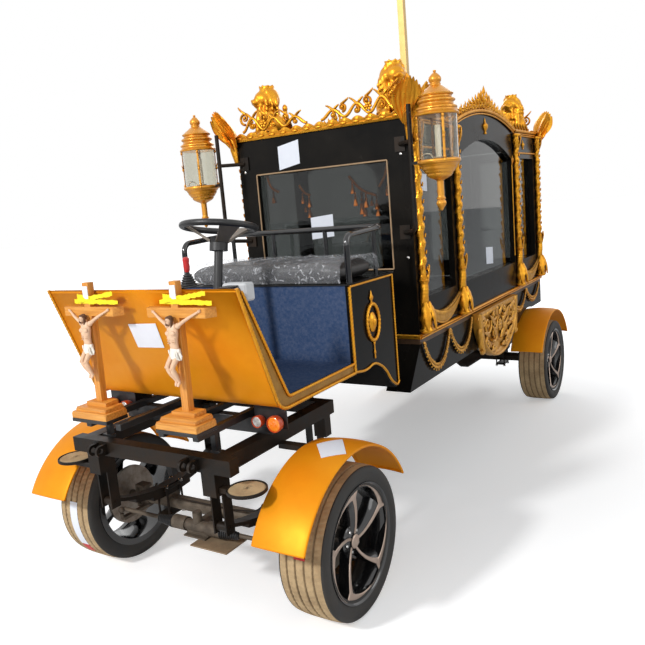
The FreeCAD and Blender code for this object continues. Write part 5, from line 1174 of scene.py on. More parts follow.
# Lions: four seated crowned lions in gilt resin, on the roof's corners, each looking
# outward over its shoulder.
def lion_shapes():
    """Seated body, limbs, mane, head and crown as ellipsoids and limbs about the seat's middle."""
    parts = [
        blob((0.092, 0.088, 0.07), (0, 0.012, 0.072), 15, 24),
        blob((0.07, 0.066, 0.1), (0, -0.012, 0.135), 15, 24),
        slab((-0.086, -0.092, 0.0), (0.086, 0.088, 0.014)),
    ]
    for side in (-1, 1):
        parts.append(blob((0.036, 0.056, 0.058), (side * 0.076, -0.012, 0.062), 13, 20))
        parts.append(blob((0.026, 0.042, 0.02), (side * 0.08, -0.068, 0.024), 9, 14))
        line = np.array([(side * 0.04, -0.06, 0.15), (side * 0.043, -0.078, 0.08), (side * 0.042, -0.078, 0.018)])
        parts.append(limb(line, 0.021, 0.021, (1, 0, 0), 12))
        parts.append(blob((0.024, 0.03, 0.016), (side * 0.042, -0.09, 0.024), 9, 14))
    tail = rounded([(0.0, 0.09, 0.03), (0.075, 0.1, 0.04), (0.098, 0.05, 0.095), (0.085, 0.045, 0.15)],
                   [0.05, 0.05])
    parts.append(limb(tail, 0.011, 0.011, (0, 0, 1), 10))
    parts.append(blob((0.018, 0.018, 0.026), (0.085, 0.045, 0.16), 9, 12))
    head = [
        blob((0.08, 0.062, 0.074), (0, 0.014, 0.0), 13, 20), blob((0.056, 0.055, 0.052), (0, -0.03, 0.004), 13, 20),
        blob((0.033, 0.029, 0.023), (0, -0.073, -0.012), 11, 16),
        blob((0.024, 0.022, 0.013), (0, -0.067, -0.036), 9, 12),
        blob((0.014, 0.008, 0.009), (0, -0.101, -0.002), 7, 10),
    ]
    for side in (-1, 1):
        head.append(blob((0.015, 0.012, 0.009), (side * 0.022, -0.07, 0.018), 7, 10))
        head.append(blob((0.019, 0.017, 0.015), (side * 0.015, -0.086, -0.014), 7, 10))
        head.append(blob((0.015, 0.01, 0.017), (side * 0.048, -0.014, 0.048), 7, 10))
        for reach, low in ((0.062, 0.014), (0.074, -0.012), (0.07, -0.04), (0.055, -0.064)):
            for depth in (-0.026, 0.008, 0.04):
                root = np.array([side * reach * 0.72, depth, low])
                tip = root + (side * 0.034, 0.006, -0.044)
                head.append(leaf(root, tip, (side * 0.5, -0.3, 0.5), 0.013, 0.35, 1, 0.011, 8, 8))
    for low in (-0.03, -0.058, -0.084):
        for x in (-0.03, 0.0, 0.03):
            head.append(leaf((x, -0.045 - 0.1 * abs(x), low), (x * 1.3, -0.058, low - 0.044), (0, -1, 0), 0.014,
                             0.3, 1, 0.01, 8, 8))
    crown = lathe([(0.0, 0.05), (0.04, 0.046), (0.047, 0.048), (0.048, 0.056), (0.043, 0.059), (0.044, 0.07),
                   (0.05, 0.076), (0.047, 0.08), (0.03, 0.078), (0.0, 0.084)], 24)
    head.append(crown)
    for number in range(8):
        turn = number * np.pi / 4
        head.append(blob((0.008, 0.008, 0.007), (0.045 * math.cos(turn), 0.045 * math.sin(turn), 0.08), 7, 8))
    return joined(*parts), joined(*head)


def fused(name, shape, voxel, smooth=2):
    """Overlapping closed shapes made one skin by a voxel remesh, then eased a little."""
    mesh = bpy.data.meshes.new(name)
    faces = [tuple(face) for group in shape[1] for face in group]
    mesh.from_pydata([tuple(point) for point in shape[0]], [], faces)
    thing = bpy.data.objects.new(name, mesh)
    view.collection.objects.link(thing)
    remesh = thing.modifiers.new("skin", "REMESH")
    remesh.mode = "VOXEL"
    remesh.voxel_size = voxel
    ease = thing.modifiers.new("ease", "SMOOTH")
    ease.iterations = smooth
    ease.factor = 0.5
    done = thing.evaluated_get(bpy.context.evaluated_depsgraph_get()).to_mesh()
    points = np.empty(len(done.vertices) * 3)
    done.vertices.foreach_get("co", points)
    quads = np.empty(len(done.loops), int)
    done.loops.foreach_get("vertex_index", quads)
    result = points.reshape(-1, 3).copy(), [quads.reshape(-1, 4).copy()]
    bpy.data.objects.remove(thing)
    bpy.data.meshes.remove(mesh)
    return result


lion_low, lion_high = bounds_of("lions")
LION_X = 0.395
LION_Y = (lion_high[1] - lion_low[1]) / 2 - 0.0968
LION_SIZE = 0.92
lion_body, lion_head = lion_shapes()
lion_work = []
for end in (-1, 1):
    for side in (-1, 1):
        pose = set_in(lion_head, turned_about("z", side * -end * 0.45), (0, -0.018, 0.222))
        whole = joined(lion_body, pose)
        whole = set_in(whole, LION_SIZE * turned_about("z", side * 0.3),
                       (side * LION_X, BODY_MIDDLE + end * LION_Y, lion_low[2]))
        lion_work.append(fused("lion", whole, 0.0063, 4))
piece("crowned_lions", lion_work, gold_leaf, "chassis", ["lions"], crease=180, repair=False)


# Corner leaves: two broad cupped acanthus leaves at each upper corner, rooted on the
# cornice, their scalloped tips curling outward. Cast in resin and gilt.
def fan_leaf(root, tip, face, width, cup=0.35, curl=0.25, lobes=7, thick=0.008):
    """A cupped fan: half width w sin(pi s / 1.24), ends reaching s (1 - 0.2 t^2 + 0.07 |cos(lobes pi t / 2)|)."""
    root, tip, face = (np.asarray(v, float) for v in (root, tip, face))
    size = np.linalg.norm(tip - root)
    along = (tip - root) / size
    aside = np.cross(along, face)
    aside /= np.linalg.norm(aside)
    out = np.cross(aside, along)
    s, t = np.linspace(0, 1, 24)[:, None], np.linspace(-1, 1, 43)[None, :]
    half = width * (0.2 + 0.8 * np.sin(np.pi / 2 * np.clip(s / 0.66, 0,
                                                           1))) * (1 - 0.22 * np.clip((s - 0.72) / 0.28, 0, 1) ** 2)
    scallop = np.abs(np.cos(lobes * np.pi * t / 2))
    reach = s * size * (1 - 0.2 * t ** 2 + 0.07 * (scallop - 1) * s)
    rise = size * curl * s ** 2.4 + cup * half * t ** 2 + 0.007 * scallop * s * (1 - 0.5 * s)
    middle = root + along * reach[..., None] + aside * (half * t)[..., None] + out * rise[..., None]
    deep = (thick * (1 - 0.55 * s) * (1 - t ** 6) ** 0.5)[..., None] / 2
    rings = np.concatenate([middle + out * deep, (middle - out * deep)[:, ::-1]], 1)
    close = np.concatenate([middle, middle[:, ::-1]], 1)
    return surface(np.concatenate([close[:1], rings, close[-1:]]), round_cols=True)


corner_work = []
for end in (-1, 1):
    for side in (-1, 1):
        corner = np.array([side * BODY_HALF, BODY_FRONT if end < 0 else BODY_REAR, WALL_TOP])
        flip = np.array([side, end, 1])
        far = 1.0 if end < 0 else 0.7
        for start, stop, face, width, curl in (
                ((0.0, 0.01, -0.03), (0.066, 0.062 * far, 0.184), (0.3, 1.0, -0.1), 0.078, 0.12 * far),
                ((0.012, -0.014, -0.02), (0.052 + 0.018 * far, -0.01, 0.166), (1.0, -0.1, -0.3), 0.064, 0.2 * far),
                ((0.012, 0.006, -0.06), (0.042, 0.032 * far, 0.062), (0.8, 0.8, -0.2), 0.046, 0.2 * far)):
            corner_work.append(fan_leaf(corner + flip * start, corner + flip * stop, flip * face, width, 0.3, curl))
        post = [corner + (side * 0.01, end * 0.008, -0.115), corner + (side * 0.018, end * 0.012, -0.04),
                corner + (side * 0.024, end * 0.016, 0.05)]
        corner_work.append(limb(post, (0.012, 0.024, 0.016), (0.01, 0.018, 0.012), (1, 0.01, 0), 14))
piece("acanthus_corners", corner_work, gold_leaf, "chassis", ["corner_leaves"], crease=70)


# Roof cross: a square tube pole and bar in pale gold paint, screwed to the roof.
# It is the frame's own shape, and takes only its finish here.
pole_gold = finish("pole_gold", (0.8, 0.52, 0.16), (0.66, 0.38, 0.08), scale=9, amount=0.6, rough=0.33, metal=0.3,
                   coat=0.2)
dressed(pole_gold, "roof_cross")


# Lanterns: spun and cast metal, gilt, glazed with a clear cylinder behind four bars.
# Roped and beaded edges mark the tiers; a white candle stands inside on a cup.
LANTERN_R = 0.104
lantern_low, lantern_high = bounds_of("lanterns")
LANTERN_X = lantern_high[0] - LANTERN_R
LANTERN_Y = (lantern_low[1] + lantern_high[1]) / 2
LANTERN_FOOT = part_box("lantern_glass")[0].z
LANTERN_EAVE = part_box("lantern_glass")[1].z


def modelled(profile, around, gap, ribs=()):
    """A turned form with carved bands: r + deep |cos(count (t + wind z) / 2)| between two heights."""
    line = evenly(np.asarray(profile, float), gap)[0]
    t = np.linspace(0, 2 * np.pi, around, endpoint=False)
    radius = line[:, :1] * np.ones(around)
    for low, high, count, deep, wind in ribs:
        inside = np.clip(np.minimum(line[:, 1] - low, high - line[:, 1]) / 0.002, 0, 1)[:, None]
        radius = radius + inside * deep * np.abs(np.cos(count * (t + wind * (line[:, 1:] - low)) / 2))
    return surface(np.stack([radius * np.cos(t), radius * np.sin(t), line[:, 1:] + 0 * radius], -1),
                   round_cols=True)


foot, eave = LANTERN_FOOT, LANTERN_EAVE
lantern_base = modelled([
    (0, 1.5255), (0.006, 1.529), (0.012, 1.54), (0.0205, 1.554), (0.0225, 1.562), (0.019, 1.572), (0.0165, 1.577),
    (0.0225, 1.582), (0.0185, 1.588), (0.016, 1.592), (0.016, 1.664), (0.02, 1.668), (0.034, 1.674), (0.05, 1.682),
    (0.058, 1.692), (0.06, 1.699), (0.065, 1.701), (0.071, 1.708), (0.073, 1.714), (0.077, 1.716), (0.081, 1.724),
    (0.082, 1.731), (0.086, 1.734), (0.09, 1.741), (0.097, foot - 0.02), (0.1, foot - 0.013), (0.1, foot - 0.006),
    (0.095, foot - 0.001), (0.08, foot), (0, foot),
], 72, 0.0034, [(1.545, 1.574, 8, 0.002, 0), (1.683, 1.699, 24, 0.002, 30)])
lantern_cap = modelled([
    (0, eave), (0.096, eave), (0.101, eave + 0.003), (0.102, eave + 0.009), (0.096, eave + 0.013),
    (0.09, eave + 0.02), (0.089, eave + 0.027), (0.0925, eave + 0.03), (0.0925, eave + 0.036),
    (0.083, eave + 0.043), (0.077, eave + 0.053), (0.081, eave + 0.058), (0.086, eave + 0.064),
    (0.082, eave + 0.071), (0.073, eave + 0.076), (0.071, eave + 0.084), (0.077, eave + 0.089),
    (0.078, eave + 0.095), (0.072, eave + 0.099), (0.048, eave + 0.117), (0.027, eave + 0.133),
    (0.0245, eave + 0.137), (0.0265, eave + 0.141), (0.0225, eave + 0.145), (0.0275, eave + 0.151),
    (0.0295, eave + 0.16), (0.027, eave + 0.171), (0.015, eave + 0.184), (0.0065, eave + 0.19),
    (0.005, eave + 0.192), (0.008, eave + 0.196), (0.007, eave + 0.2), (0, 2.1598),
], 80, 0.0035, [(eave + 0.028, eave + 0.038, 44, 0.003, 0), (eave + 0.058, eave + 0.071, 36, 0.0025, 60),
                (eave + 0.088, eave + 0.096, 40, 0.0025, 0), (eave + 0.099, eave + 0.133, 30, 0.0015, 0)])
lantern_work, candle_work = [], []
for side in (-1, 1):
    at = (side * LANTERN_X, LANTERN_Y, 0)
    lantern_work += [set_in(lantern_base, None, at), set_in(lantern_cap, None, at)]
    for number in range(4):
        turn = math.radians(38 + 90 * number)
        way = np.array([math.cos(turn), math.sin(turn), 0.0])
        beside = (-way[1], way[0], 0)
        bar = [at + way * 0.0935 + (0, 0, z) for z in np.linspace(foot - 0.004, eave + 0.004, 12)]
        lantern_work.append(limb(bar, 0.0055, 0.0022, beside, 8))
        for z in (foot + 0.095, foot + 0.005, eave - 0.006):
            lantern_work.append(blob((0.0075, 0.0075, 0.01), at + way * 0.094 + (0, 0, z), 7, 9))
        lantern_work.append(leaf(at + way * 0.093 + (0, 0, foot + 0.095), at + way * 0.099 + (0, 0, foot + 0.122),
                                 way, 0.007, 0.1, 2, 0.003, 10, 7))
        lantern_work.append(blob((0.009, 0.009, 0.009), at + way * 0.0945 + (0, 0, foot - 0.01), 8, 10))
    candle_work.append(set_in(modelled([(0, foot + 0.003), (0.0135, foot + 0.003), (0.0135, foot + 0.15),
                                        (0.01, foot + 0.154), (0, foot + 0.152)], 20, 0.004,
                                        [(foot + 0.006, foot + 0.15, 5, 0.0008, 9)]), None, at))
    cup = [(0, foot + 0.0005), (0.024, foot + 0.0005), (0.03, foot + 0.008), (0.028, foot + 0.009),
           (0.022, foot + 0.003), (0, foot + 0.0025)]
    candle_work.append(set_in(lathe(cup, 28), None, at))
    bend = np.linspace(0.05 * np.pi, 0.95 * np.pi, 20)
    loop = np.stack([-0.052 + 0.03 * np.cos(bend), -0.02 + 0 * bend, foot + 0.004 + 0.024 * np.sin(bend)], -1)
    candle_work.append(set_in(limb(loop, 0.0032, 0.0032, (0, 1, 0), 8), None, at))
# Lantern gilt with painted shade: darker where ambient occlusion finds hollows.
lantern_gold = finish("lantern_gold", (0.8, 0.36, 0.028), (0.62, 0.22, 0.012), scale=18, amount=0.7, rough=0.26,
                      spread=0.15, metal=0.55, hollow_shade=(0.2, 0.05, 0.004), reach=0.016, coat=0.3)
piece("lantern_metal", lantern_work, lantern_gold, "chassis", ["lanterns"], crease=50)
candle_wax = finish("candle_wax", (0.9, 0.86, 0.76), (0.8, 0.74, 0.62), scale=30, rough=0.45)
piece("lantern_candles", candle_work, candle_wax, "chassis", crease=50)
dressed(glass("lantern_pane", (0.76, 0.75, 0.68), 0.08), "lantern_glass")


# Skirt carvings: four garlands of leaves and berries on each side, and between them
# a deep half-round tub of carved scrolls. Cast in resin, gilt, and screwed on.
RELIEF_Y = BODY_MIDDLE - 0.035
RELIEF_HALF = 0.392
RELIEF_DEEP = 0.338
RELIEF_TOP = 0.8737
RELIEF_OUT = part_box("skirt_carvings")[1].x - BODY_HALF


def garland(y0, y1, z_end, drop, side, thick, seed, out=0.012):
    """Leaves in pairs and berries along z = end - drop (1 - (2s - 1)^2)^0.8, fuller towards the middle."""
    dice = np.random.default_rng(seed)
    s = np.linspace(0, 1, 90)
    path = np.stack([np.full(90, side * (BODY_HALF + out * 0.6)), y0 + (y1 - y0) * s,
                     z_end - drop * np.clip(1 - (2 * s - 1) ** 2, 0, 1) ** 0.8], -1)
    path, marks = evenly(path, 0.0138)
    share = marks / marks[-1]
    full = thick * (0.45 + 0.75 * np.sin(np.pi * share) ** 1.3)
    ahead = np.gradient(path, axis=0)
    ahead /= np.linalg.norm(ahead, axis=1)[:, None]
    below = np.stack([0 * share, ahead[:, 2], -ahead[:, 1]], -1) * np.sign(y1 - y0)
    work = [limb(path, 0.005, full * 0.14, (1, 0, 0), 7)]
    proud = np.array([side, 0, 0])
    for number in range(len(path)):
        onward = ahead[number] * (1 if share[number] < 0.5 else -1)
        for sign in (-1, 1):
            start = path[number] + below[number] * sign * full[number] * 0.08
            stop = start + below[number] * sign * full[number] * dice.uniform(0.6, 0.95) + onward * 0.012
            work.append(leaf(start, stop + proud * 0.004, proud, 0.0064, 0.5, 1, 0.0045, 6, 6))
        if number % 2 == 0:
            work.append(blob((0.0055,) * 3, path[number] + below[number] * full[number] * 1.2 + proud * 0.005, 6,
                             7))
        else:
            work.append(blob((0.005,) * 3, path[number] - below[number] * full[number] * 0.3 + proud * 0.009, 6, 7))
    return joined(*work)


def relief_tub(side):
    """A half-round tub: a banded wall and rolled lip over (share of radius, angle), and a fluted dish inside."""
    x0, out = BODY_HALF + 0.0006, RELIEF_OUT - 0.002
    line = np.array([(0, 0), (0.985, 0), (1.0, 0.004), (1.0, out - 0.018), (0.995, out - 0.006), (0.975, out),
                     (0.95, out - 0.004), (0.935, out - 0.018), (0.9, out - 0.026), (0.7, out - 0.036),
                     (0.4, out - 0.026), (0, out - 0.02)])
    line = evenly(line * (0.35, 1), 0.0078)[0] / (0.35, 1)
    t = np.linspace(0, np.pi, 83)
    share, lift = line[:, :1], line[:, 1:]
    dish = np.clip((0.88 - share) / 0.05, 0, 1) * (lift > out * 0.3)
    lift = lift + dish * 0.006 * (np.abs(np.sin(9 * t)) - 0.5) * share
    points = np.stack([side * (x0 + lift), RELIEF_Y + RELIEF_HALF * share * np.cos(t),
                       RELIEF_TOP - 0.002 - (RELIEF_DEEP - 0.004) * share * np.sin(t) + 0 * lift], -1)
    top = slab((min(side * x0, side * (x0 + out - 0.012)), RELIEF_Y - RELIEF_HALF, RELIEF_TOP - 0.008),
               (max(side * x0, side * (x0 + out - 0.012)), RELIEF_Y + RELIEF_HALF, RELIEF_TOP))
    return joined(surface(points), top)


def relief_carving(side):
    """Scrolls, leaves and a flower set in the tub, mirrored about its middle, with a scroll post at each end."""
    x = side * (BODY_HALF + RELIEF_OUT - 0.016)
    plane = ((0, 1, 0), (0, 0, 1))
    work = []
    for sign in (-1, 1):
        def spot(y, z, deep=0.0):
            return np.array([x - side * deep, RELIEF_Y + sign * y, z])
        for y, z, size, start, turns in ((0.235, 0.775, 0.068, 0.9, 1.5), (0.115, 0.7, 0.058, -0.2, -1.4),
                                         (0.245, 0.66, 0.046, 0.4, -1.3), (0.105, 0.82, 0.038, 1.2, 1.3),
                                         (0.315, 0.8, 0.036, 0.1, 1.3), (0.135, 0.605, 0.04, 1.0, 1.4)):
            begin = start * np.pi if sign > 0 else np.pi - start * np.pi
            work.append(volute(spot(y, z), size, begin, turns * sign, plane, 0.01, 0.011))
        for y0, z0, y1, z1, wide in ((0.03, 0.64, 0.16, 0.76, 0.02), (0.06, 0.74, 0.2, 0.83, 0.018),
                                     (0.18, 0.7, 0.31, 0.74, 0.018), (0.05, 0.59, 0.2, 0.6, 0.016),
                                     (0.16, 0.62, 0.28, 0.69, 0.016), (0.24, 0.8, 0.34, 0.845, 0.016),
                                     (0.02, 0.8, 0.08, 0.86, 0.016), (0.1, 0.66, 0.04, 0.79, 0.015),
                                     (0.3, 0.71, 0.34, 0.8, 0.014)):
            work.append(leaf(spot(y0, z0, 0.008), spot(y1, z1, 0.004), (side, 0, 0.1), wide, 0.1, 4, 0.007, 16, 8))
        post_y = RELIEF_Y + sign * (RELIEF_HALF - 0.03)
        post = [(x - side * 0.006, post_y + sign * off, z) for off, z in
                ((0.004, 0.866), (-0.008, 0.82), (0.0, 0.75), (-0.01, 0.7), (-0.026, 0.64))]
        post = evenly(rounded(post, [0.03] * 3), 0.008)[0]
        bulge = 0.017 + 0.007 * np.sin(np.linspace(0, 3 * np.pi, len(post))) ** 2
        work.append(limb(post, bulge, 0.02, (0, 1, 0), 14))
        work.append(volute((x, post_y - sign * 0.024, 0.64), 0.026, (0.5 - sign * 0.5) * np.pi, -1.3 * sign, plane,
                           0.012, 0.013))
        work.append(volute((x, post_y + sign * 0.004, 0.846), 0.022, (0.5 + sign * 0.5) * np.pi, 1.2 * sign, plane,
                           0.01, 0.012))
        work.append(leaf((x, post_y, 0.84), (x, post_y - sign * 0.012, 0.71), (side, 0, 0), 0.018, 0.06, 4, 0.008,
                         16, 8))
    for number in range(10):
        turn = number * np.pi / 5
        way = np.array([0, math.cos(turn), math.sin(turn)])
        heart = np.array([x + side * 0.002, RELIEF_Y, 0.735])
        work.append(leaf(heart + way * 0.008, heart + way * 0.04, (side, 0, 0), 0.013, 0.16, 1, 0.005, 10, 8))
    work.append(blob((0.012, 0.015, 0.015), (x + side * 0.002, RELIEF_Y, 0.735), 8, 12))
    top = evenly(np.array([(x - side * 0.008, RELIEF_Y + y,
                            0.868 - 0.01 * abs(y) / 0.37) for y in np.linspace(-0.37, 0.37, 30)]), 0.014)[0]
    work.append(limb(top, 0.008, 0.009, (0, 0, 1), 9))
    for number in range(0, len(top), 2):
        away = 1 if top[number][1] > RELIEF_Y else -1
        work.append(leaf(top[number], top[number] + (side * 0.002, away * 0.03, -0.026), (side, 0, 0), 0.01, 0.2, 2,
                         0.005, 10, 7))
    return joined(*work)


GARLAND_FRONT = BODY_FRONT + 0.024
GARLAND_STEP = (RELIEF_Y - RELIEF_HALF - 0.018 - GARLAND_FRONT) / 2
GARLAND_FAR = RELIEF_Y + RELIEF_HALF + 0.018
carving_work = []
for side in (-1, 1):
    for start, drop, seed in ((GARLAND_FRONT, 0.176, 1), (GARLAND_FRONT + GARLAND_STEP + 0.006, 0.166, 2),
                              (GARLAND_FAR, 0.128, 3), (GARLAND_FAR + GARLAND_STEP + 0.006, 0.108, 4)):
        carving_work.append(garland(start, start + GARLAND_STEP - 0.008, 0.858, drop - 0.012, side, 0.017, seed))
    carving_work += [relief_tub(side), relief_carving(side)]
# A darker, duller copy of the gilt as painted shade on the side carvings, with more painted shade where ambient
# occlusion finds hollows.
shade_gold = finish("carved_gold_painted_shade", (0.72, 0.36, 0.045), (0.5, 0.22, 0.02), scale=30, amount=0.8, rough=0.3,
                    spread=0.2, metal=0.55, bump=0.0006, grain=150, hollow_shade=(0.11, 0.035, 0.005), reach=0.02,
                    deep=0.9, coat=0.2)
piece("skirt_relief", carving_work, shade_gold, "chassis", ["skirt_carvings"], crease=55)


# Body garlands: a thick swag of ruffled leaves between each pair of outer columns,
# low on the wall, gilt like the rest and screwed through from inside.
def swag(y0, y1, z_end, drop, side):
    """A full swag: a tube of radius r (1 + 0.2 |sin(4.5 a + 60 s)| + 0.14 sin 200 s), berries on its lower edge."""
    s = np.linspace(0, 1, 60)
    path = np.stack([np.full(60, side * (BODY_HALF + 0.004)), y0 + (y1 - y0) * s,
                     z_end - drop * np.sin(np.pi * s) ** 0.9], -1)
    path, marks = evenly(path, 0.006)
    share = marks / marks[-1]
    full = 0.011 + 0.019 * np.sin(np.pi * share) ** 1.2
    t = np.linspace(0, 2 * np.pi, 28, endpoint=False)
    ragged = 1 + 0.2 * np.abs(np.sin(4.5 * t + share[:, None] * 60)) + 0.14 * np.sin(share[:, None] * 200)
    body = limb(path, full, 0.013, (0, 0, 1), 28)
    points = body[0][:len(path) * 28].reshape(len(path), 28, 3)
    points = path[:, None] + (points - path[:, None]) * ragged[..., None]
    points[..., 0] = side * np.maximum(side * points[..., 0], BODY_HALF + 0.0005)
    work = [surface(points, round_cols=True)]
    for number in range(3, len(path) - 3, 2):
        work.append(blob((0.006, 0.007, 0.007), path[number] + (side * 0.006, 0, -full[number] * 1.12), 6, 8))
        rise = path[number] + (side * 0.01, 0, full[number] * 0.2)
        work.append(leaf(rise, rise + (side * 0.004, 0.012 * np.sign(0.5 - share[number]), full[number] * 0.85),
                         (side, 0, 0), 0.007, 0.3, 1, 0.004, 8, 6))
    return joined(*work)


swag_work = []
for side in (-1, 1):
    for sign in (-1, 1):
        near, far = sorted((BODY_MIDDLE + sign * 0.606, BODY_MIDDLE + sign * 1.108))
        swag_work.append(swag(near, far, 1.034, 0.09, side))
# The swags take the darker copy of the gilt, with its painted shade.
piece("body_swags", swag_work, shade_gold, "chassis", crease=60)


# Crosses: planed light wood, glued up, with a cast and painted figure on each and a
# blank white plate above it; yellow tape is wound round the top of each post.
CROSS_X = 0.232
CROSS_FACE = 0.018
BAR_LOW, BAR_HIGH = 1.2475, 1.2845


def chamfered(low, high, ease):
    """A box whose every edge is cut at 45 degrees: each corner becomes three points."""
    low, high = np.asarray(low, float), np.asarray(high, float)
    middle, half = (low + high) / 2, (high - low) / 2
    signs = [(a, b, c) for a in (-1, 1) for b in (-1, 1) for c in (-1, 1)]
    points = [middle + np.where(np.arange(3) == axis, half,
                                half - ease) * sign for sign in signs for axis in range(3)]

    def corner(along, end, a, b):
        sign = [a, b]
        sign.insert(along, end)
        return 3 * signs.index(tuple(sign))

    quads = [[corner(axis, end, a, b) + axis for a, b in ((-1, -1), (1, -1), (1, 1), (-1, 1))]
             for axis in range(3) for end in (-1, 1)]
    for along in range(3):
        first, second = [axis for axis in range(3) if axis != along]
        for a in (-1, 1):
            for b in (-1, 1):
                start, stop = corner(along, -1, a, b), corner(along, 1, a, b)
                quads.append([start + first, stop + first, stop + second, start + second])
    return np.array(points), [np.array(quads), np.arange(24).reshape(8, 3)]


def timber(name, light, dark, along):
    """Planed wood: noise stretched along one direction of the Object space, as two tones of grain."""
    material = finish(name, light, dark, rough=0.42, coat=0.15)
    tree = material.node_tree
    place = node(tree, "TexCoord")
    stretch = node(tree, "Mapping", {"Vector": place.outputs["Object"],
                                     "Scale": [7 if axis == along else 110 for axis in "xyz"]})
    grain = node(tree, "TexNoise", {"Vector": stretch.outputs[0], "Scale": 1.0, "Detail": 5})
    spread = node(tree, "MapRange", {"Value": grain.outputs["Fac"], "From Min": 0.35, "From Max": 0.7})
    tone = node(tree, "Mix", {"Factor": spread.outputs["Result"], "A": (*light, 1), "B": (*dark, 1)},
                data_type="RGBA")
    fed(tree.nodes["Principled BSDF"], {"Base Color": tone.outputs["Result"]})
    return material


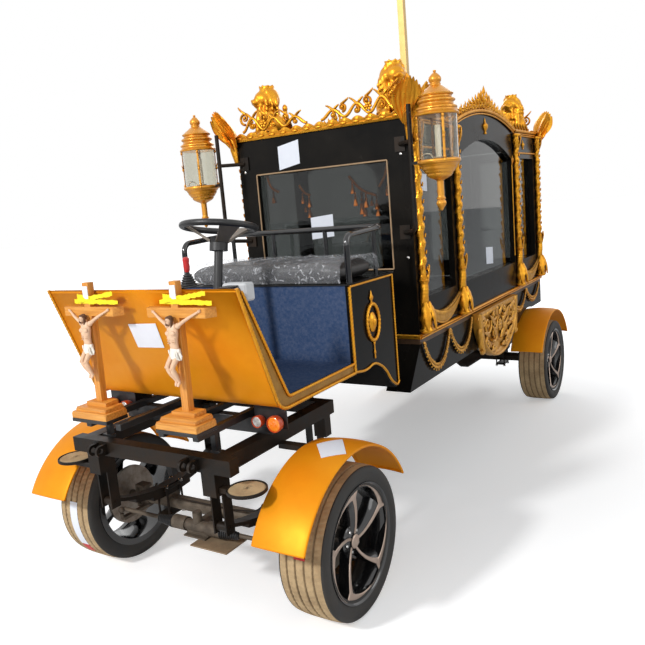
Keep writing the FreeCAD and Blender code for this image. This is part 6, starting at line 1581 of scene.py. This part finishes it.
def figure_parts(x, y):
    """Limbs and ellipsoids of a hanging figure about the cross's middle: skin, cloth and hair shapes."""
    def at(dx, dy, z):
        return np.array([x + dx, y - 0.012 + dy, z])
    skin = []
    for sign, shoulder, elbow, hand in ((-1, (-0.028, -0.004, 1.222), (-0.064, -0.002, 1.243),
                                         (-0.101, 0.008, 1.267)),
                                        (1, (0.02, -0.004, 1.222), (0.062, -0.002, 1.246), (0.112, 0.008, 1.271))):
        arm = evenly(rounded([at(*shoulder), at(*elbow), at(*hand)], [0.02]), 0.006)[0]
        share = np.linspace(0, 1, len(arm))
        skin.append(limb(arm, 0.0078 - 0.0038 * share, 0.0075 - 0.0035 * share, (0, 0, 1), 12))
        skin.append(blob((0.0062, 0.0042, 0.0056), at(*hand) + (sign * 0.003, 0, 0.002), 8, 10))
        for finger in (-1, 0, 1):
            skin.append(blob((0.004, 0.0017, 0.0016), at(*hand) + (sign * 0.009, -0.001, 0.004 + finger * 0.0034),
                             6, 6))
        skin.append(blob((0.011, 0.01, 0.011), at(*shoulder), 9, 12))
    trunk = np.array([at(-0.006, 0, 1.226), at(-0.006, -0.004, 1.212), at(-0.01, -0.006, 1.19),
                      at(-0.011, -0.004, 1.165), at(-0.009, -0.003, 1.148), at(-0.007, -0.004, 1.128),
                      at(-0.008, -0.004, 1.112)])
    skin.append(limb(trunk, (0.014, 0.024, 0.0265, 0.0205, 0.0185, 0.0215, 0.018),
                     (0.009, 0.013, 0.0155, 0.013, 0.0115, 0.013, 0.012), (1, 0, 0), 22))
    for sign in (-1, 1):
        skin.append(blob((0.012, 0.006, 0.0095), at(-0.009 + sign * 0.0115, -0.017, 1.196), 9, 12))
    for row in range(3):
        for sign in (-1, 1):
            skin.append(limb([at(-0.01 + sign * 0.004, -0.0185, 1.182 - row * 0.009),
                              at(-0.01 + sign * 0.019, -0.0145, 1.176 - row * 0.009)],
                             0.0018, 0.0014, (0, 0, 1), 6))
    skin.append(limb([at(-0.006, 0, 1.222), at(-0.01, -0.004, 1.236)], 0.0078, 0.0075, (1, 0, 0), 12))
    for hip, knee, ankle, toe in (((-0.018, -0.004, 1.118), (-0.042, -0.02, 1.072), (-0.014, -0.006, 1.018),
                                   (-0.012, -0.016, 1.002)),
                                  ((0.004, -0.004, 1.116), (-0.014, -0.024, 1.068), (0.0, -0.008, 1.016),
                                   (-0.001, -0.018, 1.001))):
        leg = evenly(rounded([at(*hip), at(*knee), at(*ankle)], [0.014]), 0.005)[0]
        share = np.linspace(0, 1, len(leg))
        thick = 0.0125 - 0.0065 * share + 0.0022 * np.sin(np.pi * np.clip((share - 0.5) / 0.4, 0, 1))
        skin.append(limb(leg, thick, thick, (1, 0, 0), 14))
        skin.append(blob((0.0066, 0.007, 0.007), at(*knee) + (0, -0.003, 0), 8, 10))
        skin.append(limb([at(*ankle), (at(*ankle) + at(*toe)) / 2 + (0, -0.002, 0), at(*toe)],
                         (0.006, 0.0058, 0.0046), (0.0055, 0.0048, 0.003), (1, 0, 0), 10))
    face = at(-0.015, -0.01, 1.242)
    skin.append(blob((0.011, 0.0125, 0.015), face, 13, 16))
    skin.append(blob((0.007, 0.006, 0.007), face + (-0.003, -0.006, -0.009), 9, 10))
    skin.append(blob((0.0018, 0.0036, 0.0042), face + (-0.002, -0.013, -0.001), 7, 8))
    for sign in (-1, 1):
        skin.append(blob((0.003, 0.0014, 0.001), face + (sign * 0.0042 - 0.002, -0.0112, 0.0028), 6, 8))
    cloth = [limb([at(-0.006, -0.003, 1.14), at(-0.007, -0.004, 1.126), at(-0.008, -0.005, 1.108),
                   at(-0.01, -0.006, 1.1)],
                  (0.0205, 0.0245, 0.0235, 0.019), (0.014, 0.0165, 0.0165, 0.014), (1, 0, 0), 22)]
    for fold in range(5):
        start = at(-0.026 + fold * 0.009, -0.0165, 1.136 - fold * 0.002)
        cloth.append(limb(rounded([start, start + (0.004, -0.003, -0.014), start + (0.01, 0.001, -0.03)], [0.01],
                                  5), 0.0028, 0.0024, (1, 0, 0), 7))
    cloth.append(blob((0.007, 0.006, 0.009), at(0.016, -0.01, 1.132), 8, 10))
    cloth.append(limb([at(0.017, -0.01, 1.128), at(0.021, -0.008, 1.112), at(0.019, -0.008, 1.098)],
                      (0.006, 0.008, 0.004), 0.0035, (1, 0, 0), 8))
    hair = [blob((0.013, 0.012, 0.013), face + (0.002, 0.005, 0.005), 11, 14)]
    for number in range(9):
        turn = math.radians(-20 + number * 27)
        root = face + (0.011 * math.cos(turn), 0.004 - 0.004 * math.sin(turn), 0.011 * math.sin(turn))
        hair.append(blob((0.0042, 0.0045, 0.0042), root + (0, -0.004, 0.001), 7, 8))
    for sign, low in ((-1, 0.014), (1, 0.024)):
        for strand in (0.0, 0.004):
            hair.append(limb(rounded([face + (sign * 0.01, 0.0 + strand, 0.008),
                                      face + (sign * 0.0135, -0.002 + strand, -0.004),
                                      face + (sign * 0.011, -0.003 + strand, -low)], [0.01], 5), 0.0032, 0.0036,
                                      (1, 0, 0), 7))
    hair.append(blob((0.0058, 0.005, 0.0062), face + (-0.004, -0.0085, -0.0125), 8, 8))
    circlet = []
    for number in range(18):
        turn = number * 2 * np.pi / 18
        spot = face + (0.002 + 0.0128 * math.cos(turn), 0.002 - 0.0128 * math.sin(turn),
                       0.0088 + 0.0022 * math.sin(turn))
        circlet.append(blob((0.0021, 0.0021, 0.0021), spot, 5, 6))
    return joined(*skin), joined(*cloth), joined(*hair, *circlet)


cross_low, cross_high = bounds_of("crucifixes")
CROSS_Y = (cross_low[1] + cross_high[1]) / 2
BASE_Z = 0.8415
TIER_TOPS = (0.027, 0.043, 0.059)
TIER_HALVES = (0.1, 0.087, 0.057)
TIER_FRONTS = (0.079, 0.066, 0.034)
TIER_BACK = 0.03
CROSS_LEAN = (-0.012, 0.006)
BEARER_X = (0.115, 0.286)
upright_work, across_work, skin_work, cloth_work = [], [], [], []
hair_work, plate_work, tape_work, shelf_work = [], [], [], []
dice = np.random.default_rng(5)
for side, lean in ((-1, CROSS_LEAN[0]), (1, CROSS_LEAN[1] - 0.014)):
    x = side * CROSS_X
    face_y = CROSS_Y - CROSS_FACE
    foot_z = BASE_Z + TIER_TOPS[2] - 0.006
    post = chamfered((x - 0.017, face_y, foot_z), (x + 0.017, CROSS_Y + 0.012, 1.3795), 0.0014)
    post[0][:, 0] += lean * (1.3795 - post[0][:, 2]) / (1.3795 - foot_z)
    upright_work.append(post)
    bar = chamfered((x - 0.161, face_y - 0.001, BAR_LOW), (x + 0.161, CROSS_Y + 0.02, BAR_HIGH), 0.0014)
    cut_in = (bar[0][:, 1] < CROSS_Y - 0.002) * np.sign(bar[0][:, 0] - x) * 0.02
    bar[0][:, 0] -= cut_in
    across_work.append(bar)
    base_x, low = x + lean, 0.0
    for number, (top, half, reach) in enumerate(zip(TIER_TOPS, TIER_HALVES, TIER_FRONTS)):
        flat = top - 0.006 if number < 2 else top
        tier = chamfered((base_x - half, CROSS_Y - reach, BASE_Z + low),
                         (base_x + half, CROSS_Y + TIER_BACK, BASE_Z + flat), 0.0012)
        across_work.append(tier)
        if number < 2:
            eased = chamfered((base_x - half, CROSS_Y - reach, BASE_Z + flat - 0.001),
                              (base_x + half, CROSS_Y + TIER_BACK, BASE_Z + top), 0.0057)
            across_work.append(eased)
        low = top - 0.0005
    shelf_work.append(chamfered((base_x - 0.101, CROSS_Y - 0.08, BASE_Z - 0.015),
                                (base_x + 0.101, CROSS_Y + 0.032, BASE_Z - 0.0003), 0.0015))
    for bearer in BEARER_X:
        shelf_work.append(chamfered((side * bearer - 0.014, CROSS_Y - 0.05, BASE_Z - 0.042),
                                    (side * bearer + 0.014, CROSS_Y + 0.7, BASE_Z - 0.0152), 0.0015))
    shelf_work.append(chamfered((side * 0.286 - 0.011, CROSS_Y + 0.04, 0.7352),
                                (side * 0.286 + 0.011, CROSS_Y + 0.062, BASE_Z - 0.0415), 0.001))
    ends = sorted((side * 0.27, side * 0.332))
    shelf_work.append(chamfered((ends[0], CROSS_Y + 0.038, 0.722), (ends[1], CROSS_Y + 0.064, 0.7354), 0.001))
    skin, cloth, hair = figure_parts(x, face_y)
    skin_work.append(skin)
    cloth_work.append(cloth)
    hair_work.append(hair)
    plate_work.append(chamfered((x - 0.0145, face_y - 0.0035, 1.316), (x + 0.0145, face_y - 0.0003, 1.366), 0.0008))
    for slope, lift, left, right in ((0.01, 0.0, 0.066, 0.18), (-0.14, 0.012, 0.05, 0.155),
                                     (0.2, 0.016, 0.046, 0.02)):
        span = np.linspace(-left, right, 26)
        wave = 0.0025 * np.sin(span * 55 + lift * 300)
        mid = 1.306 + lift * 0.8 - slope * span
        edge = dice.uniform(-0.002, 0.002, (26, 2))
        rows = []
        for drop, number in ((0.0085, 0), (-0.0085, 1)):
            rows.append(np.stack([x + span,
                                  face_y - 0.003 - wave - 0.0006 * number - 0.02 * np.clip(np.abs(span) - 0.03, 0,
                                      1) - lift * 0.05, mid + drop + edge[:, number]], -1))
        strip = np.array(rows)
        tape_work.append(surface(np.concatenate([strip, strip[::-1] + (0, 0.0008, 0)]), round_rows=True))
    for z in (1.306, 1.315):
        tape_work.append(chamfered((x - 0.0182, face_y - 0.0022, z - 0.0085),
                                   (x + 0.0182, CROSS_Y + 0.0132, z + 0.0085), 0.0006))
shelf_work.append(chamfered((-0.4, AXLE_Y - 0.0985, 0.7365), (0.4, AXLE_Y - 0.058, BASE_Z - 0.0415), 0.002))
wood_up = timber("planed_wood_upright", (0.76, 0.33, 0.055), (0.58, 0.21, 0.025), "z")
wood_across = timber("planed_wood_across", (0.78, 0.36, 0.065), (0.58, 0.21, 0.025), "x")
# The figure's skin and cloth darken where ambient occlusion finds hollows: painted shade.
skin_paint = finish("figure_skin", (0.78, 0.52, 0.34), (0.7, 0.42, 0.25), scale=60, rough=0.45,
                    hollow_shade=(0.36, 0.16, 0.07), reach=0.008, deep=0.7, coat=0.1)
cloth_paint = finish("figure_cloth", (0.86, 0.82, 0.74), (0.76, 0.7, 0.6), scale=60, rough=0.5,
                     hollow_shade=(0.5, 0.42, 0.32), reach=0.006, deep=0.6)
hair_paint = finish("figure_hair", (0.13, 0.055, 0.022), (0.08, 0.03, 0.012), scale=90, rough=0.55)
plain_white = finish("blank_white", (0.86, 0.86, 0.88), (0.8, 0.81, 0.84), scale=20)
tape_yellow = finish("yellow_tape", (0.93, 0.78, 0.01), (0.9, 0.66, 0.0), scale=30, rough=0.35, coat=0.2)
piece("standing_crosses",
      [upright_work, across_work, skin_work, cloth_work, hair_work, plate_work, tape_work, shelf_work],
      [wood_up, wood_across, skin_paint, cloth_paint, hair_paint, plain_white, tape_yellow, trim_black], "chassis",
      ["crucifixes"], crease=38)


# Lamps under the dash: spun red-orange cups with moulded lenses, an amber and a clear
# one on each side, screwed to a black plate.
lamp_low, lamp_high = bounds_of("front_lamps")
LAMP_Z = 0.8
LAMP_OUT, LAMP_IN = 0.45, 0.366
cup_work, amber_work, clear_work, plate_work = [], [], [], []
for side in (-1, 1):
    for off, radius, bowl in ((LAMP_OUT, 0.0325, amber_work), (LAMP_IN, 0.024, clear_work)):
        front = lamp_low[1] + 0.004 + (0.0325 - radius) * 0.6
        cup = lathe([(0, 0.04), (radius * 0.55, 0.04), (radius * 0.9, 0.026), (radius, 0.012), (radius, 0.002),
                     (radius * 0.97, -0.002), (radius * 0.9, -0.002), (radius * 0.88, 0.003), (0, 0.004)], 40, "y")
        cup_work.append(set_in(cup, None, (side * off, front, LAMP_Z)))
        profile = [(radius * 0.89, 0.0035)] + [(radius * 0.87 * math.cos(t),
                                                0.002 - 0.0055 * math.sin(t)) for t in np.linspace(0.1, np.pi / 2,
                                                    9)]
        lens = lathe(profile, 48, "y")
        ripple = 0.0007 * np.cos(lens[0][:, 0] * 900) * np.cos(lens[0][:, 2] * 900)
        lens[0][:, 1] = np.minimum(lens[0][:, 1] + ripple, 0.004)
        bowl.append(set_in(lens, None, (side * off, front, LAMP_Z)))
    ends = sorted((side * (LAMP_IN - 0.035), side * (LAMP_OUT + 0.035)))
    back = lamp_high[1]
    plate_work.append(chamfered((ends[0], back - 0.0055, LAMP_Z - 0.029), (ends[1], back - 0.0002, 0.859), 0.0012))
    for off in (LAMP_OUT, LAMP_IN):
        plate_work.append(set_in(lathe([(0, back - lamp_low[1] - 0.003), (0.011, back - lamp_low[1] - 0.003),
                                        (0.011, 0.034), (0, 0.034)], 16, "y"),
                                 None, (side * off, lamp_low[1], LAMP_Z)))
lamp_red = finish("lamp_cup_red", (0.62, 0.075, 0.012), (0.45, 0.04, 0.008), scale=25, rough=0.3, coat=0.4)
amber_lens = finish("amber_lens", (0.95, 0.2, 0.012), (1.0, 0.42, 0.04), scale=55, rough=0.12, spread=0.05,
                    coat=0.8)
clear_lens = finish("clear_lens", (0.72, 0.7, 0.66), (0.22, 0.2, 0.2), scale=75, amount=0.9, rough=0.1, spread=0.05,
                    metal=0.3, coat=0.9)
piece("dash_lamps", [cup_work, amber_work, clear_work, plate_work],
      [lamp_red, amber_lens, clear_lens, trim_black], "chassis", ["front_lamps"])


# Foot steps: a black pressed oval with a rim on each side, filled with a sandy brush
# mat. A flat arm with two screws carries it from the frame.
STEP_X, STEP_Y, STEP_Z = 0.462, AXLE_Y - 0.355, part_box("foot_steps")[1].z
oval_work, mat_work = [], []
t = np.linspace(0, 2 * np.pi, 72, endpoint=False)
for side in (-1, 1):
    rows = []
    for share, z in ((0.0, -0.0135), (0.97, -0.0135), (0.995, -0.012), (0.995, -0.002), (0.98, 0.0), (0.95, 0.0),
                     (0.935, -0.002), (0.93, -0.006), (0.0, -0.006)):
        rows.append(np.stack([side * STEP_X + 0.0758 * share * np.cos(t), STEP_Y + 0.0748 * share * np.sin(t),
                              STEP_Z + z + 0 * t], -1))
    oval_work.append(surface(np.array(rows), round_cols=True))
    u = np.linspace(0, 1, 34)[:, None]
    angle = np.linspace(0, 2 * np.pi, 130, endpoint=False)
    reach = 0.925 * u
    nap = 0.0015 * np.random.default_rng(7).random((34, 130)) * np.clip((1 - u) * 12, 0, 1)
    mat = np.stack([side * STEP_X + 0.0758 * reach * np.cos(angle), STEP_Y + 0.0748 * reach * np.sin(angle),
                    STEP_Z - 0.005 + 0.003 * np.clip((1 - u) * 10, 0, 1) + nap], -1)
    mat_work.append(surface(mat, round_cols=True))
    ends = sorted((side * 0.3423, side * STEP_X))
    oval_work.append(chamfered((ends[0], STEP_Y - 0.016, STEP_Z - 0.034),
                               (ends[1], STEP_Y + 0.016, STEP_Z - 0.0125), 0.002))
    for off in (-0.035, 0.035):
        oval_work.append(set_in(lathe([(0, 0.0), (0.007, 0.0), (0.007, -0.005), (0, -0.006)], 6), None,
                                (side * (0.4 + off), STEP_Y, STEP_Z - 0.0285)))
piece("step_ovals", [oval_work, mat_work], [frame_paint, tread_dust_and_hollow_shade], "chassis", ["foot_steps"])


# Driver's controls: a hand lever with a red grip in a stepped rubber boot, and a small
# grey screen housing on a tab, both over the dash's top edge.
DASH_EDGE_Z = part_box("dash_panel")[1].z
LEVER_X, LEVER_Y = 0.218, AXLE_Y - 0.27
POD_X, POD_Y = 0.432, AXLE_Y - 0.25
boot = []
for number in range(5):
    radius, z = 0.03 - 0.0035 * number, DASH_EDGE_Z + 0.006 + 0.0085 * number
    boot += [(radius, z), (radius + 0.0015, z + 0.002), (radius, z + 0.0045), (radius - 0.005, z + 0.0062),
             (radius - 0.005, z + 0.008)]
control_work = [
    set_in(lathe([(0, DASH_EDGE_Z + 0.004)] + boot + [(0.006, DASH_EDGE_Z + 0.0495), (0, DASH_EDGE_Z + 0.0495)],
                 36), None, (LEVER_X, LEVER_Y, 0)),
    chamfered((LEVER_X - 0.04, AXLE_Y - 0.336, DASH_EDGE_Z + 0.0004),
              (LEVER_X + 0.04, AXLE_Y - 0.23, DASH_EDGE_Z + 0.006), 0.0012),
    chamfered((POD_X - 0.024, AXLE_Y - 0.336, DASH_EDGE_Z + 0.0004), (POD_X + 0.024, POD_Y, DASH_EDGE_Z + 0.004),
              0.001),
]
stick = set_in(lathe([(0, 0.045), (0.0058, 0.045), (0.0058, 0.062), (0, 0.062)], 16), None,
               (LEVER_X, LEVER_Y, DASH_EDGE_Z))
grip_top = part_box("driver_controls")[1].z - DASH_EDGE_Z
grip = set_in(lathe([(0, 0.054), (0.008, 0.054), (0.0105, 0.06), (0.012, 0.075), (0.0105, 0.086), (0.0125, 0.096),
                     (0.0115, grip_top - 0.004), (0.007, grip_top - 0.0005), (0, grip_top)], 28), None,
                     (LEVER_X, LEVER_Y, DASH_EDGE_Z))
pod_low, pod_high = (POD_X - 0.0545, POD_Y - 0.027, DASH_EDGE_Z - 0.0555), (POD_X + 0.0545, POD_Y + 0.027,
                                                                            DASH_EDGE_Z + 0.0095)
housing = chamfered(pod_low, pod_high, 0.007)
screen = chamfered((POD_X - 0.044, pod_high[1] - 0.001, pod_low[2] + 0.01),
                   (POD_X + 0.044, pod_high[1] + 0.0003, pod_high[2] - 0.01), 0.0008)
buttons = [blob((0.004, 0.0012, 0.004), (POD_X - 0.03 + 0.02 * number, pod_high[1], pod_low[2] + 0.0055), 6,
                10) for number in range(4)]
grip_red = finish("grip_red", (0.55, 0.012, 0.012), (0.42, 0.006, 0.008), scale=40, rough=0.35, coat=0.3)
pale_grey = finish("pale_grey_plastic", (0.62, 0.63, 0.64), (0.52, 0.53, 0.55), scale=30)
piece("lever_and_screen", [[*control_work, stick, screen, *buttons], grip, housing],
      [trim_black, grip_red, pale_grey], "chassis", ["driver_controls"], crease=35)


# Window trim: gilt urns screwed to the black walls, a thin tan bead round the front
# window, gilt beads with a sprig down the middle windows' rear jambs, silver bolt heads.
URN = ((0, 0), (0.13, 0.0), (0.16, 0.06), (0.09, 0.13), (0.14, 0.22), (0.25, 0.36), (0.285, 0.5), (0.25, 0.6),
       (0.13, 0.68), (0.07, 0.74), (0.09, 0.8), (0.04, 0.9), (0.015, 0.99), (0, 1.0))
JAMB_OFF = 0.522
glass_low, glass_high = bounds_of("body_glass")
urn_work, bead_work, bolt_work = [], [], []
for side in (-1, 1):
    for off, low, size in ((-0.021, 1.949, 0.101), (-0.808, 1.873, 0.068), (0.808, 1.873, 0.068)):
        form = modelled(np.array(URN) * size, 24, 0.0025, [(size * 0.22, size * 0.6, 8, size * 0.02, 0)])
        urn_work.append(set_in(form, np.diag([0.6, 1, 1]), (side * (BODY_HALF + 0.002), BODY_MIDDLE + off, low)))
    jamb = [(side * (BODY_HALF + 0.0015), BODY_MIDDLE + JAMB_OFF, z) for z in np.linspace(1.13, 1.77, 40)]
    urn_work.append(limb(jamb, 0.0055 + 0.0015 * np.cos(np.arange(40) * 2.2), 0.003, (0, 1, 0), 8))
    for turn in (-0.7, 0.0, 0.7):
        root = np.array([side * (BODY_HALF + 0.001), BODY_MIDDLE + JAMB_OFF, 1.765])
        urn_work.append(leaf(root, root + (side * 0.004, -0.045 * math.sin(turn) - 0.012, 0.06 * math.cos(turn)),
                             (side, 0, 0), 0.01, 0.15, 2, 0.003, 12, 7))
bead_line = rounded([(-0.408, -0.004, 1.244), (0.408, -0.004, 1.244), (0.408, -0.004, 1.793),
                     (-0.408, -0.004, 1.793), (-0.408, -0.004, 1.246)], [0.006] * 3)
bead_work.append(tube_along(np.array(bead_line) + (0, BODY_FRONT, 0), 0.0042, 8))
for x, z in ((0.492, 1.871), (0.486, 1.815), (-0.492, 1.871), (-0.486, 1.815), (0.492, 1.3), (-0.492, 1.3)):
    bolt_work.append(set_in(lathe([(0, 0.002), (0.009, 0.002), (0.009, -0.005), (0.006, -0.008), (0, -0.008)], 6,
                                  "y"), None,
                            (x, BODY_FRONT, z)))
tan_bead = finish("tan_bead", (0.44, 0.29, 0.16), (0.3, 0.18, 0.09), scale=40)
piece("window_trim", [urn_work, bead_work, bolt_work], [gold_leaf, tan_bead, bright_steel],
      "chassis", crease=50)


# Tassels: short cords with thread tassels, dull orange, hung inside the front window
# from its upper edge.
def tassel(top, high, radius):
    """A knotted head and a fluted skirt of threads under it."""
    profile = [(0, 0), (0.3, -0.01), (0.42, -0.1), (0.3, -0.2), (0.22, -0.24), (0.42, -0.29), (0.46, -0.4),
               (0.34, -0.47), (0.52, -0.6), (0.8, -0.98), (0.7, -1.0), (0, -0.99)]
    profile = np.array(profile) * (radius, high)
    return set_in(modelled(profile, 22, 0.0036, [(-high, -high * 0.48, 11, radius * 0.12, 0)]), None, top)


TASSEL_Y = BODY_FRONT + 0.045
thread_work = []
for start, middle, stop in (((0.158, 1.735), (0.225, 1.655), (0.312, 1.625)),
                            ((0.388, 1.785), (0.372, 1.72), (0.332, 1.665)),
                            ((-0.158, 1.715), (-0.13, 1.672), (-0.092, 1.655)),
                            ((-0.372, 1.785), (-0.35, 1.715), (-0.3, 1.69))):
    line = [(x, TASSEL_Y, z) for x, z in (start, middle, stop)]
    line, marks = evenly(rounded(line, [0.05]), 0.004)
    thread_work.append(limb(line, 0.0085 + 0.002 * np.cos(marks * 900), 0.007, (0, 0, 1), 9))
for x, top, high, radius in ((0.176, 1.705, 0.062, 0.016), (0.19, 1.65, 0.072, 0.015), (0.224, 1.652, 0.12, 0.021),
                             (0.252, 1.64, 0.075, 0.016), (0.238, 1.612, 0.092, 0.017), (0.284, 1.632, 0.06, 0.014),
                             (0.312, 1.622, 0.07, 0.016), (0.318, 1.575, 0.058, 0.017), (0.378, 1.69, 0.072, 0.017),
                             (-0.142, 1.672, 0.058, 0.014), (-0.128, 1.63, 0.064, 0.015),
                             (-0.1, 1.654, 0.062, 0.015), (-0.104, 1.596, 0.062, 0.016), (-0.34, 1.7, 0.07, 0.016)):
    thread_work.append(tassel((x, TASSEL_Y + 0.004 * math.sin(x * 90), top), high, radius))
thread_orange = finish("thread_orange", (0.52, 0.17, 0.035), (0.34, 0.09, 0.018), scale=60, amount=0.8, rough=0.7,
                       bump=0.0006, grain=500)
piece("window_tassels", thread_work, thread_orange, "chassis", crease=60)


# Blank paper notices: plain white sheets stuck to the dash, the walls, the panes, the
# left front mudguard and, as a strip ending in red, on each front tyre's tread.
def between(corners, u, v):
    """A value or point at shares u and v across four corners: (1-v)((1-u) a + u b) + v((1-u) d + u c)."""
    a, b, c, d = corners
    return (1 - v) * ((1 - u) * a + u * b) + v * ((1 - u) * d + u * c)


def sheet_patch(front, lift):
    """Closes a grid of points into a thin sheet, its back a hair above what it is stuck to."""
    lift = np.asarray(lift, float)
    back, top = front + lift * 0.2, front + lift
    rows = np.concatenate([top, back[::-1]])
    ends = [np.stack([top[:, k], back[:, k]]) for k in (0, -1)]
    return joined(surface(rows, round_rows=True), *[surface(end) for end in ends])


notices = [([cal(-0.11, -0.2872, 1.203), cal(0.043, -0.2894, 1.209), cal(0.035, -0.2505, 1.105),
             cal(-0.111, -0.249, 1.101)], (0, -0.0015, -0.0006))]
for x0, x1, z0, z1, tilt, y in ((-0.251, -0.114, 1.818, 1.944, 0.012, BODY_FRONT),
                                (-0.097, 0.045, 1.421, 1.54, 0.006, glass_low[1])):
    notices.append(([(x0, y, z1 - tilt), (x1, y, z1 + tilt), (x1, y, z0 + tilt), (x0, y, z0 - tilt)],
                    (0, -0.0012, 0)))
for y0, y1, z0, z1 in ((2.862, 3.01, 1.598, 1.716), (1.222, 1.33, 1.634, 1.722), (2.236, 2.372, 1.128, 1.238)):
    x = glass_high[0]
    notices.append(([cal(x, y0, z1), cal(x, y1, z1 - 0.01), cal(x, y1, z0 - 0.01), cal(x, y0, z0)], (0.0012, 0, 0)))
u, v = (share[..., None] for share in np.meshgrid(np.linspace(0, 1, 8), np.linspace(0, 1, 8)))
notice_work = [sheet_patch(between(np.array(corners), u, v), lift) for corners, lift in notices]
across, turn = np.meshgrid(np.linspace(0, 1, 12), np.linspace(0, 1, 12))
bent = np.arccos(np.cos(np.radians(between((85.6, 97.3, 81.0, 73.2), across, turn))) - GUARD_BACK / GUARD_RADIUS)
wide = between((0.56, 0.622, 0.712, 0.64), across, turn)
guard_middle, guard_half = (GUARD_IN + GUARD_OUT) / 2, (GUARD_OUT - GUARD_IN) / 2
radius = GUARD_RADIUS - 0.01 * ((wide - guard_middle) / guard_half) ** 2 + 0.0006
away = np.stack([0 * bent, -np.cos(bent), np.sin(bent)], -1)
curve = away * radius[..., None] + (0, AXLE_Y - GUARD_BACK, GUARD_CENTRE_Z) + wide[..., None] * (1, 0, 0)
notice_work.append(sheet_patch(curve, away * 0.0012))
plain_paper = finish("blank_paper", (0.8, 0.83, 0.9), (0.74, 0.77, 0.85), scale=20, rough=0.5)
red_paper = finish("red_paper", (0.62, 0.02, 0.02), (0.5, 0.015, 0.015), scale=20, rough=0.5)
piece("blank_notices", notice_work, plain_paper, "chassis")
RED_FROM = 31
for name, start, stop in (("right", -14, 40), ("left", -52, -11)):
    tyre_low, tyre_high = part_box(f"tyre_front_{name}")
    hub = (0, (tyre_low.y + tyre_high.y) / 2, (tyre_low.z + tyre_high.z) / 2)
    turn, across = np.meshgrid(np.radians(np.linspace(start, stop, 40)), np.linspace(-0.024, 0.024, 4))
    outward = np.stack([0 * turn, -np.cos(turn), -np.sin(turn)], -1)
    band = outward * (TYRE_RADIUS + 0.0001) + hub
    band[..., 0] = (tyre_low.x + tyre_high.x) / 2 + across
    pale, red = slice(0, RED_FROM + 1), slice(RED_FROM, None)
    piece(f"tread_label_{name}", [sheet_patch(band[:, part], outward[:, part] * 0.0005) for part in (pale, red)],
          [plain_paper, red_paper], f"wheel_front_{name}")


# Underframe fittings: spring clamps with bolts and bright nuts, ribbed rubber boots on
# the steering rack, a tan guard plate under it, and a brake pipe along the axle.
SPRING_X = 0.305
spring_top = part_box("leaf_springs")[0].z + 0.03
CLAMP_LOW, CLAMP_HIGH = 0.252, 0.264
BOLT_LOW = 0.24
rack_low, rack_high = bounds_of("rack_housing")
RACK_Y, RACK_Z = AXLE_Y - 0.1575, (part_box("tie_rods")[0].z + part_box("tie_rods")[1].z) / 2
steel_work, nut_work, boot_work, tan_work = [], [], [], []
for side in (-1, 1):
    for axle_y in (AXLE_Y, AXLE_Y + WHEELBASE):
        for low, high in ((spring_top, spring_top + 0.012), (CLAMP_LOW, CLAMP_HIGH)):
            steel_work.append(chamfered((side * SPRING_X - 0.034, axle_y - 0.058, low),
                                        (side * SPRING_X + 0.034, axle_y + 0.058, high), 0.002))
        for off in (-0.046, 0.046):
            for across in (-0.03, 0.03):
                spot = (side * SPRING_X + across, axle_y + off, 0)
                steel_work.append(set_in(lathe([(0, BOLT_LOW), (0.0052, BOLT_LOW), (0.0052, spring_top + 0.028),
                                                (0, spring_top + 0.028)], 10), None, spot))
                for z in (spring_top + 0.012, BOLT_LOW + 0.002):
                    nut_work.append(set_in(lathe([(0, z), (0.01, z), (0.01, z + 0.01), (0, z + 0.01)], 6), None,
                                           spot))
    ribs = []
    for number in range(9):
        reach = rack_high[0] + 0.01 * number
        swell = 0.026 - 0.0012 * number
        ribs += [(swell - 0.007, reach), (swell, reach + 0.003), (swell, reach + 0.006),
                 (swell - 0.007, reach + 0.0095)]
    boot = lathe([(0, rack_high[0])] + ribs + [(0.01, ribs[-1][1] + 0.004), (0, ribs[-1][1] + 0.004)], 30, "x")
    boot[0][:, 0] *= side
    boot_work.append(set_in(boot, None, (0, RACK_Y, RACK_Z)))
steel_work.append(tube_along(rounded([(-0.24, AXLE_Y - 0.046, 0.352), (-0.05, AXLE_Y - 0.05, 0.356),
                                      (0.1, AXLE_Y - 0.046, 0.352), (0.26, AXLE_Y - 0.06, 0.375),
                                      (0.325, AXLE_Y - 0.06, 0.46)], [0.05] * 3), 0.0035, 8))
tan_work.append(chamfered((0.02, RACK_Y - 0.075, rack_low[2] - 0.007), (0.215, RACK_Y + 0.08, rack_low[2] - 0.001),
                          0.001))
tan_steel = finish("tan_steel", (0.3, 0.21, 0.125), (0.16, 0.11, 0.065), scale=14, amount=0.8, rough=0.6,
                   spread=0.15)
piece("underframe_fittings", [steel_work, nut_work, boot_work, tan_work],
      [frame_paint, bright_steel, trim_black, tan_steel], "chassis", crease=35)
